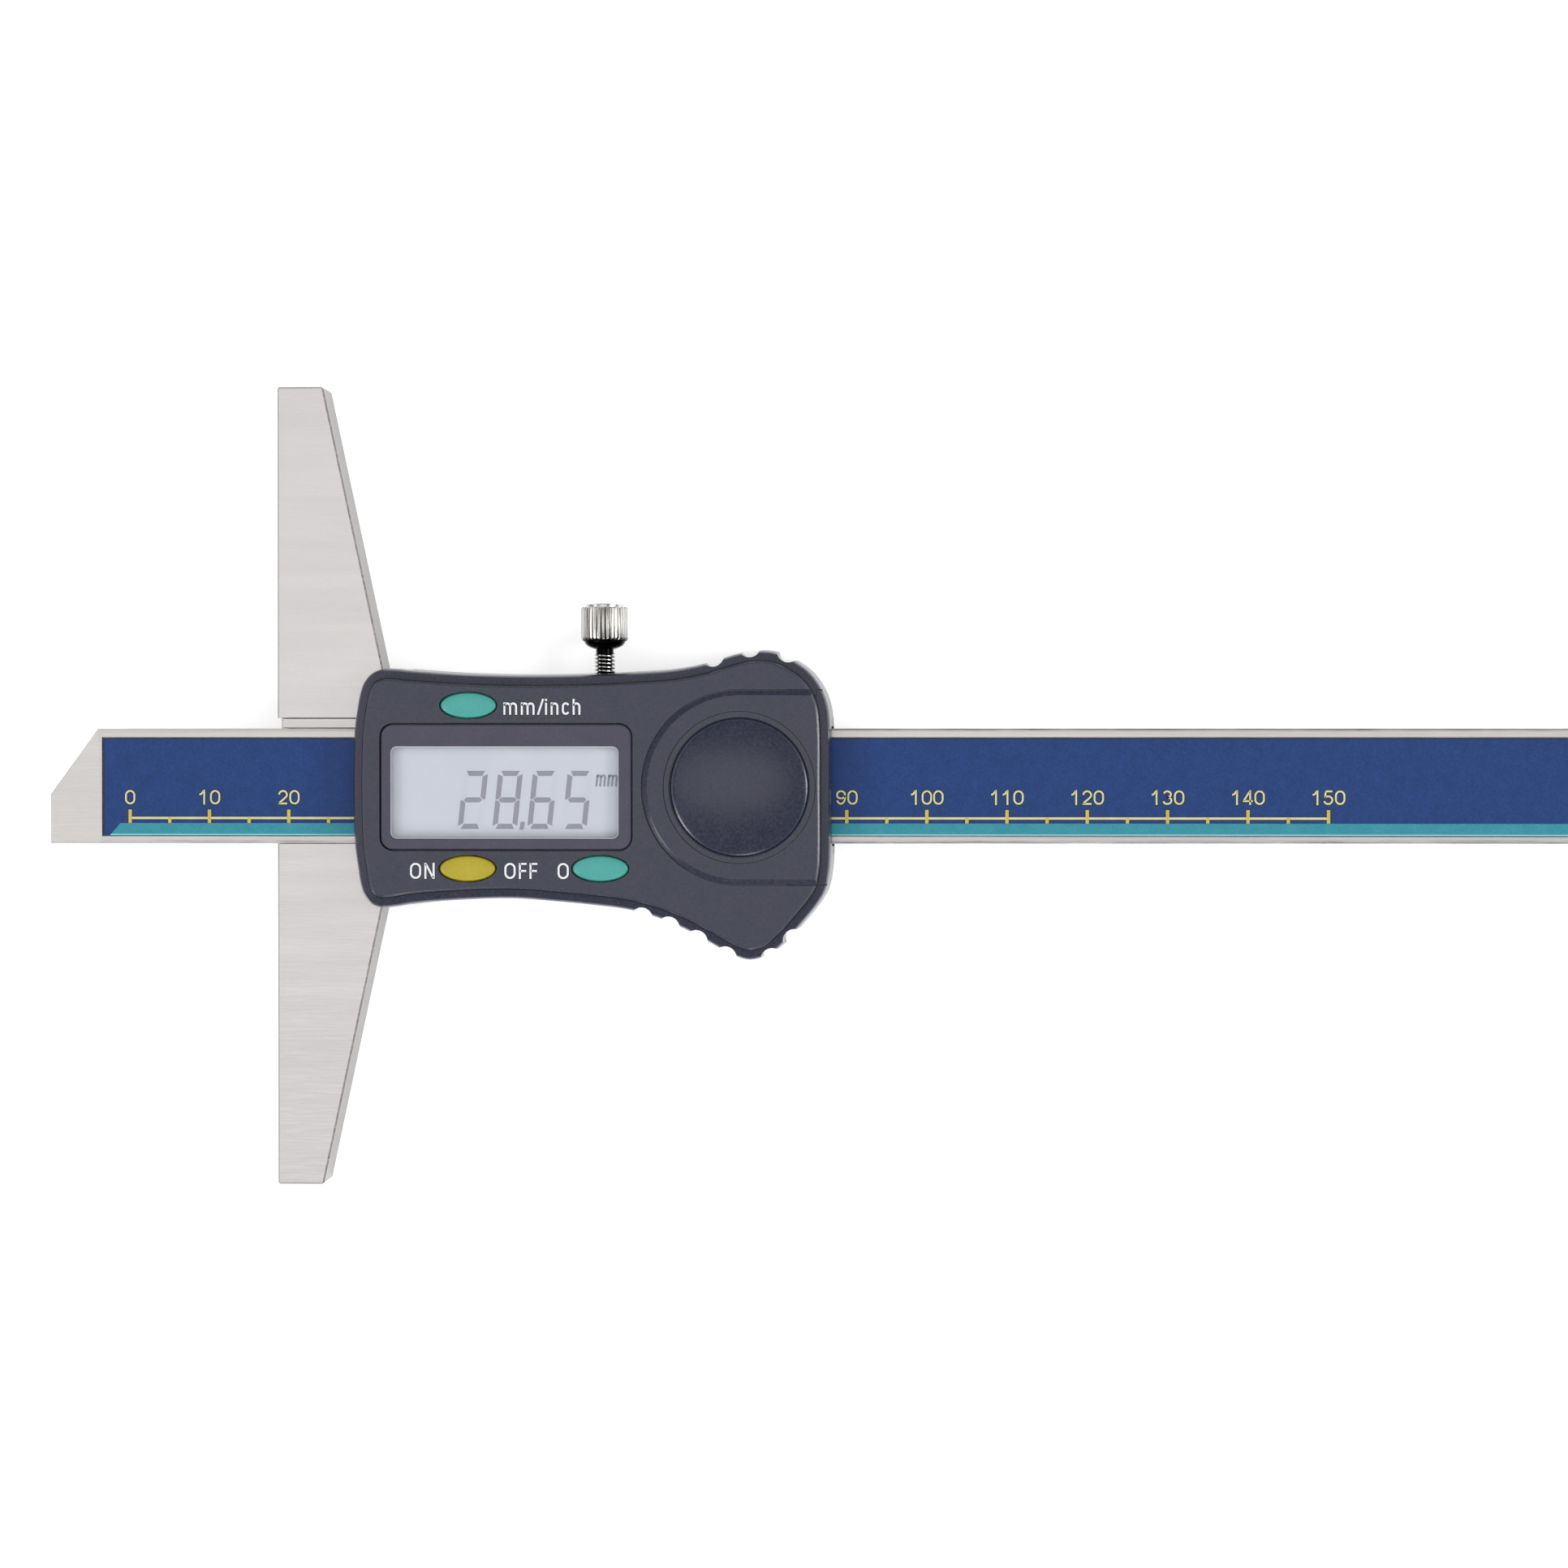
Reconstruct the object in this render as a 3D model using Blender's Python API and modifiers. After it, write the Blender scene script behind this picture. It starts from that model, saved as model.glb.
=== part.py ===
"""Digital depth gauge with a 100 mm bridge and a 0 to 150 mm range.

Metres. +X runs along the beam, away from its tip. +Y points to the lock screw and +Z out of the display.
The origin is the middle of the bridge's measuring face, halfway through its thickness.
"""

import math

import bmesh
import bpy
from mathutils import Matrix, Vector

# Fits shared by several pieces
RUNNING_FIT = 0.00005
GLUE_LINE = 0.00005
SLIP_FIT = 0.0001
SHELL_GAP = 0.0003
OVERRUN = 0.002
ROUND_STEPS = 20
SMALL_STEPS = 14
FINE_STEPS = 44
MITRE_SHARE = 0.8
DIMPLE_SHARE = 0.5
SHARP_ANGLE = 30.0
WELD_DISTANCE = 0.000005

# Bridge
BASE_LENGTH = 0.100
BASE_THICKNESS = 0.008
BASE_END_WIDTH = 0.00575
BASE_MIDDLE_WIDTH = 0.0164
TONGUE_START = 0.0043
TONGUE_THICKNESS = 0.0020

# Beam, with its tip and the recess for the scale
BEAM_LENGTH = 0.228
BEAM_WIDTH = 0.0144
BEAM_THICKNESS = 0.0035
TIP_BEVEL_LENGTH = 0.0060
TIP_FACE_WIDTH = 0.0061
RECESS_START = 0.0065
RAIL_WIDTH_UPPER = 0.00105
RAIL_WIDTH_LOWER = 0.00085
GRATING_THICKNESS = 0.0003
LABEL_THICKNESS = 0.00015
LABEL_SINK = 0.0001
READING_AT_REST = 0.02865

# Gib between the bridge's upper arm and the beam
GIB_WIDTH = 0.00125
GIB_SETBACK = 0.0007

# Slider frame, a channel that runs on the beam
FRAME_FLANK = 0.00345
FRAME_START_GAP = 0.0002
FRAME_END_SETBACK = 0.0038
FRAME_SIDE_GAP = 0.00016
FRAME_WEB_THICKNESS = 0.00335

# Housing outline, seen from the front
HOUSING_START = 0.0097
HOUSING_LENGTH = 0.0600
HOUSING_FLARE = 0.00774
OUTLINE_STEPS = 2

# Heights of the housing's steps above the back edge of its wall, and how far each stands in
HOUSING_EDGE_Z = -0.0002
SHOULDER_HEIGHT = 0.0074
SHOULDER_INSET = 0.00042
BAND_HEIGHT = 0.0083
BAND_INSET = 0.0008
BAND_TOP_HEIGHT = 0.0087
BAND_TOP_INSET = 0.00135
FACE_HEIGHT = 0.0096
FACE_STEP_INSET = 0.0015
FACE_INSET = 0.00165
FACE_EDGE_DROP = 0.00015
HOUSING_WALL = 0.0019
CEILING_THICKNESS = 0.0014
FLOOR_THICKNESS = 0.0008

# Grip notches along the housing's flanks
NOTCH_RADIUS = 0.00125
NOTCH_DEPTH = 0.0008
UPPER_NOTCH_SETBACK = 0.0149
UPPER_NOTCH_PITCH = 0.0046
UPPER_NOTCH_COUNT = 3
LOWER_NOTCH_SETBACK = 0.0237
LOWER_NOTCH_PITCH = 0.00355
LOWER_NOTCH_COUNT = 4
CORNER_NOTCH_SETBACK = 0.0077
CORNER_NOTCH_PITCH = 0.0027
CORNER_NOTCH_COUNT = 2

# Back cover
COVER_PLATE_THICKNESS = 0.0010
BACK_WALL = 0.0013
BACK_EDGE_INSET = 0.00025
BACK_FACE_INSET = 0.0008
BACK_EDGE_HEIGHT = 0.0005
BACK_NOTCH_HALF_WIDTH = 0.0086

# Display
BEZEL_MARGIN = 0.00395
BEZEL_LID_GAP = 0.0012
BEZEL_SIDE_MARGIN = 0.00425
BEZEL_CENTRE_Y = -0.00005
BEZEL_CORNER = 0.0015
BEZEL_SINK = 0.00005
WINDOW_MARGIN_X = 0.00135
WINDOW_MARGIN_Y = 0.0020
WINDOW_SHIFT_X = -0.0002
WINDOW_SHIFT_Y = -0.0007
WINDOW_CORNER = 0.0008
WINDOW_THICKNESS = 0.0007
WINDOW_LEDGE = 0.0005
WINDOW_DEPTH = 0.0009
CORNER_STEPS = 5
LCD_OVERLAP = 0.0006
LCD_MARGIN_Y = 0.00035
LCD_THICKNESS = 0.0015
ZEBRA_WIDTH = 0.0014
ZEBRA_START_GAP = 0.0080
ZEBRA_INSET = 0.0011

# Circuit board
BOARD_START_GAP = 0.00105
BOARD_CUP_GAP = 0.0004
BOARD_SIDE_MARGIN = 0.0003
BOARD_THICKNESS = 0.0008
BOARD_RISE = 0.00015
CHIP_RADIUS = 0.0032
CHIP_HEIGHT = 0.0008
CRYSTAL_LENGTH = 0.0050
CRYSTAL_WIDTH = 0.0018
CRYSTAL_HEIGHT = 0.0009
CRYSTAL_OFFSET = 0.0075
BOARD_SCREW_EDGE = 0.0018
BOARD_SCREW_RADIUS = 0.0008
BOARD_SCREW_HEAD_RADIUS = 0.0014
BOARD_SCREW_HEAD_HEIGHT = 0.0008
BOARD_SCREW_LENGTH = 0.0036

# Buttons
BUTTON_LENGTH_SHARE = 0.2206
BUTTON_WIDTH = 0.00309
BUTTON_PROUD = 0.00025
BUTTON_CROWN = 0.0002
BUTTON_CROWN_SHARE = 0.86
BUTTON_CLEARANCE = 0.00012
BUTTON_LIP = 0.00045
BUTTON_LIP_THICKNESS = 0.0008
BUTTON_STEM_RADIUS = 0.0010
BUTTON_TRAVEL = 0.0004
BUTTON_BEZEL_GAP = 0.00083
UNITS_BUTTON_GAP = 0.00115
POWER_BUTTON_GAP = 0.00105
ZERO_BUTTON_SHARE = 0.877
DOME_RADIUS = 0.0013
DOME_TOP_RADIUS = 0.0008

# Battery and its pocket
BATTERY_RADIUS = 0.0100
BATTERY_HEIGHT = 0.0032
BATTERY_CAP_RADIUS = 0.0089
BATTERY_CAP_STEP = 0.0004
BATTERY_SETBACK = 0.0126
BATTERY_Y = -0.0001
POCKET_CLEARANCE = 0.0004
POCKET_WALL = 0.0009
POCKET_FLOOR = 0.0005
CONTACT_THICKNESS = 0.00015
CONTACT_WIDTH = 0.0026
CONTACT_REACH = 0.0025
CONTACT_FOOT = 0.0014
BACK_CONTACT_ANGLE = 180.0
SIDE_CONTACT_ANGLE = 150.0
SIDE_CONTACT_WIDTH = 0.0022
SIDE_CONTACT_HEIGHT = 0.0022

# Battery cover
LID_MARGIN = 0.0022
LID_SETBACK = 0.01155
LID_CENTRE_Y = -0.0001
LID_THICKNESS = 0.0009
LID_TONGUE_WIDTH = 0.0006
LID_TONGUE_THICKNESS = 0.0004
LID_TONGUE_REACH_LEFT = 0.00815
LID_TONGUE_REACH_RIGHT = 0.00585
LID_HOOK_LENGTH = 0.0020
LID_HOOK_DEPTH = 0.00215
DOME_DISC_RADIUS = 0.00875
DOME_DISC_RISE = 0.0006
DOME_DISC_DROP = 0.0001
RING_GROOVE_WIDTH = 0.0006
RING_GROOVE_DEPTH = 0.0003

# Lock screw: a knurled head on an M2.5 thread, with a brass pad in front of it
LOCK_SETBACK = 0.00075
LOCK_THREAD_RADIUS = 0.00125
LOCK_NECK_RADIUS = 0.0011
LOCK_HEAD_RADIUS = 0.0030
LOCK_CAP_RADIUS = 0.0024
LOCK_CONE_RADIUS = 0.0026
LOCK_RISE = 0.01095
LOCK_CAP_THICKNESS = 0.00052
LOCK_HEAD_LENGTH = 0.00427
LOCK_CONE_LENGTH = 0.0010
LOCK_NECK_LENGTH = 0.0005
LOCK_PAD_LENGTH = 0.00108
LOCK_PAD_GAP = 0.00012
LOCK_WALL_HOLE = 0.0016
FLUTE_COUNT = 24
FLUTE_DEPTH = 0.00022
FLUTE_SHARE = 0.5

# Fasteners
CASE_SCREW_RADIUS = 0.0010
CASE_SCREW_HEAD_RADIUS = 0.0019
CASE_SCREW_HEAD_HEIGHT = 0.0009
CASE_SCREW_ENGAGEMENT = 0.0029
CASE_SCREW_FRONT_GAP = 0.0018
CASE_SCREW_SETBACK = 0.0067
CASE_SCREW_EDGE = 0.0016
BOSS_WALL = 0.00055
BASE_SCREW_X = 0.0105
BASE_SCREW_EDGE = 0.0020
BASE_SCREW_RADIUS = 0.00125
BASE_SCREW_HEAD_RADIUS = 0.0022
BASE_SCREW_HEAD_HEIGHT = 0.0009
BASE_SCREW_LENGTH = 0.0050
DOWEL_X = 0.0068
DOWEL_RADIUS = 0.0010
DOWEL_LENGTH = 0.0043
GIB_SCREW_RADIUS = 0.0010
GIB_SCREW_FIRST_GAP = 0.0094
GIB_SCREW_SECOND_GAP = 0.0084

# Stop plate behind the far end of the beam
STOP_LENGTH = 0.0060
STOP_WIDTH = 0.0090
STOP_THICKNESS = 0.0015
STOP_SETBACK = 0.00575
STOP_SCREW_RADIUS = 0.0008
STOP_SCREW_HEAD_RADIUS = 0.0014
STOP_SCREW_HEAD_HEIGHT = 0.0006
STOP_SCREW_SPACING = 0.0045
STOP_SCREW_DEPTH = 0.0018

# Colours and finishes
STEEL_COLOR = (0.66, 0.65, 0.63)
MILLED_COLOR = (0.55, 0.55, 0.55)
SCREW_COLOR = (0.45, 0.45, 0.46)
GIB_COLOR = (0.72, 0.70, 0.66)
NICKEL_COLOR = (0.30, 0.29, 0.28)
BRASS_COLOR = (0.70, 0.50, 0.18)
CELL_COLOR = (0.75, 0.75, 0.75)
SPRING_COLOR = (0.80, 0.70, 0.40)
HOUSING_COLOR = (0.062, 0.065, 0.093)
BACK_COLOR = (0.050, 0.052, 0.070)
BEZEL_COLOR = (0.11, 0.10, 0.15)
WINDOW_COLOR = (0.90, 0.92, 0.95)
LCD_COLOR = (0.54, 0.57, 0.62)
LABEL_COLOR = (0.03, 0.07, 0.20)
GRATING_COLOR = (0.05, 0.22, 0.10)
BOARD_COLOR = (0.02, 0.18, 0.08)
CHIP_COLOR = (0.01, 0.01, 0.01)
ZEBRA_COLOR = (0.75, 0.35, 0.45)
TEAL_COLOR = (0.10, 0.51, 0.40)
YELLOW_COLOR = (0.54, 0.47, 0.05)
SILICONE_COLOR = (0.60, 0.60, 0.60)
METAL = 1.0
POLISHED = 0.05
SMOOTH_STEEL = 0.28
ROUGH_STEEL = 0.38
SATIN = 0.42
MATTE = 0.55
WINDOW_ALPHA = 0.2

# Places that follow from the sizes
FRONT_Z = BASE_THICKNESS / 2
BACK_Z = -BASE_THICKNESS / 2
BEAM_BACK_Z = FRONT_Z - BEAM_THICKNESS
SLOT_FLOOR_Z = BEAM_BACK_Z - RUNNING_FIT
BEAM_MID_Z = (FRONT_Z + BEAM_BACK_Z) / 2
BEAM_TOP = BEAM_WIDTH / 2
TIP_X = -READING_AT_REST
BEAM_END_X = TIP_X + BEAM_LENGTH
SLOT_LOWER_Y = -BEAM_TOP - RUNNING_FIT
GIB_LOWER_Y = BEAM_TOP + RUNNING_FIT
GIB_UPPER_Y = GIB_LOWER_Y + GIB_WIDTH
SLOT_UPPER_Y = GIB_UPPER_Y + RUNNING_FIT
RECESS_DEPTH = GLUE_LINE + GRATING_THICKNESS + GLUE_LINE + LABEL_THICKNESS + LABEL_SINK
FRAME_HALF_WIDTH = SLOT_UPPER_Y + FRAME_FLANK
FRAME_START = BASE_MIDDLE_WIDTH + FRAME_START_GAP
WEB_BACK_Z = SLOT_FLOOR_Z - FRAME_WEB_THICKNESS
TONGUE_FRONT_Z = WEB_BACK_Z + TONGUE_THICKNESS
HOUSING_END = HOUSING_START + HOUSING_LENGTH
HOUSING_WAIST = FRAME_HALF_WIDTH + FRAME_SIDE_GAP + HOUSING_WALL
HOUSING_REACH = HOUSING_WAIST + HOUSING_FLARE
FRAME_END = HOUSING_END - FRAME_END_SETBACK
FACE_Z = HOUSING_EDGE_Z + FACE_HEIGHT
CEILING_Z = FACE_Z - CEILING_THICKNESS
UNDERSIDE_Z = FRONT_Z + SHELL_GAP
FLOOR_TOP_Z = UNDERSIDE_Z + FLOOR_THICKNESS
BACK_WALL_TOP_Z = HOUSING_EDGE_Z - SHELL_GAP
BACK_PLATE_FRONT_Z = BACK_Z + COVER_PLATE_THICKNESS
BOARD_BACK_Z = FRONT_Z + BOARD_RISE
BOARD_FRONT_Z = BOARD_BACK_Z + BOARD_THICKNESS
BEZEL_BACK_Z = CEILING_Z - SLIP_FIT
LCD_FRONT_Z = BEZEL_BACK_Z - RUNNING_FIT
LCD_BACK_Z = LCD_FRONT_Z - LCD_THICKNESS
BATTERY_X = HOUSING_END - BATTERY_SETBACK
POCKET_RADIUS = BATTERY_RADIUS + POCKET_CLEARANCE
CUP_RADIUS = POCKET_RADIUS + POCKET_WALL
BATTERY_BACK_Z = BOARD_FRONT_Z + GLUE_LINE + CONTACT_THICKNESS + RUNNING_FIT
POCKET_FLOOR_Z = UNDERSIDE_Z + POCKET_FLOOR
LID_RADIUS = BATTERY_RADIUS + LID_MARGIN
LID_CENTRE_X = HOUSING_END - LID_SETBACK
LID_TONGUE_START = LID_CENTRE_X - LID_TONGUE_REACH_LEFT
LID_TONGUE_END = LID_CENTRE_X + LID_TONGUE_REACH_RIGHT
LID_HOOK_START = HOUSING_END - LID_HOOK_LENGTH
LID_BACK_Z = FACE_Z - LID_THICKNESS
LID_HOOK_Z = FACE_Z - LID_HOOK_DEPTH
BEZEL_START = HOUSING_START + BEZEL_MARGIN
BEZEL_END = LID_CENTRE_X - LID_RADIUS - BEZEL_LID_GAP
BEZEL_LENGTH = BEZEL_END - BEZEL_START
BEZEL_WIDTH = 2 * (FRAME_HALF_WIDTH - BEZEL_SIDE_MARGIN)
BEZEL_CENTRE_X = (BEZEL_START + BEZEL_END) / 2
WINDOW_LENGTH = BEZEL_LENGTH - 2 * WINDOW_MARGIN_X
WINDOW_HEIGHT = BEZEL_WIDTH - 2 * WINDOW_MARGIN_Y
WINDOW_CENTRE_X = BEZEL_CENTRE_X + WINDOW_SHIFT_X
WINDOW_CENTRE_Y = BEZEL_CENTRE_Y + WINDOW_SHIFT_Y
LCD_LENGTH = WINDOW_LENGTH + 2 * LCD_OVERLAP
LCD_HEIGHT = BEZEL_WIDTH - 2 * LCD_MARGIN_Y
ZEBRA_LENGTH = LCD_LENGTH - ZEBRA_START_GAP - ZEBRA_INSET
BUTTON_LENGTH = BUTTON_LENGTH_SHARE * BEZEL_LENGTH
BUTTON_Y = BEZEL_WIDTH / 2 + BUTTON_BEZEL_GAP + BUTTON_WIDTH / 2
CASE_SCREW_LEFT_X = FRAME_START + CASE_SCREW_FRONT_GAP
CASE_SCREW_RIGHT_X = HOUSING_END - CASE_SCREW_SETBACK
BOSS_RADIUS = CASE_SCREW_RADIUS + BOSS_WALL
BOSS_EDGE_X = CASE_SCREW_LEFT_X + BOSS_RADIUS
BOARD_START = BOSS_EDGE_X + BOARD_START_GAP
BOARD_END = BATTERY_X - CUP_RADIUS - BOARD_CUP_GAP
BOARD_HALF_WIDTH = FRAME_HALF_WIDTH - BOARD_SIDE_MARGIN
BOARD_SCREW_X = (BOARD_START + BOARD_END) / 2
BOARD_SCREW_Y = FRAME_HALF_WIDTH - BOARD_SCREW_EDGE
UNITS_BUTTON_X = BOSS_EDGE_X + UNITS_BUTTON_GAP + BUTTON_LENGTH / 2
POWER_BUTTON_X = BOSS_EDGE_X + POWER_BUTTON_GAP + BUTTON_LENGTH / 2
ZERO_BUTTON_X = BEZEL_START + ZERO_BUTTON_SHARE * BEZEL_LENGTH
CASE_SCREW_Y = FRAME_HALF_WIDTH - CASE_SCREW_EDGE
BASE_SCREW_Y = FRAME_HALF_WIDTH - BASE_SCREW_EDGE
GIB_SCREW_FIRST_X = FRAME_START + GIB_SCREW_FIRST_GAP
GIB_SCREW_SECOND_X = FRAME_END - GIB_SCREW_SECOND_GAP
LOCK_X = (GIB_SCREW_FIRST_X + GIB_SCREW_SECOND_X) / 2 - LOCK_SETBACK
LOCK_TOP_Y = FRAME_HALF_WIDTH + LOCK_RISE
BUTTON_TOP_Z = FACE_Z + BUTTON_PROUD
BUTTON_LIP_FRONT_Z = CEILING_Z - SLIP_FIT
BUTTON_LIP_BACK_Z = BUTTON_LIP_FRONT_Z - BUTTON_LIP_THICKNESS
DOME_TOP_Z = BUTTON_LIP_BACK_Z - BUTTON_TRAVEL - SLIP_FIT
LOCK_PAD_Y = GIB_UPPER_Y + LOCK_PAD_GAP
LOCK_TIP_Y = LOCK_PAD_Y + LOCK_PAD_LENGTH + RUNNING_FIT
STOP_START = BEAM_END_X - STOP_SETBACK - STOP_LENGTH
STOP_FRONT_Z = BEAM_BACK_Z - GLUE_LINE

# The housing's outline at the back edge of its wall. It starts at the middle of the left end and goes over
# the top. The first of each pair is a share of the length. The second is, up to 1, a share of the waist's
# half width, and what it has over 1 is a share of the flare.
OUTLINE_SHARES = (
    (0.000, 0.000), (0.003, 0.504), (0.009, 0.698), (0.015, 0.831), (0.024, 0.933), (0.040, 1.020),
    (0.063, 1.099), (0.092, 1.104), (0.127, 1.079), (0.263, 1.014), (0.433, 1.000), (0.603, 1.051),
    (0.672, 1.093), (0.733, 1.183), (0.805, 1.349), (0.853, 1.394), (0.887, 1.358), (0.922, 1.234),
    (0.950, 1.085), (0.969, 0.957), (0.985, 0.840), (0.995, 0.705), (0.999, 0.533), (1.000, 0.000),
    (1.000, -0.634), (0.998, -0.747), (0.990, -0.921), (0.975, -1.065), (0.944, -1.366), (0.914, -1.623),
    (0.884, -1.842), (0.854, -1.966), (0.822, -2.000), (0.775, -1.856), (0.712, -1.583), (0.648, -1.358),
    (0.579, -1.203), (0.502, -1.124), (0.433, -1.073), (0.332, -1.020), (0.195, -1.059), (0.127, -1.107),
    (0.090, -1.152), (0.062, -1.163), (0.040, -1.104), (0.025, -0.988), (0.016, -0.884), (0.010, -0.732),
    (0.003, -0.504),
)

PARTS = None
TOOLS = None


def clear_scene():
    """Removes every object of the scene."""
    for thing in list(bpy.data.objects):
        bpy.data.objects.remove(thing, do_unlink=True)


def new_collection(name):
    group = bpy.data.collections.new(name)
    bpy.context.scene.collection.children.link(group)
    return group


def finish(name, color, roughness, metallic=0.0, alpha=1.0):
    """A Principled material of one colour."""
    made = bpy.data.materials.new(name)
    made.use_nodes = True
    shader = made.node_tree.nodes["Principled BSDF"]
    shader.inputs["Base Color"].default_value = (*color, 1.0)
    shader.inputs["Roughness"].default_value = roughness
    shader.inputs["Metallic"].default_value = metallic
    shader.inputs["Alpha"].default_value = alpha
    return made


def place(name, shape, material=None, origin=(0, 0, 0)):
    """Turns a bmesh into an object. With a material it is a part, and without one a tool for cutting."""
    bmesh.ops.recalc_face_normals(shape, faces=shape.faces)
    bmesh.ops.translate(shape, verts=shape.verts, vec=-Vector(origin))
    mesh = bpy.data.meshes.new(name)
    shape.to_mesh(mesh)
    shape.free()
    thing = bpy.data.objects.new(name, mesh)
    thing.location = origin
    if material is None:
        TOOLS.objects.link(thing)
        thing.hide_render = True
        thing.display_type = "WIRE"
        return thing
    mesh.materials.append(material)
    PARTS.objects.link(thing)
    return thing


def box(name, low, high, material=None, origin=(0, 0, 0)):
    shape = bmesh.new()
    low = Vector(low)
    high = Vector(high)
    size = high - low
    bmesh.ops.create_cube(shape, size=1)
    bmesh.ops.scale(shape, verts=shape.verts, vec=size)
    bmesh.ops.translate(shape, verts=shape.verts, vec=(low + high) / 2)
    return place(name, shape, material, origin)


def rod(name, start, end, radius, material=None, origin=(0, 0, 0), far_radius=None, steps=ROUND_STEPS):
    """A cylinder or a cone from start to end."""
    start = Vector(start)
    along = Vector(end) - start
    turn = Vector((0, 0, 1)).rotation_difference(along).to_matrix().to_4x4()
    shape = bmesh.new()
    bmesh.ops.create_cone(
        shape,
        cap_ends=True,
        segments=steps,
        radius1=radius,
        radius2=radius if far_radius is None else far_radius,
        depth=along.length,
        matrix=Matrix.Translation(start + along / 2) @ turn,
    )
    return place(name, shape, material, origin)


def prism(name, outline, low, high, material=None, along="Z", origin=(0, 0, 0)):
    """A flat outline with a thickness from low to high, along Z, or along X from an outline in Y and Z."""
    curve = bpy.data.curves.new(name, "CURVE")
    curve.dimensions = "2D"
    curve.fill_mode = "BOTH"
    curve.extrude = (high - low) / 2
    spline = curve.splines.new("POLY")
    spline.points.add(len(outline) - 1)
    for point, (across, up) in zip(spline.points, outline):
        point.co = (across, up, 0, 1)
    spline.use_cyclic_u = True
    drawn = bpy.data.objects.new(name, curve)
    bpy.context.scene.collection.objects.link(drawn)
    bpy.context.view_layer.update()
    mesh = bpy.data.meshes.new_from_object(drawn.evaluated_get(bpy.context.evaluated_depsgraph_get()))
    shape = bmesh.new()
    shape.from_mesh(mesh)
    bmesh.ops.remove_doubles(shape, verts=shape.verts, dist=WELD_DISTANCE)
    bmesh.ops.translate(shape, verts=shape.verts, vec=(0, 0, (low + high) / 2))
    if along != "Z":
        turned_axes = {
            "X": Matrix(((0, 0, 1), (1, 0, 0), (0, 1, 0))),
            "Y": Matrix(((0, 1, 0), (0, 0, 1), (1, 0, 0))),
        }
        bmesh.ops.transform(shape, verts=shape.verts, matrix=turned_axes[along].to_4x4())
    bpy.data.objects.remove(drawn, do_unlink=True)
    bpy.data.meshes.remove(mesh)
    return place(name, shape, material, origin)


def loft(name, rings, material=None, origin=(0, 0, 0)):
    """A solid through a stack of outlines that have the same number of points."""
    shape = bmesh.new()
    rows = [[shape.verts.new(point) for point in ring] for ring in rings]
    count = len(rows[0])
    for lower, upper in zip(rows, rows[1:]):
        for index in range(count):
            after = (index + 1) % count
            shape.faces.new((lower[index], lower[after], upper[after], upper[index]))
    shape.faces.new(rows[0])
    shape.faces.new(rows[-1])
    return place(name, shape, material, origin)


def turned(name, profile, centre, direction, material=None, steps=ROUND_STEPS):
    """A turned solid. The profile holds (radius, distance along the direction) pairs, top to bottom."""
    mesh = bpy.data.meshes.new(name)
    shape = bmesh.new()
    row = [shape.verts.new((radius, 0, height)) for radius, height in profile]
    for first, second in zip(row, row[1:]):
        shape.edges.new((first, second))
    shape.to_mesh(mesh)
    shape.free()
    thing = bpy.data.objects.new(name, mesh)
    thing.location = centre
    thing.rotation_mode = "QUATERNION"
    thing.rotation_quaternion = Vector((0, 0, 1)).rotation_difference(Vector(direction))
    spin = thing.modifiers.new("turn", "SCREW")
    spin.steps = steps
    spin.render_steps = steps
    spin.use_merge_vertices = True
    spin.merge_threshold = WELD_DISTANCE
    if material is None:
        TOOLS.objects.link(thing)
        thing.hide_render = True
        thing.display_type = "WIRE"
        return thing
    mesh.materials.append(material)
    PARTS.objects.link(thing)
    return thing


def combine(target, tools, operation="DIFFERENCE"):
    """Gives the target one exact Boolean for each tool."""
    for tool in tools:
        step = target.modifiers.new(tool.name, "BOOLEAN")
        step.operation = operation
        step.solver = "EXACT"
        step.object = tool


def smooth_closed(points, steps):
    """A closed centripetal curve through the points, with this many steps between each two."""
    curve = []
    count = len(points)
    for index in range(count):
        before, start, end, after = (Vector(points[(index + shift) % count]) for shift in (-1, 0, 1, 2))
        knots = [0.0]
        for first, second in ((before, start), (start, end), (end, after)):
            knots.append(knots[-1] + math.sqrt((second - first).length))
        for step in range(steps):
            at = knots[1] + (knots[2] - knots[1]) * step / steps
            low = blend(before, start, knots[0], knots[1], at)
            middle = blend(start, end, knots[1], knots[2], at)
            high = blend(end, after, knots[2], knots[3], at)
            left = blend(low, middle, knots[0], knots[2], at)
            right = blend(middle, high, knots[1], knots[3], at)
            curve.append(blend(left, right, knots[1], knots[2], at))
    return curve


def blend(first, second, start, end, at):
    return first * ((end - at) / (end - start)) + second * ((at - start) / (end - start))


def inward(points, index):
    """The direction into a clockwise outline at one of its points."""
    count = len(points)
    along = (points[(index + 1) % count] - points[index - 1]).normalized()
    return Vector((along.y, -along.x))


def inset(points, distance):
    """The outline moved inwards by a distance."""
    moved = []
    count = len(points)
    for index, point in enumerate(points):
        along = (points[(index + 1) % count] - point).normalized()
        side = Vector((along.y, -along.x))
        direction = inward(points, index)
        moved.append(point + direction * (distance / max(direction.dot(side), MITRE_SHARE)))
    return moved


def ring(points, height):
    return [(point.x, point.y, height) for point in points]


def right_of(points, edge):
    """The part of an outline at X greater than the edge."""
    kept = []
    for index, point in enumerate(points):
        before = points[index - 1]
        if (before.x > edge) != (point.x > edge):
            kept.append(before.lerp(point, (edge - before.x) / (point.x - before.x)))
        if point.x > edge:
            kept.append(point)
    return kept


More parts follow.
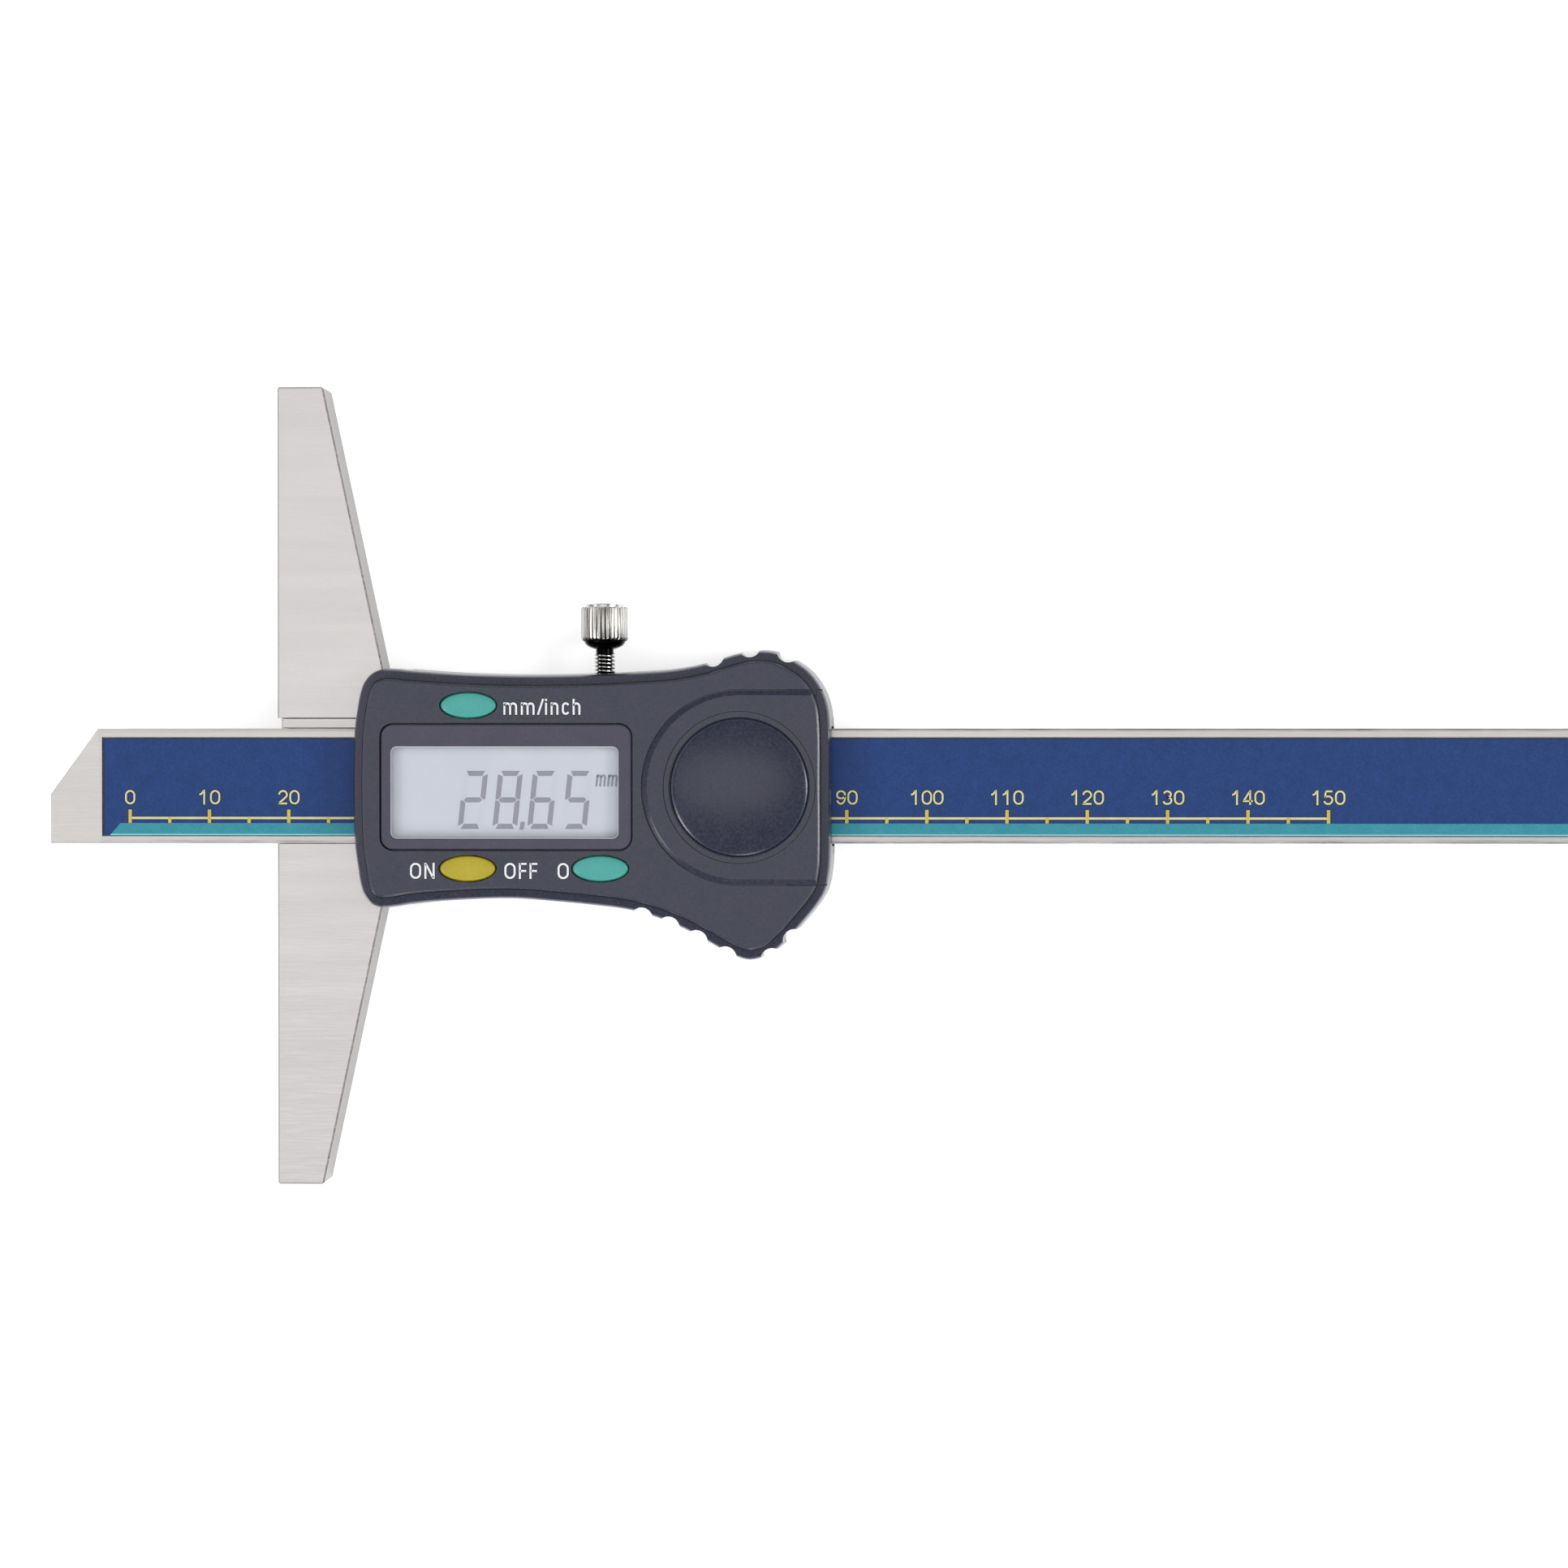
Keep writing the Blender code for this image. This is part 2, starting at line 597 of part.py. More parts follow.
def rounded_rectangle(centre_x, centre_y, length, width, corner):
    """A clockwise or anticlockwise outline with round corners."""
    outline = []
    for side_x, side_y, start in ((1, 1, 0), (-1, 1, 1), (-1, -1, 2), (1, -1, 3)):
        for step in range(CORNER_STEPS + 1):
            angle = (start + step / CORNER_STEPS) * math.pi / 2
            outline.append((
                centre_x + side_x * (length / 2 - corner) + corner * math.cos(angle),
                centre_y + side_y * (width / 2 - corner) + corner * math.sin(angle),
            ))
    return outline


def ellipse(centre, length, width, height):
    points = []
    for step in range(ROUND_STEPS):
        angle = math.tau * step / ROUND_STEPS
        points.append((
            centre[0] + length / 2 * math.cos(angle),
            centre[1] + width / 2 * math.sin(angle),
            height,
        ))
    return points


def outline_height(share):
    """How far a point of the outline lies from the beam's middle."""
    waist = min(abs(share), 1) * HOUSING_WAIST
    flare = max(abs(share) - 1, 0) * HOUSING_FLARE
    return math.copysign(waist + flare, share)


def housing_outline():
    """The outline at the back edge of the housing's wall."""
    points = [
        Vector((HOUSING_START + along * HOUSING_LENGTH, outline_height(across)))
        for along, across in OUTLINE_SHARES
    ]
    return smooth_closed(points, OUTLINE_STEPS)


def notch_places(outline):
    """The centres of the grip notches, which run along the top, the lower flank and the lower corner."""
    rows = (
        (UPPER_NOTCH_SETBACK, UPPER_NOTCH_PITCH, UPPER_NOTCH_COUNT, 1),
        (LOWER_NOTCH_SETBACK, LOWER_NOTCH_PITCH, LOWER_NOTCH_COUNT, -1),
        (CORNER_NOTCH_SETBACK, CORNER_NOTCH_PITCH, CORNER_NOTCH_COUNT, -1),
    )
    centres = []
    for setback, pitch, count, side in rows:
        for number in range(count):
            wanted = HOUSING_END - setback + number * pitch
            near = [index for index, point in enumerate(outline) if point.y * side > 0]
            nearest = min(near, key=lambda index: abs(outline[index].x - wanted))
            towards = inward(outline, nearest)
            shift = (wanted - outline[nearest].x) * Vector((-towards.y, towards.x)).x
            along = Vector((-towards.y, towards.x)) * shift
            centres.append(outline[nearest] + along - towards * (NOTCH_RADIUS - NOTCH_DEPTH))
    return centres


def case_screw_places():
    return [
        (across, side * CASE_SCREW_Y)
        for across in (CASE_SCREW_LEFT_X, CASE_SCREW_RIGHT_X)
        for side in (1, -1)
    ]


def lid_outline(growth, end):
    """The battery cover's plan: a half circle on the left that runs on straight to the right."""
    radius = LID_RADIUS + growth
    outline = [(end, LID_CENTRE_Y + radius)]
    for step in range(FINE_STEPS // 2 + 1):
        angle = math.pi / 2 + math.pi * step / (FINE_STEPS // 2)
        outline.append((
            LID_CENTRE_X + radius * math.cos(angle),
            LID_CENTRE_Y + radius * math.sin(angle),
        ))
    outline.append((end, LID_CENTRE_Y - radius))
    return outline


def housing_rings(outline):
    """The housing's outside, from the back edge of its wall up to the raised face."""
    steps = (
        (0.0, 0.0),
        (SHOULDER_HEIGHT, SHOULDER_INSET),
        (BAND_HEIGHT, BAND_INSET),
        (BAND_TOP_HEIGHT, BAND_TOP_INSET),
        (FACE_HEIGHT - FACE_EDGE_DROP, FACE_STEP_INSET),
        (FACE_HEIGHT, FACE_INSET),
    )
    return [ring(inset(outline, distance), HOUSING_EDGE_Z + height) for height, distance in steps]


def build_base(steel):
    """The bridge, with the slot for beam and gib and the rebate for the frame's tongue."""
    end = BASE_LENGTH / 2
    outline = [(0, -end), (0, end), (BASE_END_WIDTH, end), (BASE_MIDDLE_WIDTH, 0), (BASE_END_WIDTH, -end)]
    base = prism("measuring_base", outline, BACK_Z, FRONT_Z, steel)
    slot = box(
        "cut_slot",
        (-OVERRUN, SLOT_LOWER_Y, SLOT_FLOOR_Z),
        (BASE_MIDDLE_WIDTH + OVERRUN, SLOT_UPPER_Y, FRONT_Z + OVERRUN),
    )
    rebate = box(
        "cut_rebate",
        (TONGUE_START - SLIP_FIT, -FRAME_HALF_WIDTH - SLIP_FIT, BACK_Z - OVERRUN),
        (BASE_MIDDLE_WIDTH + OVERRUN, FRAME_HALF_WIDTH + SLIP_FIT, TONGUE_FRONT_Z + SLIP_FIT),
    )
    combine(base, [slot, rebate])
    for number, side in enumerate((1, -1), 1):
        screw_end = WEB_BACK_Z + BASE_SCREW_LENGTH
        screw_hole = rod(
            f"cut_base_screw_{number}",
            (BASE_SCREW_X, side * BASE_SCREW_Y, BACK_Z),
            (BASE_SCREW_X, side * BASE_SCREW_Y, screw_end + SLIP_FIT),
            BASE_SCREW_RADIUS + RUNNING_FIT,
        )
        dowel_hole = rod(
            f"cut_base_dowel_{number}",
            (DOWEL_X, side * BASE_SCREW_Y, BACK_Z),
            (DOWEL_X, side * BASE_SCREW_Y, WEB_BACK_Z + DOWEL_LENGTH + SLIP_FIT),
            DOWEL_RADIUS + RUNNING_FIT,
        )
        combine(base, [screw_hole, dowel_hole])


def build_frame(steel):
    """The channel that the beam runs in, with a tongue that reaches into the bridge."""
    profile = [
        (-FRAME_HALF_WIDTH, WEB_BACK_Z),
        (FRAME_HALF_WIDTH, WEB_BACK_Z),
        (FRAME_HALF_WIDTH, FRONT_Z),
        (SLOT_UPPER_Y, FRONT_Z),
        (SLOT_UPPER_Y, SLOT_FLOOR_Z),
        (SLOT_LOWER_Y, SLOT_FLOOR_Z),
        (SLOT_LOWER_Y, FRONT_Z),
        (-FRAME_HALF_WIDTH, FRONT_Z),
    ]
    frame = prism("slider_frame", profile, FRAME_START, FRAME_END, steel, along="X")
    tongue = box(
        "add_tongue",
        (TONGUE_START, -FRAME_HALF_WIDTH, WEB_BACK_Z),
        (FRAME_START + OVERRUN, FRAME_HALF_WIDTH, TONGUE_FRONT_Z),
    )
    combine(frame, [tongue], "UNION")
    for number, side in enumerate((1, -1), 1):
        y = side * BASE_SCREW_Y
        countersink = turned(
            f"cut_tongue_screw_{number}",
            countersunk_profile(
                BASE_SCREW_RADIUS + SLIP_FIT,
                BASE_SCREW_HEAD_RADIUS + SLIP_FIT,
                BASE_SCREW_HEAD_HEIGHT,
                OVERRUN,
                TONGUE_THICKNESS + OVERRUN,
            ),
            (BASE_SCREW_X, y, WEB_BACK_Z),
            (0, 0, -1),
        )
        dowel = rod(
            f"cut_tongue_dowel_{number}",
            (DOWEL_X, y, BACK_Z),
            (DOWEL_X, y, FRONT_Z),
            DOWEL_RADIUS + RUNNING_FIT,
        )
        board_screw = rod(
            f"cut_board_thread_{number}",
            (BOARD_SCREW_X, side * BOARD_SCREW_Y, BOARD_FRONT_Z - BOARD_SCREW_LENGTH),
            (BOARD_SCREW_X, side * BOARD_SCREW_Y, FRONT_Z + OVERRUN),
            BOARD_SCREW_RADIUS + RUNNING_FIT,
        )
        combine(frame, [countersink, dowel, board_screw])
    for number, (x, y) in enumerate(case_screw_places(), 1):
        through = rod(
            f"cut_frame_case_screw_{number}",
            (x, y, BACK_Z),
            (x, y, FRONT_Z + OVERRUN),
            CASE_SCREW_RADIUS + SLIP_FIT,
        )
        combine(frame, [through])
    tapped = (
        ("cut_gib_screw_1", GIB_SCREW_FIRST_X, GIB_SCREW_RADIUS),
        ("cut_gib_screw_2", GIB_SCREW_SECOND_X, GIB_SCREW_RADIUS),
        ("cut_lock_thread", LOCK_X, LOCK_THREAD_RADIUS),
    )
    for name, x, radius in tapped:
        hole = rod(
            name,
            (x, SLOT_UPPER_Y - RUNNING_FIT, BEAM_MID_Z),
            (x, FRAME_HALF_WIDTH + OVERRUN, BEAM_MID_Z),
            radius + RUNNING_FIT,
        )
        combine(frame, [hole])


def countersunk_profile(shank, head, head_height, above, length):
    """Radius and height pairs, top to bottom, from above the head to the end of the shank."""
    return [(0, above), (head, above), (head, 0), (shank, -head_height), (shank, -length), (0, -length)]


def screw_profile(shank, head, head_height, length):
    """A pan head with a driver's dimple, and its shank below."""
    return [
        (0, head_height * DIMPLE_SHARE),
        (head * DIMPLE_SHARE, head_height),
        (head, head_height * DIMPLE_SHARE),
        (head, 0),
        (shank, 0),
        (shank, -length),
        (0, -length),
    ]


def build_gib(bronze, steel):
    """The gib and the two set screws that take up its play."""
    box(
        "gib_strip",
        (GIB_SETBACK, GIB_LOWER_Y, SLOT_FLOOR_Z + RUNNING_FIT),
        (FRAME_END - GIB_SETBACK, GIB_UPPER_Y, FRONT_Z - RUNNING_FIT),
        bronze,
    )
    for number, x in enumerate((GIB_SCREW_FIRST_X, GIB_SCREW_SECOND_X), 1):
        screw = rod(
            f"gib_set_screw_{number}",
            (x, GIB_UPPER_Y + RUNNING_FIT, BEAM_MID_Z),
            (x, FRAME_HALF_WIDTH - SLIP_FIT, BEAM_MID_Z),
            GIB_SCREW_RADIUS,
            steel,
        )
        slot = box(
            f"cut_gib_screw_slot_{number}",
            (x - OVERRUN, FRAME_HALF_WIDTH - SLIP_FIT - GIB_SETBACK, BEAM_MID_Z - GLUE_LINE - SLIP_FIT),
            (x + OVERRUN, FRAME_HALF_WIDTH + OVERRUN, BEAM_MID_Z + GLUE_LINE + SLIP_FIT),
        )
        combine(screw, [slot])


def build_beam(steel, green, blue, brass):
    """The measuring bar with its bevelled tip, and what is glued and screwed to it."""
    outline = [
        (TIP_X, -BEAM_TOP),
        (TIP_X, -BEAM_TOP + TIP_FACE_WIDTH),
        (TIP_X + TIP_BEVEL_LENGTH, BEAM_TOP),
        (BEAM_END_X, BEAM_TOP),
        (BEAM_END_X, -BEAM_TOP),
    ]
    origin = (TIP_X, 0, BEAM_MID_Z)
    beam = prism("beam", outline, BEAM_BACK_Z, FRONT_Z, steel, origin=origin)
    recess_top = BEAM_TOP - RAIL_WIDTH_UPPER
    recess_bottom = -BEAM_TOP + RAIL_WIDTH_LOWER
    start = TIP_X + RECESS_START
    recess = box(
        "cut_recess",
        (start, recess_bottom, FRONT_Z - RECESS_DEPTH),
        (BEAM_END_X + OVERRUN, recess_top, FRONT_Z + OVERRUN),
    )
    combine(beam, [recess])
    grating_back = FRONT_Z - RECESS_DEPTH + GLUE_LINE
    grating_front = grating_back + GRATING_THICKNESS
    label_back = grating_front + GLUE_LINE
    for name, back, front, material in (
        ("grating_strip", grating_back, grating_front, green),
        ("scale_label", label_back, label_back + LABEL_THICKNESS, blue),
    ):
        box(
            name,
            (start + SLIP_FIT, recess_bottom + SLIP_FIT, back),
            (BEAM_END_X - SLIP_FIT, recess_top - SLIP_FIT, front),
            material,
            origin,
        )
    stop = box(
        "beam_stop",
        (STOP_START, -STOP_WIDTH / 2, STOP_FRONT_Z - STOP_THICKNESS),
        (STOP_START + STOP_LENGTH, STOP_WIDTH / 2, STOP_FRONT_Z),
        steel,
        origin,
    )
    stop_x = STOP_START + STOP_LENGTH / 2
    for number, side in enumerate((1, -1), 1):
        y = side * STOP_SCREW_SPACING / 2
        back = STOP_FRONT_Z - STOP_THICKNESS
        thread = rod(
            f"cut_stop_thread_{number}",
            (stop_x, y, back - OVERRUN),
            (stop_x, y, BEAM_BACK_Z + STOP_SCREW_DEPTH + SLIP_FIT),
            STOP_SCREW_RADIUS + RUNNING_FIT,
        )
        combine(beam, [thread])
        combine(stop, [thread])
        turned(
            f"stop_screw_{number}",
            screw_profile(
                STOP_SCREW_RADIUS,
                STOP_SCREW_HEAD_RADIUS,
                STOP_SCREW_HEAD_HEIGHT,
                BEAM_BACK_Z + STOP_SCREW_DEPTH - back + RUNNING_FIT,
            ),
            (stop_x, y, back - RUNNING_FIT),
            (0, 0, -1),
            brass,
        )


def build_base_fixings(steel):
    """The two countersunk screws and the two dowels between bridge and frame."""
    for number, side in enumerate((1, -1), 1):
        y = side * BASE_SCREW_Y
        turned(
            f"base_screw_{number}",
            countersunk_profile(
                BASE_SCREW_RADIUS,
                BASE_SCREW_HEAD_RADIUS,
                BASE_SCREW_HEAD_HEIGHT,
                -SLIP_FIT,
                BASE_SCREW_LENGTH,
            ),
            (BASE_SCREW_X, y, WEB_BACK_Z),
            (0, 0, -1),
            steel,
        )
        rod(
            f"dowel_pin_{number}",
            (DOWEL_X, y, WEB_BACK_Z + RUNNING_FIT),
            (DOWEL_X, y, WEB_BACK_Z + DOWEL_LENGTH),
            DOWEL_RADIUS,
            steel,
        )


def build_housing(outline, plastic):
    """The front shell: raised face, grips, display opening, battery pocket and screw bosses."""
    housing = loft("housing_shell", housing_rings(outline), plastic)
    inside = inset(outline, HOUSING_WALL)
    base_edge = FRAME_START + FRAME_START_GAP
    low = HOUSING_EDGE_Z - OVERRUN
    high = FACE_Z + OVERRUN
    under_base = box(
        "cut_base_clearance",
        (HOUSING_START - OVERRUN, -HOUSING_REACH, low),
        (base_edge, HOUSING_REACH, UNDERSIDE_Z),
    )
    cavity = prism("cut_cavity", inside, low, CEILING_Z)
    floor = box(
        "keep_floor",
        (HOUSING_START - OVERRUN, -HOUSING_REACH, UNDERSIDE_Z),
        (base_edge + FLOOR_THICKNESS, HOUSING_REACH, FLOOR_TOP_Z),
    )
    cup = rod(
        "keep_cup",
        (BATTERY_X, BATTERY_Y, UNDERSIDE_Z),
        (BATTERY_X, BATTERY_Y, FACE_Z),
        CUP_RADIUS,
        steps=FINE_STEPS,
    )
    bosses = []
    for number, (x, y) in enumerate(case_screw_places(), 1):
        bosses.append(
            rod(f"keep_boss_{number}", (x, y, BOARD_BACK_Z), (x, y, FACE_Z), BOSS_RADIUS, steps=SMALL_STEPS)
        )
    combine(cavity, [floor, cup, *bosses])
    combine(housing, [cavity, under_base])

    pocket = rod(
        "cut_pocket",
        (BATTERY_X, BATTERY_Y, POCKET_FLOOR_Z),
        (BATTERY_X, BATTERY_Y, high),
        POCKET_RADIUS,
        steps=FINE_STEPS,
    )
    far = HOUSING_END + OVERRUN
    lid_seat = prism("cut_lid_seat", lid_outline(0.0, far), LID_BACK_Z - SLIP_FIT, high)
    hook_seat = box(
        "cut_hook_seat",
        (LID_HOOK_START - SLIP_FIT, LID_CENTRE_Y - LID_RADIUS, LID_HOOK_Z - SLIP_FIT),
        (far, LID_CENTRE_Y + LID_RADIUS, high),
    )
    combine(housing, [pocket, lid_seat, hook_seat])
    for number, side in enumerate((1, -1), 1):
        near = LID_CENTRE_Y + side * (LID_RADIUS - OVERRUN)
        edge = LID_CENTRE_Y + side * (LID_RADIUS + LID_TONGUE_WIDTH + SLIP_FIT)
        groove = box(
            f"cut_tongue_groove_{number}",
            (LID_TONGUE_START - SLIP_FIT, min(near, edge), LID_BACK_Z - RUNNING_FIT),
            (far, max(near, edge), LID_BACK_Z + LID_TONGUE_THICKNESS + RUNNING_FIT),
        )
        combine(housing, [groove])

    display = prism(
        "cut_display",
        rounded_rectangle(
            BEZEL_CENTRE_X,
            BEZEL_CENTRE_Y,
            BEZEL_LENGTH + SLIP_FIT + SLIP_FIT,
            BEZEL_WIDTH + SLIP_FIT + SLIP_FIT,
            BEZEL_CORNER + SLIP_FIT,
        ),
        CEILING_Z - OVERRUN,
        high,
    )
    beam_way = box(
        "cut_beam_way",
        (FRAME_END, SLOT_LOWER_Y - SHELL_GAP, low),
        (far, BEAM_TOP + SHELL_GAP, UNDERSIDE_Z),
    )
    lock_hole = rod(
        "cut_lock_hole",
        (LOCK_X, FRAME_HALF_WIDTH - OVERRUN, BEAM_MID_Z),
        (LOCK_X, HOUSING_REACH, BEAM_MID_Z),
        LOCK_WALL_HOLE,
    )
    combine(housing, [display, beam_way, lock_hole])
    for name, (x, y) in button_places().items():
        growth = BUTTON_CLEARANCE + BUTTON_CLEARANCE
        hole = loft(
            f"cut_{name}",
            [
                ellipse((x, y), BUTTON_LENGTH + growth, BUTTON_WIDTH + growth, height)
                for height in (CEILING_Z - GLUE_LINE, high)
            ],
        )
        combine(housing, [hole])
    for number, (x, y) in enumerate(case_screw_places(), 1):
        pilot = rod(
            f"cut_boss_{number}",
            (x, y, low),
            (x, y, BOARD_BACK_Z + CASE_SCREW_ENGAGEMENT + SLIP_FIT),
            CASE_SCREW_RADIUS + RUNNING_FIT,
        )
        combine(housing, [pilot])
    for name, angle in (("cut_contact_back", BACK_CONTACT_ANGLE), ("cut_contact_side", SIDE_CONTACT_ANGLE)):
        way = box(
            name,
            (BATTERY_RADIUS, -CONTACT_WIDTH / 2 - SHELL_GAP, BOARD_FRONT_Z - SLIP_FIT),
            (CUP_RADIUS + SHELL_GAP, CONTACT_WIDTH / 2 + SHELL_GAP, BATTERY_BACK_Z + SHELL_GAP),
        )
        combine(housing, [on_battery(way, angle)])
    notches = grip_notches(outline, "cut_grip")
    combine(housing, notches)
    return notches


def grip_notches(outline, name):
    return [
        rod(
            f"{name}_{number}",
            (centre.x, centre.y, BACK_Z - OVERRUN),
            (centre.x, centre.y, FACE_Z),
            NOTCH_RADIUS,
            steps=SMALL_STEPS,
        )
        for number, centre in enumerate(notch_places(outline), 1)
    ]


def on_battery(thing, angle):
    """Puts a thing that was made along +X on a radius of the battery, at an angle in degrees."""
    thing.location = (BATTERY_X, BATTERY_Y, 0)
    thing.rotation_euler.z = math.radians(angle)
    return thing


def build_back_cover(outline, plastic, steel, notches):
    """The back half of the housing with its four screws, which go through the frame into the bosses."""
    edge = right_of(outline, FRAME_START + FRAME_START_GAP)
    levels = (
        (BACK_Z, BACK_FACE_INSET),
        (BACK_Z + BACK_EDGE_HEIGHT, BACK_EDGE_INSET),
        (BACK_WALL_TOP_Z, 0.0),
    )
    rings = [ring(inset(outline, distance), height) for height, distance in levels]
    cover = loft("back_cover", rings, plastic)
    left_side = box(
        "cut_back_left",
        (HOUSING_START - OVERRUN, -HOUSING_REACH, BACK_Z - OVERRUN),
        (FRAME_START + FRAME_START_GAP, HOUSING_REACH, HOUSING_EDGE_Z + OVERRUN),
    )
    inside = prism(
        "cut_back_inside",
        right_of(inset(outline, BACK_WALL), edge[0].x - OVERRUN),
        BACK_PLATE_FRONT_Z,
        HOUSING_EDGE_Z + OVERRUN,
    )
    combine(cover, [left_side, inside])
    neck = box(
        "add_back_neck",
        (TONGUE_START + SLIP_FIT, -FRAME_HALF_WIDTH, BACK_Z),
        (FRAME_START + OVERRUN, FRAME_HALF_WIDTH, BACK_PLATE_FRONT_Z - GLUE_LINE),
    )
    combine(cover, [neck], "UNION")
    beam_notch = box(
        "cut_back_beam_notch",
        (FRAME_END, -BACK_NOTCH_HALF_WIDTH, BACK_PLATE_FRONT_Z),
        (HOUSING_END + OVERRUN, BACK_NOTCH_HALF_WIDTH, FRONT_Z),
    )
    combine(cover, [beam_notch, *notches])
    for number, (x, y) in enumerate(case_screw_places(), 1):
        length = BOARD_BACK_Z + CASE_SCREW_ENGAGEMENT - BACK_Z
        seat = turned(
            f"cut_case_screw_seat_{number}",
            countersunk_profile(
                CASE_SCREW_RADIUS + SLIP_FIT,
                CASE_SCREW_HEAD_RADIUS + SLIP_FIT,
                CASE_SCREW_HEAD_HEIGHT,
                OVERRUN,
                length,
            ),
            (x, y, BACK_Z),
            (0, 0, -1),
        )
        combine(cover, [seat])
        turned(
            f"case_screw_{number}",
            countersunk_profile(
                CASE_SCREW_RADIUS,
                CASE_SCREW_HEAD_RADIUS,
                CASE_SCREW_HEAD_HEIGHT,
                -RUNNING_FIT,
                length,
            ),
            (x, y, BACK_Z),
            (0, 0, -1),
            steel,
        )


def build_display(frame_plastic, clear, liquid_crystal, rubber):
    """Bezel, window, display glass and the rubber connectors under it."""
    bezel = prism(
        "display_bezel",
        rounded_rectangle(BEZEL_CENTRE_X, BEZEL_CENTRE_Y, BEZEL_LENGTH, BEZEL_WIDTH, BEZEL_CORNER),
        BEZEL_BACK_Z,
        FACE_Z - BEZEL_SINK,
        frame_plastic,
    )
    opening = prism(
        "cut_window_opening",
        rounded_rectangle(WINDOW_CENTRE_X, WINDOW_CENTRE_Y, WINDOW_LENGTH, WINDOW_HEIGHT, WINDOW_CORNER),
        BEZEL_BACK_Z - OVERRUN,
        FACE_Z + OVERRUN,
    )
    window_front = FACE_Z - WINDOW_DEPTH
    window_back = window_front - WINDOW_THICKNESS
    grown = WINDOW_LEDGE + WINDOW_LEDGE
    rebate = prism(
        "cut_window_rebate",
        rounded_rectangle(
            WINDOW_CENTRE_X,
            WINDOW_CENTRE_Y,
            WINDOW_LENGTH + grown,
            WINDOW_HEIGHT + grown,
            WINDOW_CORNER + WINDOW_LEDGE,
        ),
        BEZEL_BACK_Z - OVERRUN,
        window_front + RUNNING_FIT,
    )
    combine(bezel, [opening, rebate])
    slack = grown - SLIP_FIT - SLIP_FIT
    prism(
        "display_window",
        rounded_rectangle(
            WINDOW_CENTRE_X,
            WINDOW_CENTRE_Y,
            WINDOW_LENGTH + slack,
            WINDOW_HEIGHT + slack,
            WINDOW_CORNER + WINDOW_LEDGE - SLIP_FIT,
        ),
        max(window_back, BEZEL_BACK_Z),
        window_front,
        clear,
    )
    lcd_low = (WINDOW_CENTRE_X - LCD_LENGTH / 2, BEZEL_CENTRE_Y - LCD_HEIGHT / 2, LCD_BACK_Z)
    lcd_high = (WINDOW_CENTRE_X + LCD_LENGTH / 2, BEZEL_CENTRE_Y + LCD_HEIGHT / 2, LCD_FRONT_Z)
    box("lcd_panel", lcd_low, lcd_high, liquid_crystal)
    for number, side in enumerate((1, -1), 1):
        y = BEZEL_CENTRE_Y + side * (LCD_HEIGHT / 2 - ZEBRA_INSET)
        start = lcd_high[0] - ZEBRA_INSET - ZEBRA_LENGTH
        box(
            f"zebra_strip_{number}",
            (start, y - ZEBRA_WIDTH / 2, BOARD_FRONT_Z + RUNNING_FIT),
            (start + ZEBRA_LENGTH, y + ZEBRA_WIDTH / 2, LCD_BACK_Z - RUNNING_FIT),
            rubber,
        )


def build_board(green, black, silver, steel):
    """The circuit board with its chip and crystal, screwed to the frame's rails."""
    board = box(
        "circuit_board",
        (BOARD_START, -BOARD_HALF_WIDTH, BOARD_BACK_Z),
        (BOARD_END, BOARD_HALF_WIDTH, BOARD_FRONT_Z),
        green,
    )
    middle = (BOARD_START + BOARD_END) / 2
    seat = BOARD_FRONT_Z + RUNNING_FIT
    rod(
        "processor_chip",
        (middle, 0, seat),
        (middle, 0, seat + CHIP_HEIGHT),
        CHIP_RADIUS,
        black,
        far_radius=CHIP_RADIUS - CHIP_HEIGHT,
    )
    crystal_x = middle - CRYSTAL_OFFSET
    box(
        "crystal_can",
        (crystal_x - CRYSTAL_WIDTH / 2, -CRYSTAL_LENGTH / 2, seat),
        (crystal_x + CRYSTAL_WIDTH / 2, CRYSTAL_LENGTH / 2, seat + CRYSTAL_HEIGHT),
        silver,
    )
    for number, side in enumerate((1, -1), 1):
        y = side * BOARD_SCREW_Y
        hole = rod(
            f"cut_board_screw_{number}",
            (BOARD_SCREW_X, y, BOARD_BACK_Z - OVERRUN),
            (BOARD_SCREW_X, y, BOARD_FRONT_Z + OVERRUN),
            BOARD_SCREW_RADIUS + SLIP_FIT,
        )
        combine(board, [hole])
        turned(
            f"board_screw_{number}",
            screw_profile(
                BOARD_SCREW_RADIUS,
                BOARD_SCREW_HEAD_RADIUS,
                BOARD_SCREW_HEAD_HEIGHT,
                BOARD_SCREW_LENGTH - SLIP_FIT,
            ),
            (BOARD_SCREW_X, y, seat),
            (0, 0, 1),
            steel,
        )


def button_places():
    return {
        "button_units": (UNITS_BUTTON_X, BEZEL_CENTRE_Y + BUTTON_Y),
        "button_power": (POWER_BUTTON_X, BEZEL_CENTRE_Y - BUTTON_Y),
        "button_zero": (ZERO_BUTTON_X, BEZEL_CENTRE_Y - BUTTON_Y),
    }


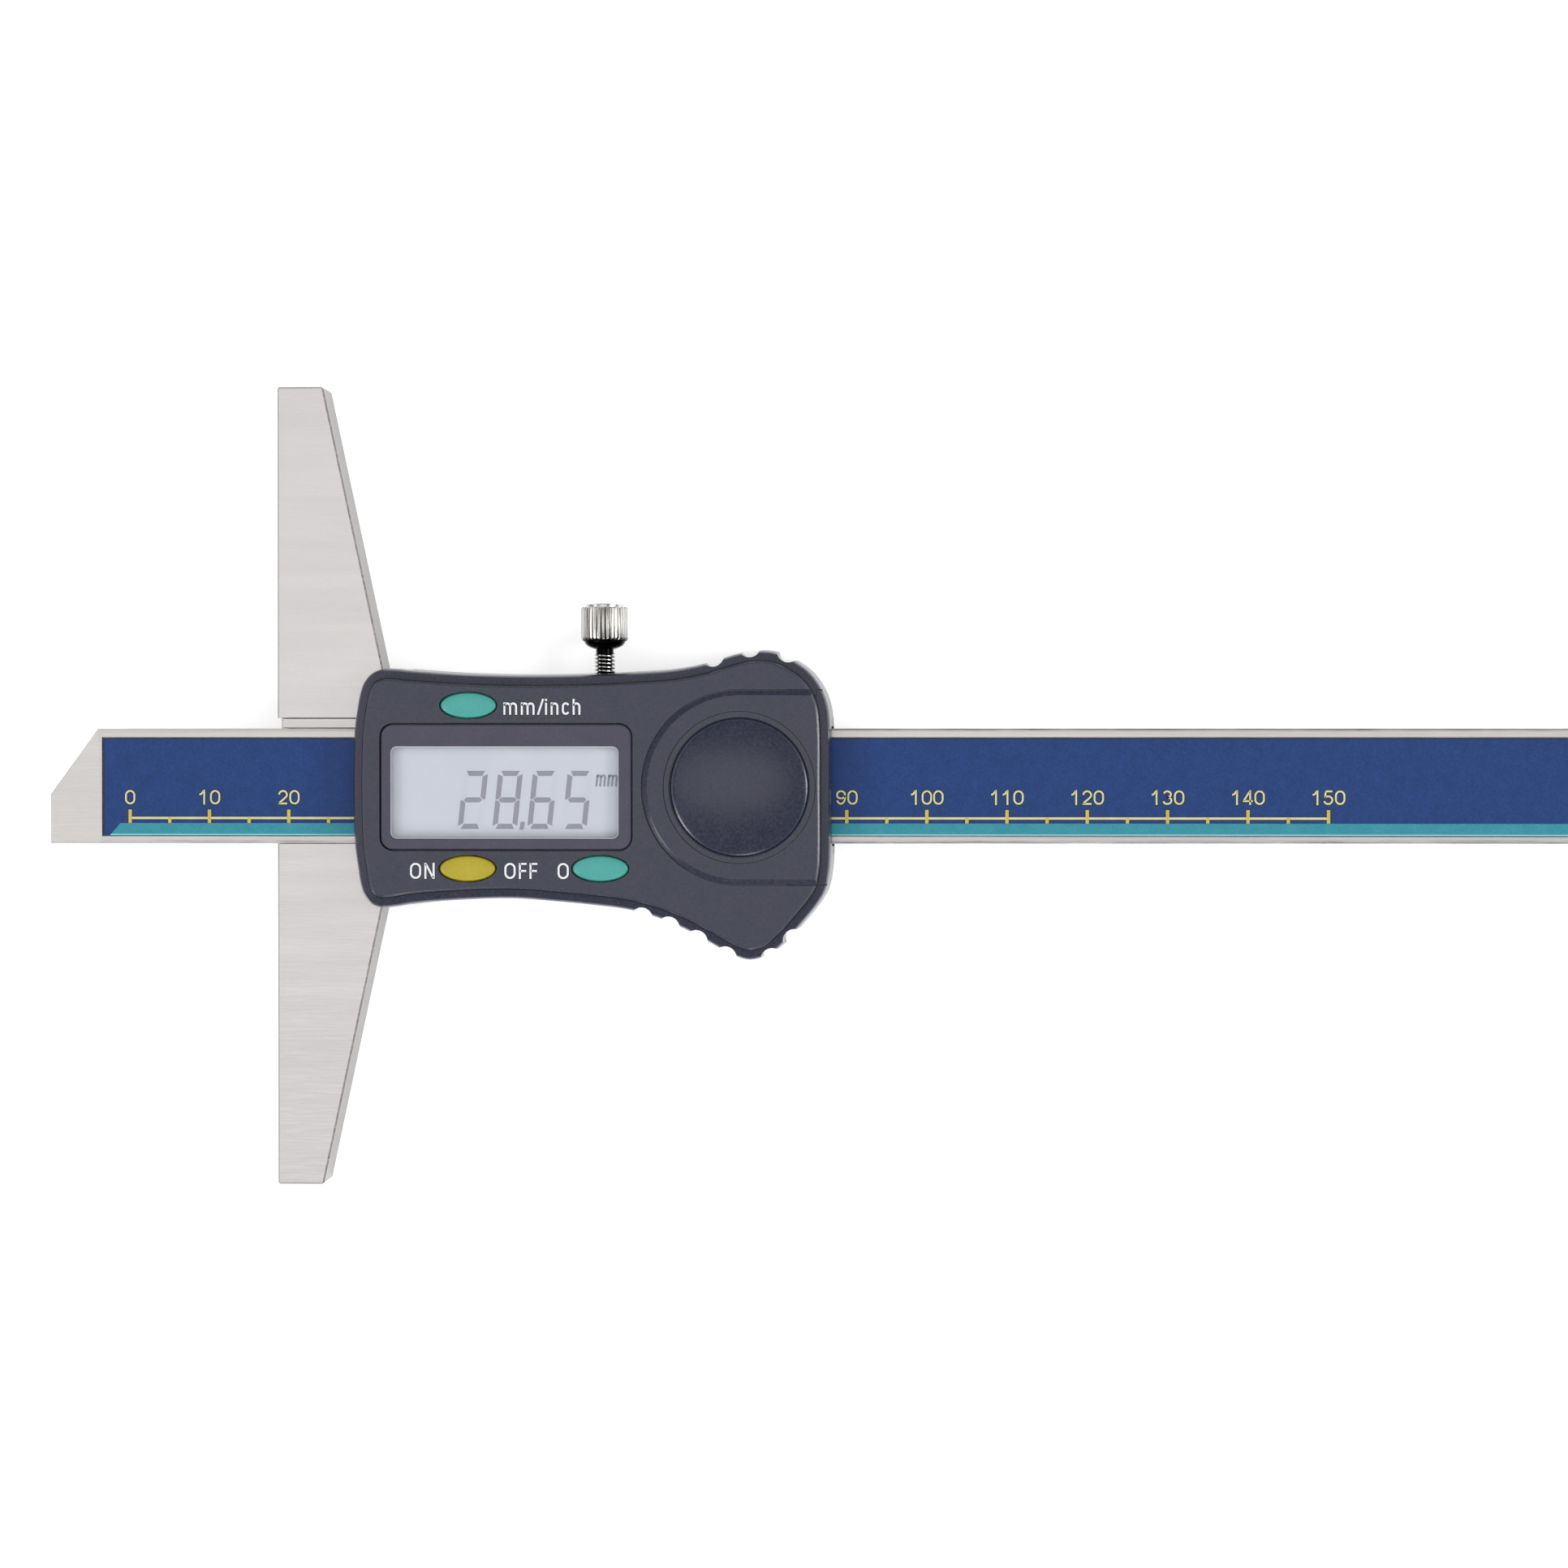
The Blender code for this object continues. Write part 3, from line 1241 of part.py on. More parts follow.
def build_buttons(colors, silicone):
    """Three oval buttons with a lip that holds them in, each over a silicone dome."""
    stem = BUTTON_STEM_RADIUS + BUTTON_STEM_RADIUS
    lip = BUTTON_LIP + BUTTON_LIP
    stem_end = DOME_TOP_Z + RUNNING_FIT
    for name, (x, y) in button_places().items():
        sections = (
            (stem_end, stem, stem),
            (BUTTON_LIP_BACK_Z, stem, stem),
            (BUTTON_LIP_BACK_Z, BUTTON_LENGTH + lip, BUTTON_WIDTH + lip),
            (BUTTON_LIP_FRONT_Z, BUTTON_LENGTH + lip, BUTTON_WIDTH + lip),
            (BUTTON_LIP_FRONT_Z, BUTTON_LENGTH, BUTTON_WIDTH),
            (BUTTON_TOP_Z - BUTTON_CROWN, BUTTON_LENGTH, BUTTON_WIDTH),
            (BUTTON_TOP_Z, BUTTON_LENGTH * BUTTON_CROWN_SHARE, BUTTON_WIDTH * BUTTON_CROWN_SHARE),
        )
        rings = [ellipse((x, y), length, width, height) for height, length, width in sections]
        loft(name, rings, colors[name], origin=(x, y, BUTTON_TOP_Z))
        rod(
            name.replace("button", "switch_dome"),
            (x, y, BOARD_FRONT_Z + RUNNING_FIT),
            (x, y, DOME_TOP_Z),
            DOME_RADIUS,
            silicone,
            far_radius=DOME_TOP_RADIUS,
            steps=SMALL_STEPS,
        )


def build_battery(steel, spring):
    """The coin cell, the leaf under it and the blade at its rim."""
    turned(
        "battery",
        [
            (0, BATTERY_HEIGHT),
            (BATTERY_RADIUS - BATTERY_CAP_STEP, BATTERY_HEIGHT),
            (BATTERY_RADIUS, BATTERY_HEIGHT - BATTERY_CAP_STEP),
            (BATTERY_RADIUS, BATTERY_CAP_STEP),
            (BATTERY_CAP_RADIUS, BATTERY_CAP_STEP),
            (BATTERY_CAP_RADIUS, 0),
            (0, 0),
        ],
        (BATTERY_X, BATTERY_Y, BATTERY_BACK_Z),
        (0, 0, 1),
        steel,
        steps=FINE_STEPS,
    )
    low = BOARD_FRONT_Z + GLUE_LINE
    high = low + CONTACT_THICKNESS
    foot_end = BATTERY_X - BOARD_END + CONTACT_FOOT
    leaf = box(
        "battery_contact_back",
        (-CONTACT_REACH, -CONTACT_WIDTH / 2, low),
        (foot_end, CONTACT_WIDTH / 2, high),
        spring,
    )
    on_battery(leaf, BACK_CONTACT_ANGLE)
    side_end = foot_end / math.cos(math.radians(BACK_CONTACT_ANGLE - SIDE_CONTACT_ANGLE))
    near = BATTERY_RADIUS + RUNNING_FIT
    bent = [
        (low, near),
        (low, side_end),
        (high, side_end),
        (high, near + CONTACT_THICKNESS),
        (low + SIDE_CONTACT_HEIGHT, near + CONTACT_THICKNESS),
        (low + SIDE_CONTACT_HEIGHT, near),
    ]
    half = SIDE_CONTACT_WIDTH / 2
    blade = prism("battery_contact_side", bent, -half, half, spring, along="Y")
    on_battery(blade, SIDE_CONTACT_ANGLE)


def build_lid(outline, plastic):
    """The sliding battery cover, cut from the same outer form as the housing, with a domed thumb disc."""
    origin = (LID_CENTRE_X, LID_CENTRE_Y, LID_BACK_Z)
    lid = loft("battery_cover", housing_rings(outline), plastic, origin=origin)
    far = HOUSING_END + OVERRUN
    plate = prism("keep_lid_plate", lid_outline(-SLIP_FIT, far), LID_BACK_Z, FACE_Z + OVERRUN)
    hook = box(
        "keep_lid_hook",
        (LID_HOOK_START, LID_CENTRE_Y - LID_RADIUS + SLIP_FIT, LID_HOOK_Z),
        (far, LID_CENTRE_Y + LID_RADIUS - SLIP_FIT, FACE_Z),
    )
    combine(plate, [hook], "UNION")
    combine(lid, [plate], "INTERSECT")
    for number, side in enumerate((1, -1), 1):
        near = LID_CENTRE_Y + side * (LID_RADIUS - OVERRUN)
        edge = LID_CENTRE_Y + side * (LID_RADIUS + LID_TONGUE_WIDTH)
        tongue = box(
            f"add_tongue_{number}",
            (LID_TONGUE_START, min(near, edge), LID_BACK_Z),
            (LID_TONGUE_END, max(near, edge), LID_BACK_Z + LID_TONGUE_THICKNESS),
        )
        combine(lid, [tongue], "UNION")
    well = FACE_Z - RING_GROOVE_DEPTH
    groove = rod(
        "cut_ring_groove",
        (LID_CENTRE_X, LID_CENTRE_Y, well),
        (LID_CENTRE_X, LID_CENTRE_Y, FACE_Z + OVERRUN),
        DOME_DISC_RADIUS + RING_GROOVE_WIDTH,
        steps=FINE_STEPS,
    )
    combine(lid, [groove])
    disc = turned(
        "add_dome_disc",
        dome_profile(),
        (LID_CENTRE_X, LID_CENTRE_Y, FACE_Z),
        (0, 0, 1),
        steps=FINE_STEPS,
    )
    combine(lid, [disc], "UNION")


def dome_profile():
    """A shallow dome over a short cylinder, top to bottom."""
    steps = CORNER_STEPS
    points = [(0, DOME_DISC_RISE)]
    for step in range(1, steps + 1):
        radius = DOME_DISC_RADIUS * step / steps
        height = (DOME_DISC_RISE + DOME_DISC_DROP) * (1 - (step / steps) ** 2) - DOME_DISC_DROP
        points.append((radius, height))
    bottom = -RING_GROOVE_DEPTH - GLUE_LINE
    return [*points, (DOME_DISC_RADIUS, bottom), (0, bottom)]


def build_lock(steel, brass):
    """The knurled lock screw, whose axis is the joint's, and its brass pad."""
    top = LOCK_TOP_Y
    head_top = top - LOCK_CAP_THICKNESS
    head_end = head_top - LOCK_HEAD_LENGTH
    cone_end = head_end - LOCK_CONE_LENGTH
    neck_end = cone_end - LOCK_NECK_LENGTH
    core = LOCK_HEAD_RADIUS - FLUTE_DEPTH
    screw = turned(
        "lock_screw",
        [
            (0, top),
            (LOCK_CAP_RADIUS, top),
            (LOCK_CAP_RADIUS, head_top - GLUE_LINE),
            (core, head_top - GLUE_LINE),
            (core, head_end),
            (LOCK_CONE_RADIUS, head_end),
            (LOCK_THREAD_RADIUS, cone_end),
            (LOCK_NECK_RADIUS, cone_end),
            (LOCK_NECK_RADIUS, neck_end),
            (LOCK_THREAD_RADIUS, neck_end),
            (LOCK_THREAD_RADIUS, LOCK_TIP_Y),
            (0, LOCK_TIP_Y),
        ],
        (LOCK_X, 0, BEAM_MID_Z),
        (0, 1, 0),
        steel,
    )
    outline = []
    for flute in range(FLUTE_COUNT):
        for share, radius in ((0, LOCK_HEAD_RADIUS), (FLUTE_SHARE, LOCK_HEAD_RADIUS - FLUTE_DEPTH)):
            angle = math.tau * (flute + share) / FLUTE_COUNT
            outline.append((BEAM_MID_Z + radius * math.cos(angle), LOCK_X + radius * math.sin(angle)))
    knurl = prism("add_knurl", outline, head_end, head_top, along="Y")
    combine(screw, [knurl], "UNION")
    rod(
        "lock_pad",
        (LOCK_X, LOCK_PAD_Y, BEAM_MID_Z),
        (LOCK_X, LOCK_PAD_Y + LOCK_PAD_LENGTH, BEAM_MID_Z),
        LOCK_THREAD_RADIUS - SLIP_FIT,
        brass,
        origin=(LOCK_X, LOCK_PAD_Y, BEAM_MID_Z),
    )


def shade_round(thing):
    """Shades the part smooth and keeps its edges sharp."""
    thing.data.shade_smooth()
    thing.data.set_sharp_from_angle(angle=math.radians(SHARP_ANGLE))


def build_all():
    outline = housing_outline()
    ground = finish("ground_steel", STEEL_COLOR, ROUGH_STEEL, METAL)
    screws = finish("screw_steel", SCREW_COLOR, SMOOTH_STEEL, METAL)
    housing_plastic = finish("housing_plastic", HOUSING_COLOR, MATTE)
    teal = finish("button_teal", TEAL_COLOR, SATIN)

    build_base(ground)
    build_frame(finish("milled_steel", MILLED_COLOR, ROUGH_STEEL, METAL))
    build_gib(finish("gib_bronze", GIB_COLOR, ROUGH_STEEL, METAL), screws)
    build_beam(
        ground,
        finish("grating_green", GRATING_COLOR, MATTE),
        finish("label_blue", LABEL_COLOR, SATIN),
        screws,
    )
    build_base_fixings(screws)
    notches = build_housing(outline, housing_plastic)
    build_back_cover(outline, finish("back_plastic", BACK_COLOR, MATTE), screws, notches)
    build_display(
        finish("bezel_plastic", BEZEL_COLOR, SATIN),
        finish("window_clear", WINDOW_COLOR, POLISHED, alpha=WINDOW_ALPHA),
        finish("lcd_grey", LCD_COLOR, SMOOTH_STEEL),
        finish("zebra_rubber", ZEBRA_COLOR, MATTE),
    )
    build_board(
        finish("board_green", BOARD_COLOR, MATTE),
        finish("chip_black", CHIP_COLOR, SATIN),
        finish("crystal_silver", CELL_COLOR, SMOOTH_STEEL, METAL),
        screws,
    )
    colors = {
        "button_units": teal,
        "button_power": finish("button_yellow", YELLOW_COLOR, SATIN),
        "button_zero": teal,
    }
    build_buttons(colors, finish("dome_silicone", SILICONE_COLOR, MATTE))
    build_battery(
        finish("cell_steel", CELL_COLOR, SMOOTH_STEEL, METAL),
        finish("contact_spring", SPRING_COLOR, SMOOTH_STEEL, METAL),
    )
    build_lid(outline, housing_plastic)
    build_lock(
        finish("dark_nickel", NICKEL_COLOR, SMOOTH_STEEL, METAL),
        finish("pad_brass", BRASS_COLOR, ROUGH_STEEL, METAL),
    )


def main():
    global PARTS, TOOLS
    clear_scene()
    PARTS = new_collection("depth_gauge")
    TOOLS = new_collection("cutters")
    build_all()
    for thing in PARTS.objects:
        shade_round(thing)


main()
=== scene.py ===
"""Looks of a digital depth gauge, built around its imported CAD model.

Metres, in the model's own frame: +X runs along the bar away from its tip, +Y points to the lock screw and
+Z out of the display. The bar lies flat on the floor, and the camera looks down from above its right part.
"""

import logging
import math
from collections.abc import Callable, Iterable, Iterator, Sequence
from contextlib import contextmanager
from dataclasses import dataclass
from enum import Enum
from functools import cache

import bmesh
import bpy
from mathutils import Matrix, Vector


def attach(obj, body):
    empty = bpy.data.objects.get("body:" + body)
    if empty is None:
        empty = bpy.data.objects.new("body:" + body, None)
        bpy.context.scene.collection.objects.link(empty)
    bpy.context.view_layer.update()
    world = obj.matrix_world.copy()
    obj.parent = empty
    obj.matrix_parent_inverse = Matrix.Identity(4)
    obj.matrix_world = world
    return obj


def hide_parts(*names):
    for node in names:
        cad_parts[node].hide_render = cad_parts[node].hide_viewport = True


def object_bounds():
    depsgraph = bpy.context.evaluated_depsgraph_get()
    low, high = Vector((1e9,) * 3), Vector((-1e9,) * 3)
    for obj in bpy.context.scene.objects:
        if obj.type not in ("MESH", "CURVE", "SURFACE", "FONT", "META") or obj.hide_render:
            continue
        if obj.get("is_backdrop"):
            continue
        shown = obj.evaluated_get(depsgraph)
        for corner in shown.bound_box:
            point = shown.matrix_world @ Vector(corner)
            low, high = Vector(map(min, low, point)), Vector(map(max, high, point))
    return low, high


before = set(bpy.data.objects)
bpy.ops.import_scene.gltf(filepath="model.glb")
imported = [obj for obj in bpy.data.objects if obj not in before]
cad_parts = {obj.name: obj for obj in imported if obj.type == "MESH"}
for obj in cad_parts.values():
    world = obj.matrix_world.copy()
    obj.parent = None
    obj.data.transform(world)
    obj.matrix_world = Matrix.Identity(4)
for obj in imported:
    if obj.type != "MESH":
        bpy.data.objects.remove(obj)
CAD_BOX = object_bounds()

LOG = logging.getLogger("depth_gauge")

Piece = bpy.types.Object
Tree = bpy.types.NodeTree
Socket = bpy.types.NodeSocket
Edge = bmesh.types.BMEdge
EdgeTest = Callable[[Edge], bool]
Pair = tuple[float, float]
Pairs = tuple[Pair, ...]
Outline = list[Pair]
Place = tuple[float, float, float]
Color = tuple[int, int, int]
Feeds = dict[str | int, object]
Group = tuple[Tree, bpy.types.Node, bpy.types.Node]

TOUCH = 2e-6  # A point this near a plane lies on it.
THIN = 0.00001  # A rise or an overlap that nobody can see.
HAIR = 0.00005  # The least gap between two faces that must not share a plane.
PLAY = 0.0001  # The gap that a seat leaves round its piece.
BITE = 0.0002  # How far two solids that become one reach into each other.
PAST = 0.002  # How far a cutter reaches beyond what it cuts.
MOULDED_TURN = 24.0  # On moulded plastic, edges that turn by more degrees stay sharp.
CORNER_STEPS = 8  # How many sides a round corner of a plan has.
ARC_STEP = 12  # How many degrees lie between the points of a letter's curve.
ARC_LEAST = 4  # The fewest steps that a letter's curve has.
MITRE = 0.5  # The least cosine with which a stroke is widened at a bend.
WHITE = (1, 1, 1, 1)
HOLLOW_SHADE_ATTRIBUTE = "hollows"  # The attribute that holds painted shade: near black in the screw's flutes, thread root and cone.


# Edit-mode work


def activate(piece: Piece) -> None:
    """Deselects everything, then selects this piece and makes it active.

    Args:
        piece: the object that the next operators act on.
    """
    bpy.ops.object.select_all(action="DESELECT")
    piece.select_set(True)
    bpy.context.view_layer.objects.active = piece


@contextmanager
def editing(piece: Piece, mode: str = "FACE") -> Iterator[None]:
    """Keeps a piece in edit mode for the length of a with block, with nothing selected at its start.

    Args:
        piece: the mesh object to edit.
        mode: what is selected, VERT, EDGE or FACE.
    """
    activate(piece)
    bpy.ops.object.mode_set(mode="EDIT")
    bpy.ops.mesh.select_mode(type=mode)
    bpy.ops.mesh.select_all(action="DESELECT")
    try:
        yield
    finally:
        bpy.ops.object.mode_set(mode="OBJECT")


def pick_edges(piece: Piece, test: EdgeTest) -> bool:
    """Selects the edges that pass a test, in edit mode.

    Args:
        piece: the object in edit mode.
        test: says whether an edge is wanted.

    Returns:
        Whether any edge passed.
    """
    shape = bmesh.from_edit_mesh(piece.data)
    wanted = [edge for edge in shape.edges if test(edge)]
    for edge in wanted:
        edge.select_set(True)
    bmesh.update_edit_mesh(piece.data)
    return bool(wanted)


def every(edge: Edge) -> bool:
    """A test that each edge passes."""
    return True


def past(axis: int, level: float, sign: int = 1) -> EdgeTest:
    """A test for edges at or past a level on an axis, upwards or, with a sign of -1, downwards."""
    return lambda edge: all(sign * vert.co[axis] > sign * level - TOUCH for vert in edge.verts)


def bevel_where(piece: Piece, test: EdgeTest, width: float, segments: int = 1) -> None:
    """Bevels the edges that pass a test.

    Args:
        piece: the object to change.
        test: says whether an edge is wanted.
        width: the bevel's offset along the faces.
        segments: how many strips the bevel has.
    """
    with editing(piece, "EDGE"):
        if pick_edges(piece, test):
            bpy.ops.mesh.bevel(offset=width, segments=segments, affect="EDGES", clamp_overlap=True)


def close_shell(piece: Piece) -> None:
    """Fills any open rim of a piece and turns its faces outwards.

    Args:
        piece: the object in edit mode.
    """
    bpy.ops.mesh.select_mode(type="EDGE")
    bpy.ops.mesh.select_all(action="DESELECT")
    bpy.ops.mesh.select_non_manifold()
    if any(edge.select for edge in bmesh.from_edit_mesh(piece.data).edges):
        bpy.ops.mesh.edge_face_add()
    bpy.ops.mesh.select_all(action="SELECT")
    bpy.ops.mesh.normals_make_consistent(inside=False)


def call(piece: Piece, name: str) -> Piece:
    """Names an object and its mesh.

    Args:
        piece: the object.
        name: the name of both.

    Returns:
        The same object.
    """
    piece.name = name
    piece.data.name = name
    return piece


def blank(name: str, outline: Outline, height: float) -> Piece:
    """A flat face with a given outline, which faces up.

    Args:
        name: the new object's name.
        outline: the corners, in either direction.
        height: the face's Z.

    Returns:
        The new object.
    """
    bpy.ops.object.select_all(action="DESELECT")
    bpy.ops.mesh.primitive_circle_add(vertices=len(outline), radius=1.0, fill_type="NGON")
    piece = call(bpy.context.object, name)
    area = sum(x * after[1] - after[0] * y for (x, y), after in zip(outline, outline[1:] + outline[:1]))
    corners = outline if area > 0 else outline[::-1]
    for index, (x, y) in zip(list(piece.data.polygons[0].vertices), corners):
        piece.data.vertices[index].co = (x, y, height)
    piece.data.update()
    return piece


def raise_plate(name: str, outline: Outline, low: float, steps: Sequence[Pair] | float) -> Piece:
    """A solid that rises from an outline, straight or in steps with an inset each.

    Args:
        name: the new object's name.
        outline: the corners of the lowest face.
        low: the Z of the lowest face.
        steps: its height, or pairs of rise and inset from the bottom up.

    Returns:
        The new object.
    """
    piece = blank(name, outline, low)
    with editing(piece):
        bpy.ops.mesh.select_all(action="SELECT")
        for rise, inset in [(steps, 0.0)] if isinstance(steps, float) else steps:
            if inset:
                bpy.ops.mesh.inset(thickness=inset, depth=rise, use_even_offset=True, use_boundary=True)
            else:
                bpy.ops.mesh.extrude_region_move(TRANSFORM_OT_translate={"value": (0, 0, rise)})
        close_shell(piece)
    return piece


def turn_profile(
    name: str,
    profile: Sequence[Pair],
    steps: int = 64,
    section: Callable[[float], float] | None = None,
) -> Piece:
    """A turned solid that stands on Z, extruded and scaled ring by ring.

    Args:
        name: the new object's name.
        profile: pairs of radius and height, from the first face to the last.
        steps: how many sides it has.
        section: gives the radius's share at an angle, where the solid isn't round.

    Returns:
        The new object.
    """
    radius, height = profile[0]
    outline = []
    for step in range(steps):
        angle = math.tau * step / steps
        reach = radius * (section(angle) if section else 1.0)
        outline.append((reach * math.cos(angle), reach * math.sin(angle)))
    piece = blank(name, outline, height)
    with editing(piece):
        bpy.ops.mesh.select_all(action="SELECT")
        for next_radius, next_height in profile[1:]:
            bpy.ops.mesh.extrude_region_move(TRANSFORM_OT_translate={"value": (0, 0, next_height - height)})
            share = next_radius / radius
            if share != 1:
                bpy.ops.transform.resize(value=(share, share, 1), center_override=(0, 0, next_height))
            radius, height = next_radius, next_height
        bpy.ops.mesh.select_all(action="SELECT")
        bpy.ops.mesh.normals_make_consistent(inside=False)
    return piece


def raise_oval(name: str, centre: Pair, half: Pair, low: float, steps: Sequence[Pair]) -> Piece:
    """An oval solid, extruded and scaled ring by ring.

    Args:
        name: the new object's name.
        centre: its middle in X and Y.
        half: half its length and half its width.
        low: the Z of its lowest face.
        steps: pairs of height and inset, from the bottom up.

    Returns:
        The new object.
    """
    piece = blank(name, oval(centre, half), low)
    last_height, last_inset = low, 0.0
    with editing(piece):
        bpy.ops.mesh.select_all(action="SELECT")
        for height, inset in steps:
            bpy.ops.mesh.extrude_region_move(TRANSFORM_OT_translate={"value": (0, 0, height - last_height)})
            shares = [(size - inset) / (size - last_inset) for size in half]
            bpy.ops.transform.resize(value=(*shares, 1), center_override=(*centre, height))
            last_height, last_inset = height, inset
        close_shell(piece)
    return piece


def stand(piece: Piece, centre: Place, direction: Place) -> Piece:
    """Moves a piece that was made on Z to its place and applies the place to its mesh.

    Args:
        piece: the object, made round the origin.
        centre: where its origin goes.
        direction: where its Z axis goes.

    Returns:
        The same object.
    """
    piece.rotation_mode = "QUATERNION"
    piece.rotation_quaternion = Vector((0, 0, 1)).rotation_difference(Vector(direction))
    piece.location = centre
    activate(piece)
    bpy.ops.object.transform_apply(location=True, rotation=True, scale=True)
    return piece


def block(name: str, low: Place, high: Place) -> Piece:
    """A box, as a start for a piece or as a cutter.

    Args:
        name: the new object's name.
        low: its lowest corner.
        high: its highest corner.

    Returns:
        The new object.
    """
    centre = (Vector(low) + Vector(high)) / 2
    size = Vector(high) - Vector(low)
    bpy.ops.object.select_all(action="DESELECT")
    bpy.ops.mesh.primitive_cube_add(size=1, location=centre, scale=size)
    bpy.ops.object.transform_apply(location=True, rotation=True, scale=True)
    return call(bpy.context.object, name)


def rod(name: str, start: Place, end: Place, radius: float, steps: int = 48) -> Piece:
    """A cylinder, as a start for a piece or as a cutter.

    Args:
        name: the new object's name.
        start: the middle of its first end.
        end: the middle of its other end.
        radius: its radius.
        steps: how many sides it has.

    Returns:
        The new object.
    """
    along = Vector(end) - Vector(start)
    bpy.ops.object.select_all(action="DESELECT")
    bpy.ops.mesh.primitive_cylinder_add(vertices=steps, radius=radius, depth=along.length)
    middle = (Vector(start) + Vector(end)) / 2
    return stand(call(bpy.context.object, name), tuple(middle), tuple(along.normalized()))


def post(name: str, centre: Pair, low: float, high: float, radius: float, steps: int = 48) -> Piece:
    """An upright cylinder, as a start for a piece or as a cutter."""
    return rod(name, (*centre, low), (*centre, high), radius, steps)


class Joining(Enum):
    """What a Boolean does with its tool."""

    CUT = "DIFFERENCE"
    ADD = "UNION"
    KEEP = "INTERSECT"


def work(target: Piece, tool: Piece, joining: Joining = Joining.CUT) -> None:
    """Applies an exact Boolean and removes its tool.

    Args:
        target: the piece that changes.
        tool: the solid that cuts, adds or keeps.
        joining: which of the three it does.
    """
    step = target.modifiers.new(tool.name, "BOOLEAN")
    step.operation = joining.value
    step.solver = "EXACT"
    step.object = tool
    activate(target)
    bpy.ops.object.modifier_apply(modifier=step.name)
    bpy.data.objects.remove(tool, do_unlink=True)


def join(pieces: Sequence[Piece], name: str) -> Piece:
    """Makes one object of several.

    Args:
        pieces: the objects, of which the first stays.
        name: the name of what they become.

    Returns:
        The joined object.
    """
    activate(pieces[0])
    for piece in pieces[1:]:
        piece.select_set(True)
    if len(pieces) > 1:
        bpy.ops.object.join()
    return call(pieces[0], name)


def twin(piece: Piece, name: str, shift: Place) -> Piece:
    """A copy of a piece with its own mesh.

    Args:
        piece: the object to copy.
        name: the copy's name.
        shift: how far the copy's mesh moves.

    Returns:
        The copy.
    """
    copy = piece.copy()
    copy.data = piece.data.copy()
    bpy.context.scene.collection.objects.link(copy)
    copy.data.transform(Matrix.Translation(shift))
    return call(copy, name)


# Outlines


def blend(first: Vector, second: Vector, start: float, end: float, at: float) -> Vector:
    """The point between two others for a knot value between start and end."""
    return first * ((end - at) / (end - start)) + second * ((at - start) / (end - start))


def smooth_closed(points: Sequence[Vector], steps: int) -> list[Vector]:
    """A closed centripetal curve through points.

    Args:
        points: what the curve goes through.
        steps: how many points it gets for each of them.

    Returns:
        The curve's points.
    """
    curve = []
    count = len(points)
    for index in range(count):
        before, start, end, after = (points[(index + shift) % count] for shift in (-1, 0, 1, 2))
        knots = [0.0]
        for first, second in ((before, start), (start, end), (end, after)):
            knots.append(knots[-1] + math.sqrt((second - first).length))
        for step in range(steps):
            at = knots[1] + (knots[2] - knots[1]) * step / steps
            low = blend(before, start, knots[0], knots[1], at)
            middle = blend(start, end, knots[1], knots[2], at)
            high = blend(end, after, knots[2], knots[3], at)
            left = blend(low, middle, knots[0], knots[2], at)
            right = blend(middle, high, knots[1], knots[3], at)
            curve.append(blend(left, right, knots[1], knots[2], at))
    return curve


def move_inwards(points: Sequence[Vector], distance: float) -> list[Vector]:
    """A clockwise outline moved inwards.

    Args:
        points: the outline.
        distance: how far it moves.

    Returns:
        The moved outline.
    """
    count = len(points)
    moved = []
    for index, point in enumerate(points):
        along = (points[(index + 1) % count] - points[index - 1]).normalized()
        moved.append(point + Vector((along.y, -along.x)) * distance)
    return moved


def around(centre: Pair, half: Pair, angles: Iterable[float]) -> Outline:
    """The points of an ellipse at some angles, from its middle and half its size."""
    (x, y), (a, b) = centre, half
    return [(x + a * math.cos(angle), y + b * math.sin(angle)) for angle in angles]


def oval(centre: Pair, half: Pair, steps: int = 72) -> Outline:
    """The outline of an ellipse, from its middle and half its size."""
    return around(centre, half, (math.tau * step / steps for step in range(steps)))


def rounded_rectangle(centre: Pair, size: Pair, corner: float, growth: float = 0.0) -> Outline:
    """An outline with four round corners.

    Args:
        centre: its middle.
        size: its length and its width.
        corner: its corners' radius.
        growth: how far it then grows on all sides.

    Returns:
        The outline.
    """
    radius = corner + growth
    outline = []
    for side_x, side_y, start in ((1, 1, 0), (-1, 1, 1), (-1, -1, 2), (1, -1, 3)):
        x = centre[0] + side_x * ((size[0] + growth * 2) / 2 - radius)
        y = centre[1] + side_y * ((size[1] + growth * 2) / 2 - radius)
        angles = ((start + step / CORNER_STEPS) * math.pi / 2 for step in range(CORNER_STEPS + 1))
        outline += around((x, y), (radius, radius), angles)
    return outline


# Lettering


def arc(centre: Pair, size: Pair, start: float, end: float) -> Outline:
    """Points along a part of an ellipse.

    Args:
        centre: the ellipse's middle.
        size: its half width and half height.
        start: the first point's angle in degrees.
        end: the last point's angle in degrees.

    Returns:
        The points.
    """
    steps = max(ARC_LEAST, round(abs(end - start) / ARC_STEP))
    angles = (math.radians(start + (end - start) * step / steps) for step in range(steps + 1))
    return around(centre, size, angles)


def loop(centre: Pair, size: Pair, straight: float = 0.0) -> tuple[Outline, Outline]:
    """The right and left half of a closed letter such as a nought.

    Args:
        centre: its middle.
        size: its half width and half height along the stroke's middle.
        straight: half the length of its straight sides.

    Returns:
        The two halves' points.
    """
    x, y = centre
    bend = (size[0], size[1] - straight)
    right = arc((x, y + straight), bend, 90, 0) + arc((x, y - straight), bend, 0, -90)
    left = arc((x, y + straight), bend, 90, 180) + arc((x, y - straight), bend, 180, 270)
    if not straight:
        right.pop(len(right) // 2)
        left.pop(len(left) // 2)
    return right, left


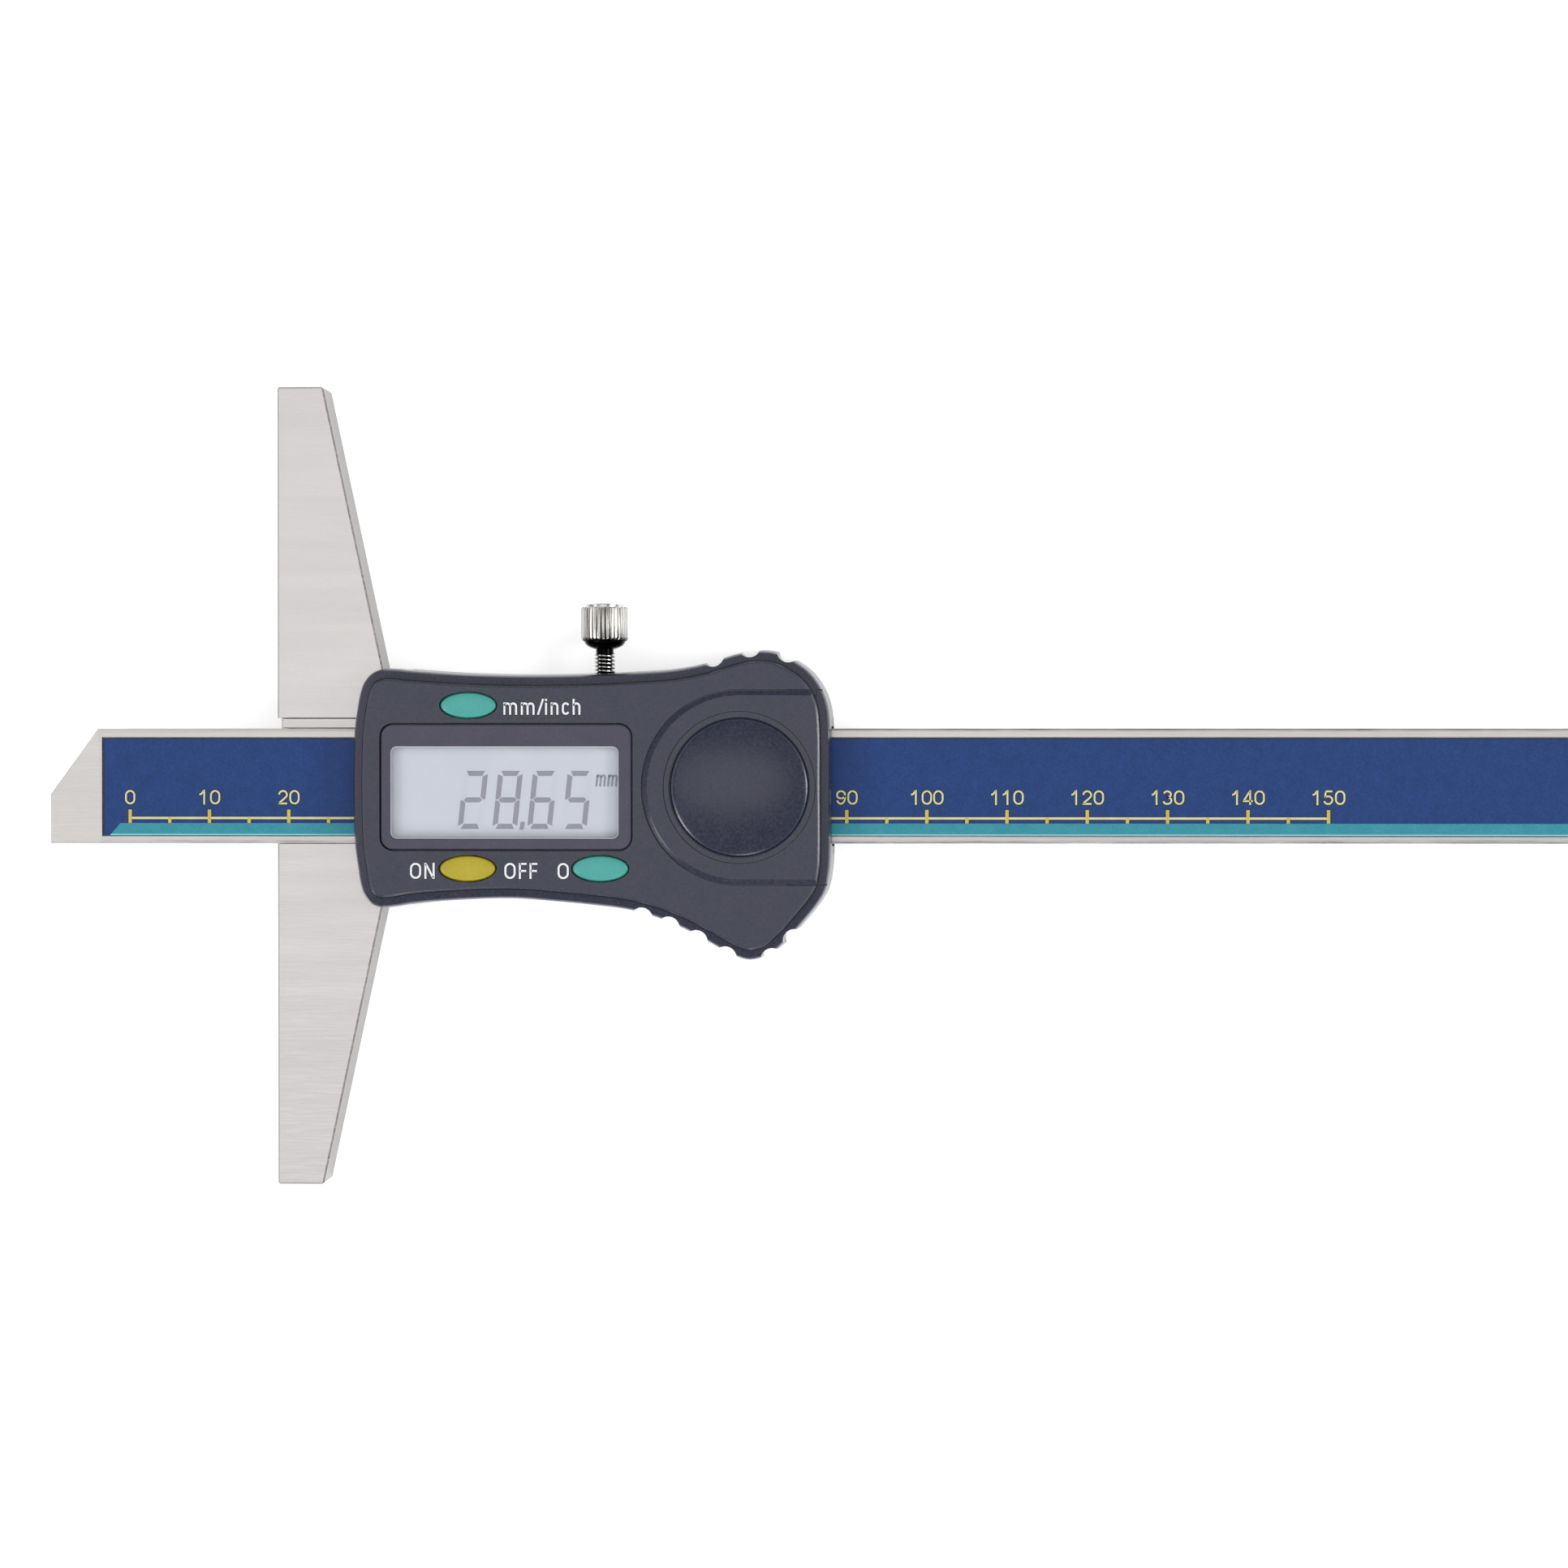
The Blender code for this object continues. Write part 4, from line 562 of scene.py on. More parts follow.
def ribbon(points: Outline, width: float, longer: float = 0.0) -> Outline:
    """The outline of a stroke with an even width and square ends.

    Args:
        points: the stroke's middle line.
        width: its width.
        longer: how far each end moves outwards.

    Returns:
        The outline.
    """
    line = [Vector(point) for point in points]
    left = []
    right = []
    for index, point in enumerate(line):
        towards = (line[index + 1] - point).normalized() if index + 1 < len(line) else None
        since = (point - line[index - 1]).normalized() if index else towards
        towards = towards or since
        along = (since + towards).normalized()
        if index == 0:
            point = point - along * longer
        elif index + 1 == len(line):
            point = point + along * longer
        side = Vector((-along.y, along.x)) * (width / 2 / max(along.dot(towards), MITRE))
        left.append((point.x + side.x, point.y + side.y))
        right.append((point.x - side.x, point.y - side.y))
    return left + right[::-1]


@dataclass(frozen=True)
class Glyph:
    """A letter one unit high: the room that it takes, and its strokes' middle lines."""

    advance: float
    strokes: tuple[Outline, ...]


FIGURE = 0.776  # The room that every figure takes.
ROUND_STEM = arc((0.246, 0.52), (0.182, 0.19), 165, 0)
GLYPHS: dict[str, Glyph] = {
    "0": Glyph(FIGURE, loop((0.388, 0.5), (0.287, 0.425), 0.12)),
    "1": Glyph(FIGURE, ([(0.42, 0.0), (0.42, 1.0)], [(0.10, 0.68), (0.25, 0.74), (0.37, 0.94)])),
    "2": Glyph(
        FIGURE,
        (
            arc((0.385, 0.67), (0.265, 0.255), 178, -25) + [(0.42, 0.36), (0.2, 0.19), (0.13, 0.08)],
            [(0.07, 0.075), (0.67, 0.075)],
        ),
    ),
    "3": Glyph(
        FIGURE, (arc((0.37, 0.725), (0.235, 0.20), 165, -95), arc((0.37, 0.30), (0.275, 0.225), 95, -168))
    ),
    "4": Glyph(
        FIGURE, ([(0.5, 0.92), (0.11, 0.3)], [(0.05, 0.27), (0.71, 0.27)], [(0.53, 0.0), (0.53, 1.0)])
    ),
    "5": Glyph(
        FIGURE,
        (
            [(0.19, 0.925), (0.64, 0.925)], [(0.2, 0.9), (0.14, 0.47)],
            arc((0.365, 0.335), (0.275, 0.26), 145, -165),
        ),
    ),
    "6": Glyph(FIGURE, (*loop((0.39, 0.32), (0.27, 0.245)), arc((0.4, 0.5), (0.28, 0.425), 28, 200))),
    "7": Glyph(
        FIGURE, ([(0.08, 0.925), (0.67, 0.925)], [(0.63, 0.87), (0.45, 0.56), (0.34, 0.28), (0.29, 0.0)])
    ),
    "8": Glyph(FIGURE, (*loop((0.388, 0.73), (0.225, 0.195)), *loop((0.388, 0.295), (0.275, 0.22)))),
    "9": Glyph(FIGURE, (*loop((0.386, 0.68), (0.27, 0.245)), arc((0.376, 0.5), (0.28, 0.425), 208, 380))),
    "/": Glyph(0.43, ([(-0.02, 0.0), (0.31, 1.0)],)),
    "F": Glyph(
        0.667, ([(0.063, 0.0), (0.063, 1.0)], [(0.06, 0.938), (0.49, 0.938)], [(0.06, 0.5), (0.46, 0.5)])
    ),
    "N": Glyph(
        0.85, ([(0.063, 0.0), (0.063, 1.0)], [(0.09, 0.94), (0.55, 0.06)], [(0.577, 0.0), (0.577, 1.0)])
    ),
    "O": Glyph(0.9, loop((0.35, 0.5), (0.287, 0.437), 0.15)),
    "c": Glyph(
        0.678, (arc((0.245, 0.52), (0.18, 0.195), 25, 180) + arc((0.245, 0.255), (0.18, 0.195), 180, 335),)
    ),
    "h": Glyph(0.7, ([(0.064, 0.0), (0.064, 1.0)], ROUND_STEM + [(0.428, 0.0)])),
    "i": Glyph(0.352, ([(0.064, 0.0), (0.064, 0.755)], [(0.064, 0.86), (0.064, 1.0)])),
    "m": Glyph(
        1.1,
        (
            [(0.068, 0.0), (0.068, 0.775)],
            ROUND_STEM + [(0.43, 0.0)],
            [(x + 0.375, y) for x, y in ROUND_STEM] + [(0.805, 0.0)],
        ),
    ),
    "n": Glyph(0.708, ([(0.064, 0.0), (0.064, 0.775)], ROUND_STEM + [(0.428, 0.0)])),
}


@dataclass(frozen=True)
class Writing:
    """A line of stroked letters."""

    text: str
    left: float
    base: float
    height: float
    stroke: float
    squeeze: float = 1.0
    slant: float = 0.0

    def width(self) -> float:
        """The room that the line takes."""
        return sum(GLYPHS[letter].advance for letter in self.text) * self.height * self.squeeze

    def build(self, name: str, low: float, high: float, halo: float = 0.0) -> Piece:
        """Raises the letters as thin plates.

        Args:
            name: the piece's name.
            low: the Z that they stand on.
            high: the Z of their tops.
            halo: how far they reach past their own edge, for the dark line round them.

        Returns:
            The letters as one object.
        """
        plates = []
        pen = self.left
        for letter in self.text:
            for number, stroke in enumerate(GLYPHS[letter].strokes):
                line = [
                    (pen + (x * self.squeeze + y * self.slant) * self.height, self.base + y * self.height)
                    for x, y in stroke
                ]
                outline = ribbon(line, self.stroke + 2 * halo, halo)
                plates.append(raise_plate(f"{name}_{number}", outline, low, high - low))
            pen += GLYPHS[letter].advance * self.height * self.squeeze
        return join(plates, name)


# Finishes


@dataclass(frozen=True)
class Working:
    """How a surface was made: the grain's stretch and its scales per metre."""

    stretch: Place
    fine: float
    coarse: float


class Grain(Enum):
    """The kinds of surface that the gauge has."""

    MOULDED = Working((1, 1, 1), 2800, 300)
    BRUSHED_ALONG = Working((0.07, 1, 1), 3200, 420)
    BRUSHED_UP = Working((1, 0.05, 1), 5000, 500)
    SPECKLED = Working((1, 1, 1), 4000, 500)
    PLAIN = Working((1, 1, 1), 3000, 200)


EDGE_LIGHT_REACH = 0.00012  # How far from an edge its painted light or shade reaches.
FLAT = 0.99  # A face whose normal has at least this much Z is square to it.
NOISE_LOW = 0.3  # Most of a noise lies between these two.
NOISE_HIGH = 0.7


def linear(color: Color) -> tuple[float, float, float, float]:
    """A colour as it shows, from 0 to 255, as Blender's linear values."""
    shares = (value / 255 for value in color)
    return (*((s / 12.92) if s < 0.04045 else ((s + 0.055) / 1.055) ** 2.4 for s in shares), 1.0)


def feed(node: bpy.types.Node, feeds: Feeds) -> None:
    """Gives a node's inputs values, or other nodes' outputs where a source is a socket.

    Args:
        node: the node.
        feeds: what each input gets, by the input's name or number.
    """
    for name, source in feeds.items():
        if isinstance(source, Socket):
            node.id_data.links.new(source, node.inputs[name])
        else:
            node.inputs[name].default_value = source


def add_node(tree: Tree, kind: str, feeds: Feeds | None = None, **values: object) -> bpy.types.Node:
    """Adds a node, sets its plain settings and then feeds its inputs.

    Args:
        tree: where the node goes.
        kind: the node's type.
        feeds: what its inputs get.
        values: settings of the node itself.

    Returns:
        The node.
    """
    node = tree.nodes.new(kind)
    for name, value in values.items():
        setattr(node, name, value)
    feed(node, feeds or {})
    return node


def reckon(tree: Tree, operation: str, *numbers: object) -> Socket:
    """The result of a sum with numbers, each a value or a socket."""
    return add_node(tree, "ShaderNodeMath", dict(enumerate(numbers)), operation=operation).outputs[0]


def agreement(tree: Tree, first: object, second: object) -> Socket:
    """The cosine of the angle between two directions, each a value or a socket."""
    feeds = {0: first, 1: second}
    return add_node(tree, "ShaderNodeVectorMath", feeds, operation="DOT_PRODUCT").outputs["Value"]


def start_group(name: str, takes: dict[str, str], gives: Sequence[str]) -> Group:
    """Starts a node group.

    Args:
        name: the group's name.
        takes: its inputs and what they are, Float or Vector.
        gives: its outputs, which are numbers.

    Returns:
        The group, the node that gives its inputs and the node that takes its outputs.
    """
    tree = bpy.data.node_groups.new(name, "ShaderNodeTree")
    for socket, kind in takes.items():
        tree.interface.new_socket(name=socket, in_out="INPUT", socket_type=f"NodeSocket{kind}")
    for socket in gives:
        tree.interface.new_socket(name=socket, in_out="OUTPUT", socket_type="NodeSocketFloat")
    return tree, add_node(tree, "NodeGroupInput"), add_node(tree, "NodeGroupOutput")


@cache
def surface_group() -> Tree:
    """The node group for a worked surface: a stretched fine grain and a coarse clouding.

    Returns:
        The group, made the first time that it is asked for.
    """
    takes = {"Stretch": "Vector", "Fine Scale": "Float", "Coarse Scale": "Float"}
    tree, outside, result = start_group("worked_surface", takes, ("Height", "Fine", "Coarse"))
    place = add_node(tree, "ShaderNodeTexCoord").outputs["Object"]
    feeds = {0: place, 1: outside.outputs["Stretch"]}
    stretched = add_node(tree, "ShaderNodeVectorMath", feeds, operation="MULTIPLY").outputs[0]
    for name, detail, roughness in (("Fine", 3.0, 0.6), ("Coarse", 4.0, 0.5)):
        feeds = {"Vector": stretched, "Scale": outside.outputs[f"{name} Scale"]}
        feeds |= {"Detail": detail, "Roughness": roughness}
        noise = add_node(tree, "ShaderNodeTexNoise", feeds).outputs[0]
        feeds = {"Value": noise, "From Min": NOISE_LOW, "From Max": NOISE_HIGH}
        feed(result, {name: add_node(tree, "ShaderNodeMapRange", feeds).outputs[0]})
        if name == "Fine":
            feed(result, {"Height": noise})
    return tree


@cache
def edge_group() -> Tree:
    """The node group for painted edge light: a mask that is 1 where the surface turns within a short
    distance.

    Returns:
        The group, made the first time that it is asked for.
    """
    tree, outside, result = start_group("painted_edge_light", {"Gain": "Float"}, ("Mask",))
    rounded = add_node(tree, "ShaderNodeBevel", {"Radius": EDGE_LIGHT_REACH}, samples=6).outputs[0]
    straight = add_node(tree, "ShaderNodeNewGeometry").outputs["Normal"]
    turned = reckon(tree, "SUBTRACT", 1.0, agreement(tree, rounded, straight))
    feeds = {0: turned, 1: outside.outputs["Gain"]}
    mask = add_node(tree, "ShaderNodeMath", feeds, operation="MULTIPLY", use_clamp=True)
    feed(result, {"Mask": mask.outputs[0]})
    return tree


@cache
def side_group() -> Tree:
    """The node group for painted shade on a part's sides: a mask that is 0 on faces square to Z and 1 on what
    stands.

    Returns:
        The group, made the first time that it is asked for.
    """
    tree, outside, result = start_group("painted_side_shade", {"Slope": "Float"}, ("Mask",))
    facing = add_node(tree, "ShaderNodeTexCoord").outputs["Normal"]
    level = reckon(tree, "ABSOLUTE", add_node(tree, "ShaderNodeSeparateXYZ", {0: facing}).outputs["Z"])
    feeds = {"Value": level, "From Min": FLAT, "From Max": outside.outputs["Slope"]}
    feed(result, {"Mask": add_node(tree, "ShaderNodeMapRange", feeds).outputs[0]})
    return tree


@dataclass(frozen=True)
class Finish:
    """One material: its colours, with painted light and shade where it has edge, side or hollow colours, how
    it shines and how its surface was worked.
    """

    name: str
    slot: str
    color: Color
    cloud: Color
    roughness: float
    grain: Grain = Grain.PLAIN
    speck: float = 0.0
    bump: float = 0.000002
    metallic: float = 0.0
    # Painted edge light: a colour mixed in along sharp edges, painted highlight lines on the plastics and
    # painted dark reflection lines on the steels.
    edge: Color | None = None
    edge_gain: float = 3.0
    # Painted shade: the colour of faces that stand, darker than the top, for the dimmer reflection that they
    # show.
    side: Color | None = None
    side_slope: float = 0.6
    alpha: float = 1.0
    specular: float = 0.5
    roughness_spread: float = 0.08
    # Painted shade: a near-black colour mixed in where the hollow-shade attribute says.
    hollow: Color | None = None

    def material(self) -> bpy.types.Material:
        """The material, made the first time that it is asked for."""
        return bpy.data.materials.get(self.name) or self.build()

    def build(self) -> bpy.types.Material:
        """Builds the material's nodes.

        Returns:
            The new material.
        """
        made = bpy.data.materials.new(self.name)
        made.use_nodes = True
        tree = made.node_tree
        working = self.grain.value
        feeds = {"Stretch": working.stretch, "Fine Scale": working.fine, "Coarse Scale": working.coarse}
        surface = add_node(tree, "ShaderNodeGroup", feeds, node_tree=surface_group()).outputs
        color = self.tint(tree, linear(self.color), self.cloud, surface["Coarse"])
        # Painted shade on the standing faces.
        if self.side:
            feeds = {"Slope": self.side_slope}
            sides = add_node(tree, "ShaderNodeGroup", feeds, node_tree=side_group())
            color = self.tint(tree, color, self.side, sides.outputs["Mask"])
        if self.speck:
            share = self.spread(tree, surface["Fine"], 1, self.speck)
            feeds = {"Factor": 1.0, "A": color, "B": share}
            speck = add_node(tree, "ShaderNodeMix", feeds, data_type="RGBA", blend_type="MULTIPLY")
            color = speck.outputs["Result"]
        # Painted shade in the hollows, from a mesh attribute.
        if self.hollow:
            hollows = add_node(tree, "ShaderNodeAttribute", attribute_name=HOLLOW_SHADE_ATTRIBUTE)
            color = self.tint(tree, color, self.hollow, hollows.outputs["Fac"])
        # Painted edge light: the edge colour along sharp edges, lighter on the plastics and darker on the
        # steels.
        if self.edge:
            feeds = {"Gain": self.edge_gain}
            edge_lit = add_node(tree, "ShaderNodeGroup", feeds, node_tree=edge_group())
            color = self.tint(tree, color, self.edge, edge_lit.outputs["Mask"])
        feeds = {"Height": surface["Height"], "Distance": self.bump}
        looks = {
            "Base Color": color,
            "Roughness": self.spread(tree, surface["Fine"], self.roughness, self.roughness_spread),
            "Normal": add_node(tree, "ShaderNodeBump", feeds).outputs[0],
            "Metallic": self.metallic,
            "Alpha": self.alpha,
            "Specular IOR Level": self.specular,
        }
        feed(tree.nodes["Principled BSDF"], looks)
        return made

    def spread(self, tree: Tree, grain: Socket, middle: float, half: float) -> Socket:
        """A number that changes with the fine grain, on both sides of its middle."""
        feeds = {"Value": grain, "To Min": middle - half, "To Max": middle + half}
        return add_node(tree, "ShaderNodeMapRange", feeds).outputs[0]

    def tint(self, tree: Tree, color: object, other: Color, mask: Socket) -> Socket:
        """Mixes another colour in, where a mask says."""
        feeds = {"Factor": mask, "A": color, "B": linear(other)}
        return add_node(tree, "ShaderNodeMix", feeds, data_type="RGBA").outputs["Result"]


# Painted shade: the dark line that the steels' chamfered edges show by reflection, mixed in along their
# edges.
STEEL_EDGE_SHADE = (88, 86, 86)
# The steels' side colours are painted shade on their standing faces.
GROUND_STEEL = Finish(
    "brushed_ground_steel", "ground_steel", (220, 216, 215), (213, 209, 208), 0.34, Grain.BRUSHED_ALONG,
    speck=0.13, bump=0.0000012, metallic=1.0, edge=STEEL_EDGE_SHADE, edge_gain=2.6, side=(148, 145, 143),
)
BAR_STEEL = Finish(
    "brushed_bar_steel", "ground_steel", (217, 214, 212), (208, 205, 202), 0.34, Grain.BRUSHED_ALONG,
    speck=0.12, bump=0.0000012, metallic=1.0, edge=STEEL_EDGE_SHADE, edge_gain=0.8, side=(176, 173, 171),
)
MILLED_STEEL = Finish(
    "milled_frame_steel", "milled_steel", (182, 182, 182), (168, 168, 168), 0.42, Grain.BRUSHED_ALONG,
    speck=0.08, metallic=1.0,
)
GIB_METAL = Finish(
    "brushed_gib", "gib_metal", (224, 220, 219), (217, 213, 211), 0.38, Grain.BRUSHED_ALONG,
    speck=0.1, bump=0.0000012, metallic=1.0, edge=STEEL_EDGE_SHADE, edge_gain=1.0,
)
# Its edge colour paints a darker reflection line along the screws' edges.
SCREW_STEEL = Finish(
    "turned_screw_steel", "screw_steel", (178, 178, 180), (160, 160, 163), 0.3,
    speck=0.06, bump=0.000001, metallic=1.0, edge=(120, 120, 122), edge_gain=0.8,
)
# Its hollow colour is painted shade, near black in the flutes, the thread's root and on the cone.
DARK_NICKEL = Finish(
    "plated_knob", "dark_nickel", (240, 238, 235), (214, 211, 208), 0.27, Grain.BRUSHED_UP,
    speck=0.2, bump=0.000004, metallic=1.0, hollow=(10, 10, 11),
)
BRASS = Finish(
    "lock_pad_brass", "brass", (214, 186, 118), (196, 164, 96), 0.3, speck=0.05, metallic=1.0
)
CELL_STEEL = Finish(
    "cell_plate", "cell_steel", (216, 216, 216), (204, 204, 204), 0.26, speck=0.04, metallic=1.0
)
CONTACT_SPRING = Finish(
    "contact_gilt", "contact_spring", (222, 208, 160), (208, 190, 140), 0.28, speck=0.04, metallic=1.0
)
# The plastics' and buttons' edge colours are painted highlights: light lines along their sharp edges.
HOUSING_PLASTIC = Finish(
    "moulded_housing", "housing_plastic", (37, 42, 61), (44, 44, 64), 0.24, Grain.MOULDED,
    speck=0.33, bump=0.000003, edge=(96, 98, 110), edge_gain=1.2, specular=0.56, roughness_spread=0.04,
)
BEZEL_PLASTIC = Finish(
    "moulded_bezel", "bezel_plastic", (68, 66, 83), (73, 69, 87), 0.46, Grain.MOULDED,
    speck=0.1, bump=0.000003, edge=(112, 110, 124), edge_gain=1.2, specular=0.4,
)
TEAL_BUTTON = Finish(
    "moulded_teal", "button_teal", (67, 159, 150), (74, 163, 155), 0.36, Grain.MOULDED,
    speck=0.06, edge=(150, 218, 206), edge_gain=0.8, specular=0.4,
)
YELLOW_BUTTON = Finish(
    "moulded_yellow", "button_yellow", (171, 156, 34), (177, 162, 42), 0.36, Grain.MOULDED,
    speck=0.06, edge=(222, 212, 118), edge_gain=0.8, specular=0.4,
)
CLEAR_WINDOW = Finish(
    "clear_pane", "window_clear", (238, 242, 248), (232, 238, 246), 0.06,
    bump=0.0000001, alpha=0.08, roughness_spread=0.02,
)
DISPLAY_GREY = Finish(
    "display_glass", "lcd_grey", (193, 196, 206), (190, 193, 204), 0.35, speck=0.02, bump=0.0000002
)
DIGIT_GREY = Finish("display_digit", "lcd_grey", (122, 119, 138), (116, 113, 133), 0.4)
# Painted light: a light lining on the window opening's walls, for their lit faces and the light they throw on
# the panel.
LINER_LIGHT_PAINT = Finish("window_rim_painted_light", "lcd_grey", (188, 188, 200), (182, 182, 196), 0.5)
GHOST_GREY = Finish("display_ghost", "lcd_grey", (190, 193, 203), (187, 190, 201), 0.4)
SCALE_BLUE = Finish(
    "printed_blue", "label_print", (27, 60, 118), (24, 56, 112), 0.42, Grain.SPECKLED,
    speck=0.2, bump=0.0000015, specular=0.25,
)
SCALE_TEAL = Finish(
    "printed_teal", "label_print", (46, 135, 152), (56, 141, 156), 0.42, Grain.SPECKLED,
    speck=0.1, specular=0.25,
)
# Painted highlight: the glint, a thin light strip along the teal stripe's lower edge.
SCALE_GLINT = Finish(
    "painted_glint_cyan", "label_print", (128, 202, 210), (118, 194, 204), 0.42, Grain.SPECKLED, speck=0.06
)
SCALE_CREAM = Finish(
    "printed_cream", "label_print", (210, 207, 158), (200, 195, 144), 0.42, Grain.SPECKLED, speck=0.06
)
SCALE_GOLD = Finish(
    "printed_gold", "label_print", (196, 178, 90), (188, 166, 74), 0.42, Grain.SPECKLED, speck=0.1
)
SCALE_SHADE = Finish(
    "printed_shade", "label_print", (26, 32, 44), (22, 27, 40), 0.5, Grain.SPECKLED, speck=0.1
)
LETTER_WHITE = Finish("printed_white", "label_print", (232, 232, 236), (222, 223, 228), 0.45, Grain.MOULDED)
LETTER_SHADE = Finish("printed_dark", "label_print", (30, 31, 39), (28, 29, 36), 0.55, Grain.MOULDED)
GRATING = Finish("etched_grating", "grating_laminate", (70, 120, 90), (150, 104, 62), 0.4, speck=0.1)
BOARD_GREEN = Finish("lacquered_board", "board_laminate", (34, 110, 66), (28, 98, 58), 0.35, speck=0.12)
CHIP_RESIN = Finish("cast_resin", "chip_resin", (30, 30, 32), (36, 36, 38), 0.55, Grain.MOULDED, speck=0.1)
ZEBRA = Finish("layered_rubber", "zebra_rubber", (214, 150, 164), (60, 60, 64), 0.6, speck=0.1)
SILICONE = Finish("clear_silicone", "silicone", (206, 206, 200), (198, 198, 192), 0.5, speck=0.03)

SMALL_STEEL = ("base_screw", "dowel_pin", "gib_set_screw", "board_screw")
CAD_FINISHES: dict[str, Finish] = {
    "slider_frame": MILLED_STEEL,
    "grating_strip": GRATING,
    "circuit_board": BOARD_GREEN,
    "processor_chip": CHIP_RESIN,
    "crystal_can": CELL_STEEL,
    "battery": CELL_STEEL,
    "battery_contact_back": CONTACT_SPRING,
    "battery_contact_side": CONTACT_SPRING,
    "lock_pad": BRASS,
    **{f"{name}_{number}": SCREW_STEEL for name in SMALL_STEEL for number in (1, 2)},
    **{f"zebra_strip_{number}": ZEBRA for number in (1, 2)},
    **{f"switch_dome_{name}": SILICONE for name in ("units", "power", "zero")},
}


def complete(
    piece: Piece,
    finish: Finish,
    body: str,
    nodes: Sequence[str] = (),
    sharp: float = 30.0,
    weighted: bool = True,
) -> Piece:
    """Gives a piece its material, its shading and its body.

    Args:
        piece: the finished mesh.
        finish: its material.
        body: the CAD body that it moves with.
        nodes: the CAD nodes that it stands for.
        sharp: edges that turn by more than this many degrees stay sharp.
        weighted: whether large faces keep their flat shading.

    Returns:
        The same object.
    """
    piece.data.materials.clear()
    piece.data.materials.append(finish.material())
    activate(piece)
    bpy.ops.object.shade_smooth_by_angle(angle=math.radians(sharp))
    if weighted:
        normals = piece.modifiers.new("normals", "WEIGHTED_NORMAL")
        normals.keep_sharp = True
        bpy.ops.object.modifier_apply(modifier=normals.name)
    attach(piece, body)
    if nodes:
        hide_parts(*nodes)
    LOG.info("%s: %d faces, %s", piece.name, len(piece.data.polygons), finish.name)
    return piece


# The gauge


@dataclass(frozen=True)
class Levels:
    """The heights and edges that the sub-assemblies share."""

    front: float = 0.004
    back: float = -0.004
    bar_back: float = 0.0005
    bar_middle: float = 0.00225
    bar_half: float = 0.0072
    bar_end: float = 0.19935
    tip: float = -0.02865
    slot_floor: float = 0.00045
    slot_low: float = -0.00725
    slot_high: float = 0.00855
    frame_half: float = 0.0120
    frame_end: float = 0.0659
    housing_start: float = 0.0097
    housing_end: float = 0.0697
    face: float = 0.0094
    ceiling: float = 0.0080
    underside: float = 0.0043
    wall_back: float = -0.0002
    lock_x: float = 0.0410


LEVELS = Levels()


@dataclass(frozen=True)
class Bridge:
    """The bridge that stands on the work: ground steel, 100 mm long, with a slot for the bar."""

    length: float = 0.100
    end_width: float = 0.00575
    middle_width: float = 0.0164
    tongue_start: float = 0.0042
    tongue_front: float = -0.0008
    chamfer: float = 0.0002
    gib_start: float = 0.0007
    gib_low: float = 0.00725
    gib_high: float = 0.0085
    gib_chamfer: float = 0.0001
    hole_y: float = 0.0100
    holes: tuple[tuple[str, float, float, float], ...] = (  # Name, X, top and radius
        ("screw_way", 0.0105, 0.0022, 0.0013),
        ("dowel_way", 0.0068, 0.0015, 0.00105),
    )

    def build(self) -> None:
        """Builds the bridge and the gib in its slot."""
        half = self.length / 2
        middle = (self.middle_width, 0)
        outline = [(0, -half), (self.end_width, -half), middle, (self.end_width, half), (0, half)]
        bridge = raise_plate("bridge", outline, LEVELS.back, LEVELS.front - LEVELS.back)
        bevel_where(bridge, every, self.chamfer)
        far = self.middle_width + PAST
        end = (far, LEVELS.slot_high, LEVELS.front + PAST)
        work(bridge, block("slot", (-PAST, LEVELS.slot_low, LEVELS.slot_floor), end))
        side = LEVELS.frame_half + PLAY
        low = LEVELS.back - PAST
        work(bridge, block("rebate", (self.tongue_start, -side, low), (far, side, self.tongue_front)))
        for y in (self.hole_y, -self.hole_y):
            for name, x, top, radius in self.holes:
                work(bridge, post(name, (x, y), low, top, radius))
        complete(bridge, GROUND_STEEL, "slider", ["measuring_base"])
        end = (LEVELS.frame_end - self.gib_start, self.gib_high, LEVELS.front - HAIR)
        gib = block("gib", (self.gib_start, self.gib_low, LEVELS.bar_back), end)
        bevel_where(gib, every, self.gib_chamfer)
        complete(gib, GIB_METAL, "slider", ["gib_strip"])


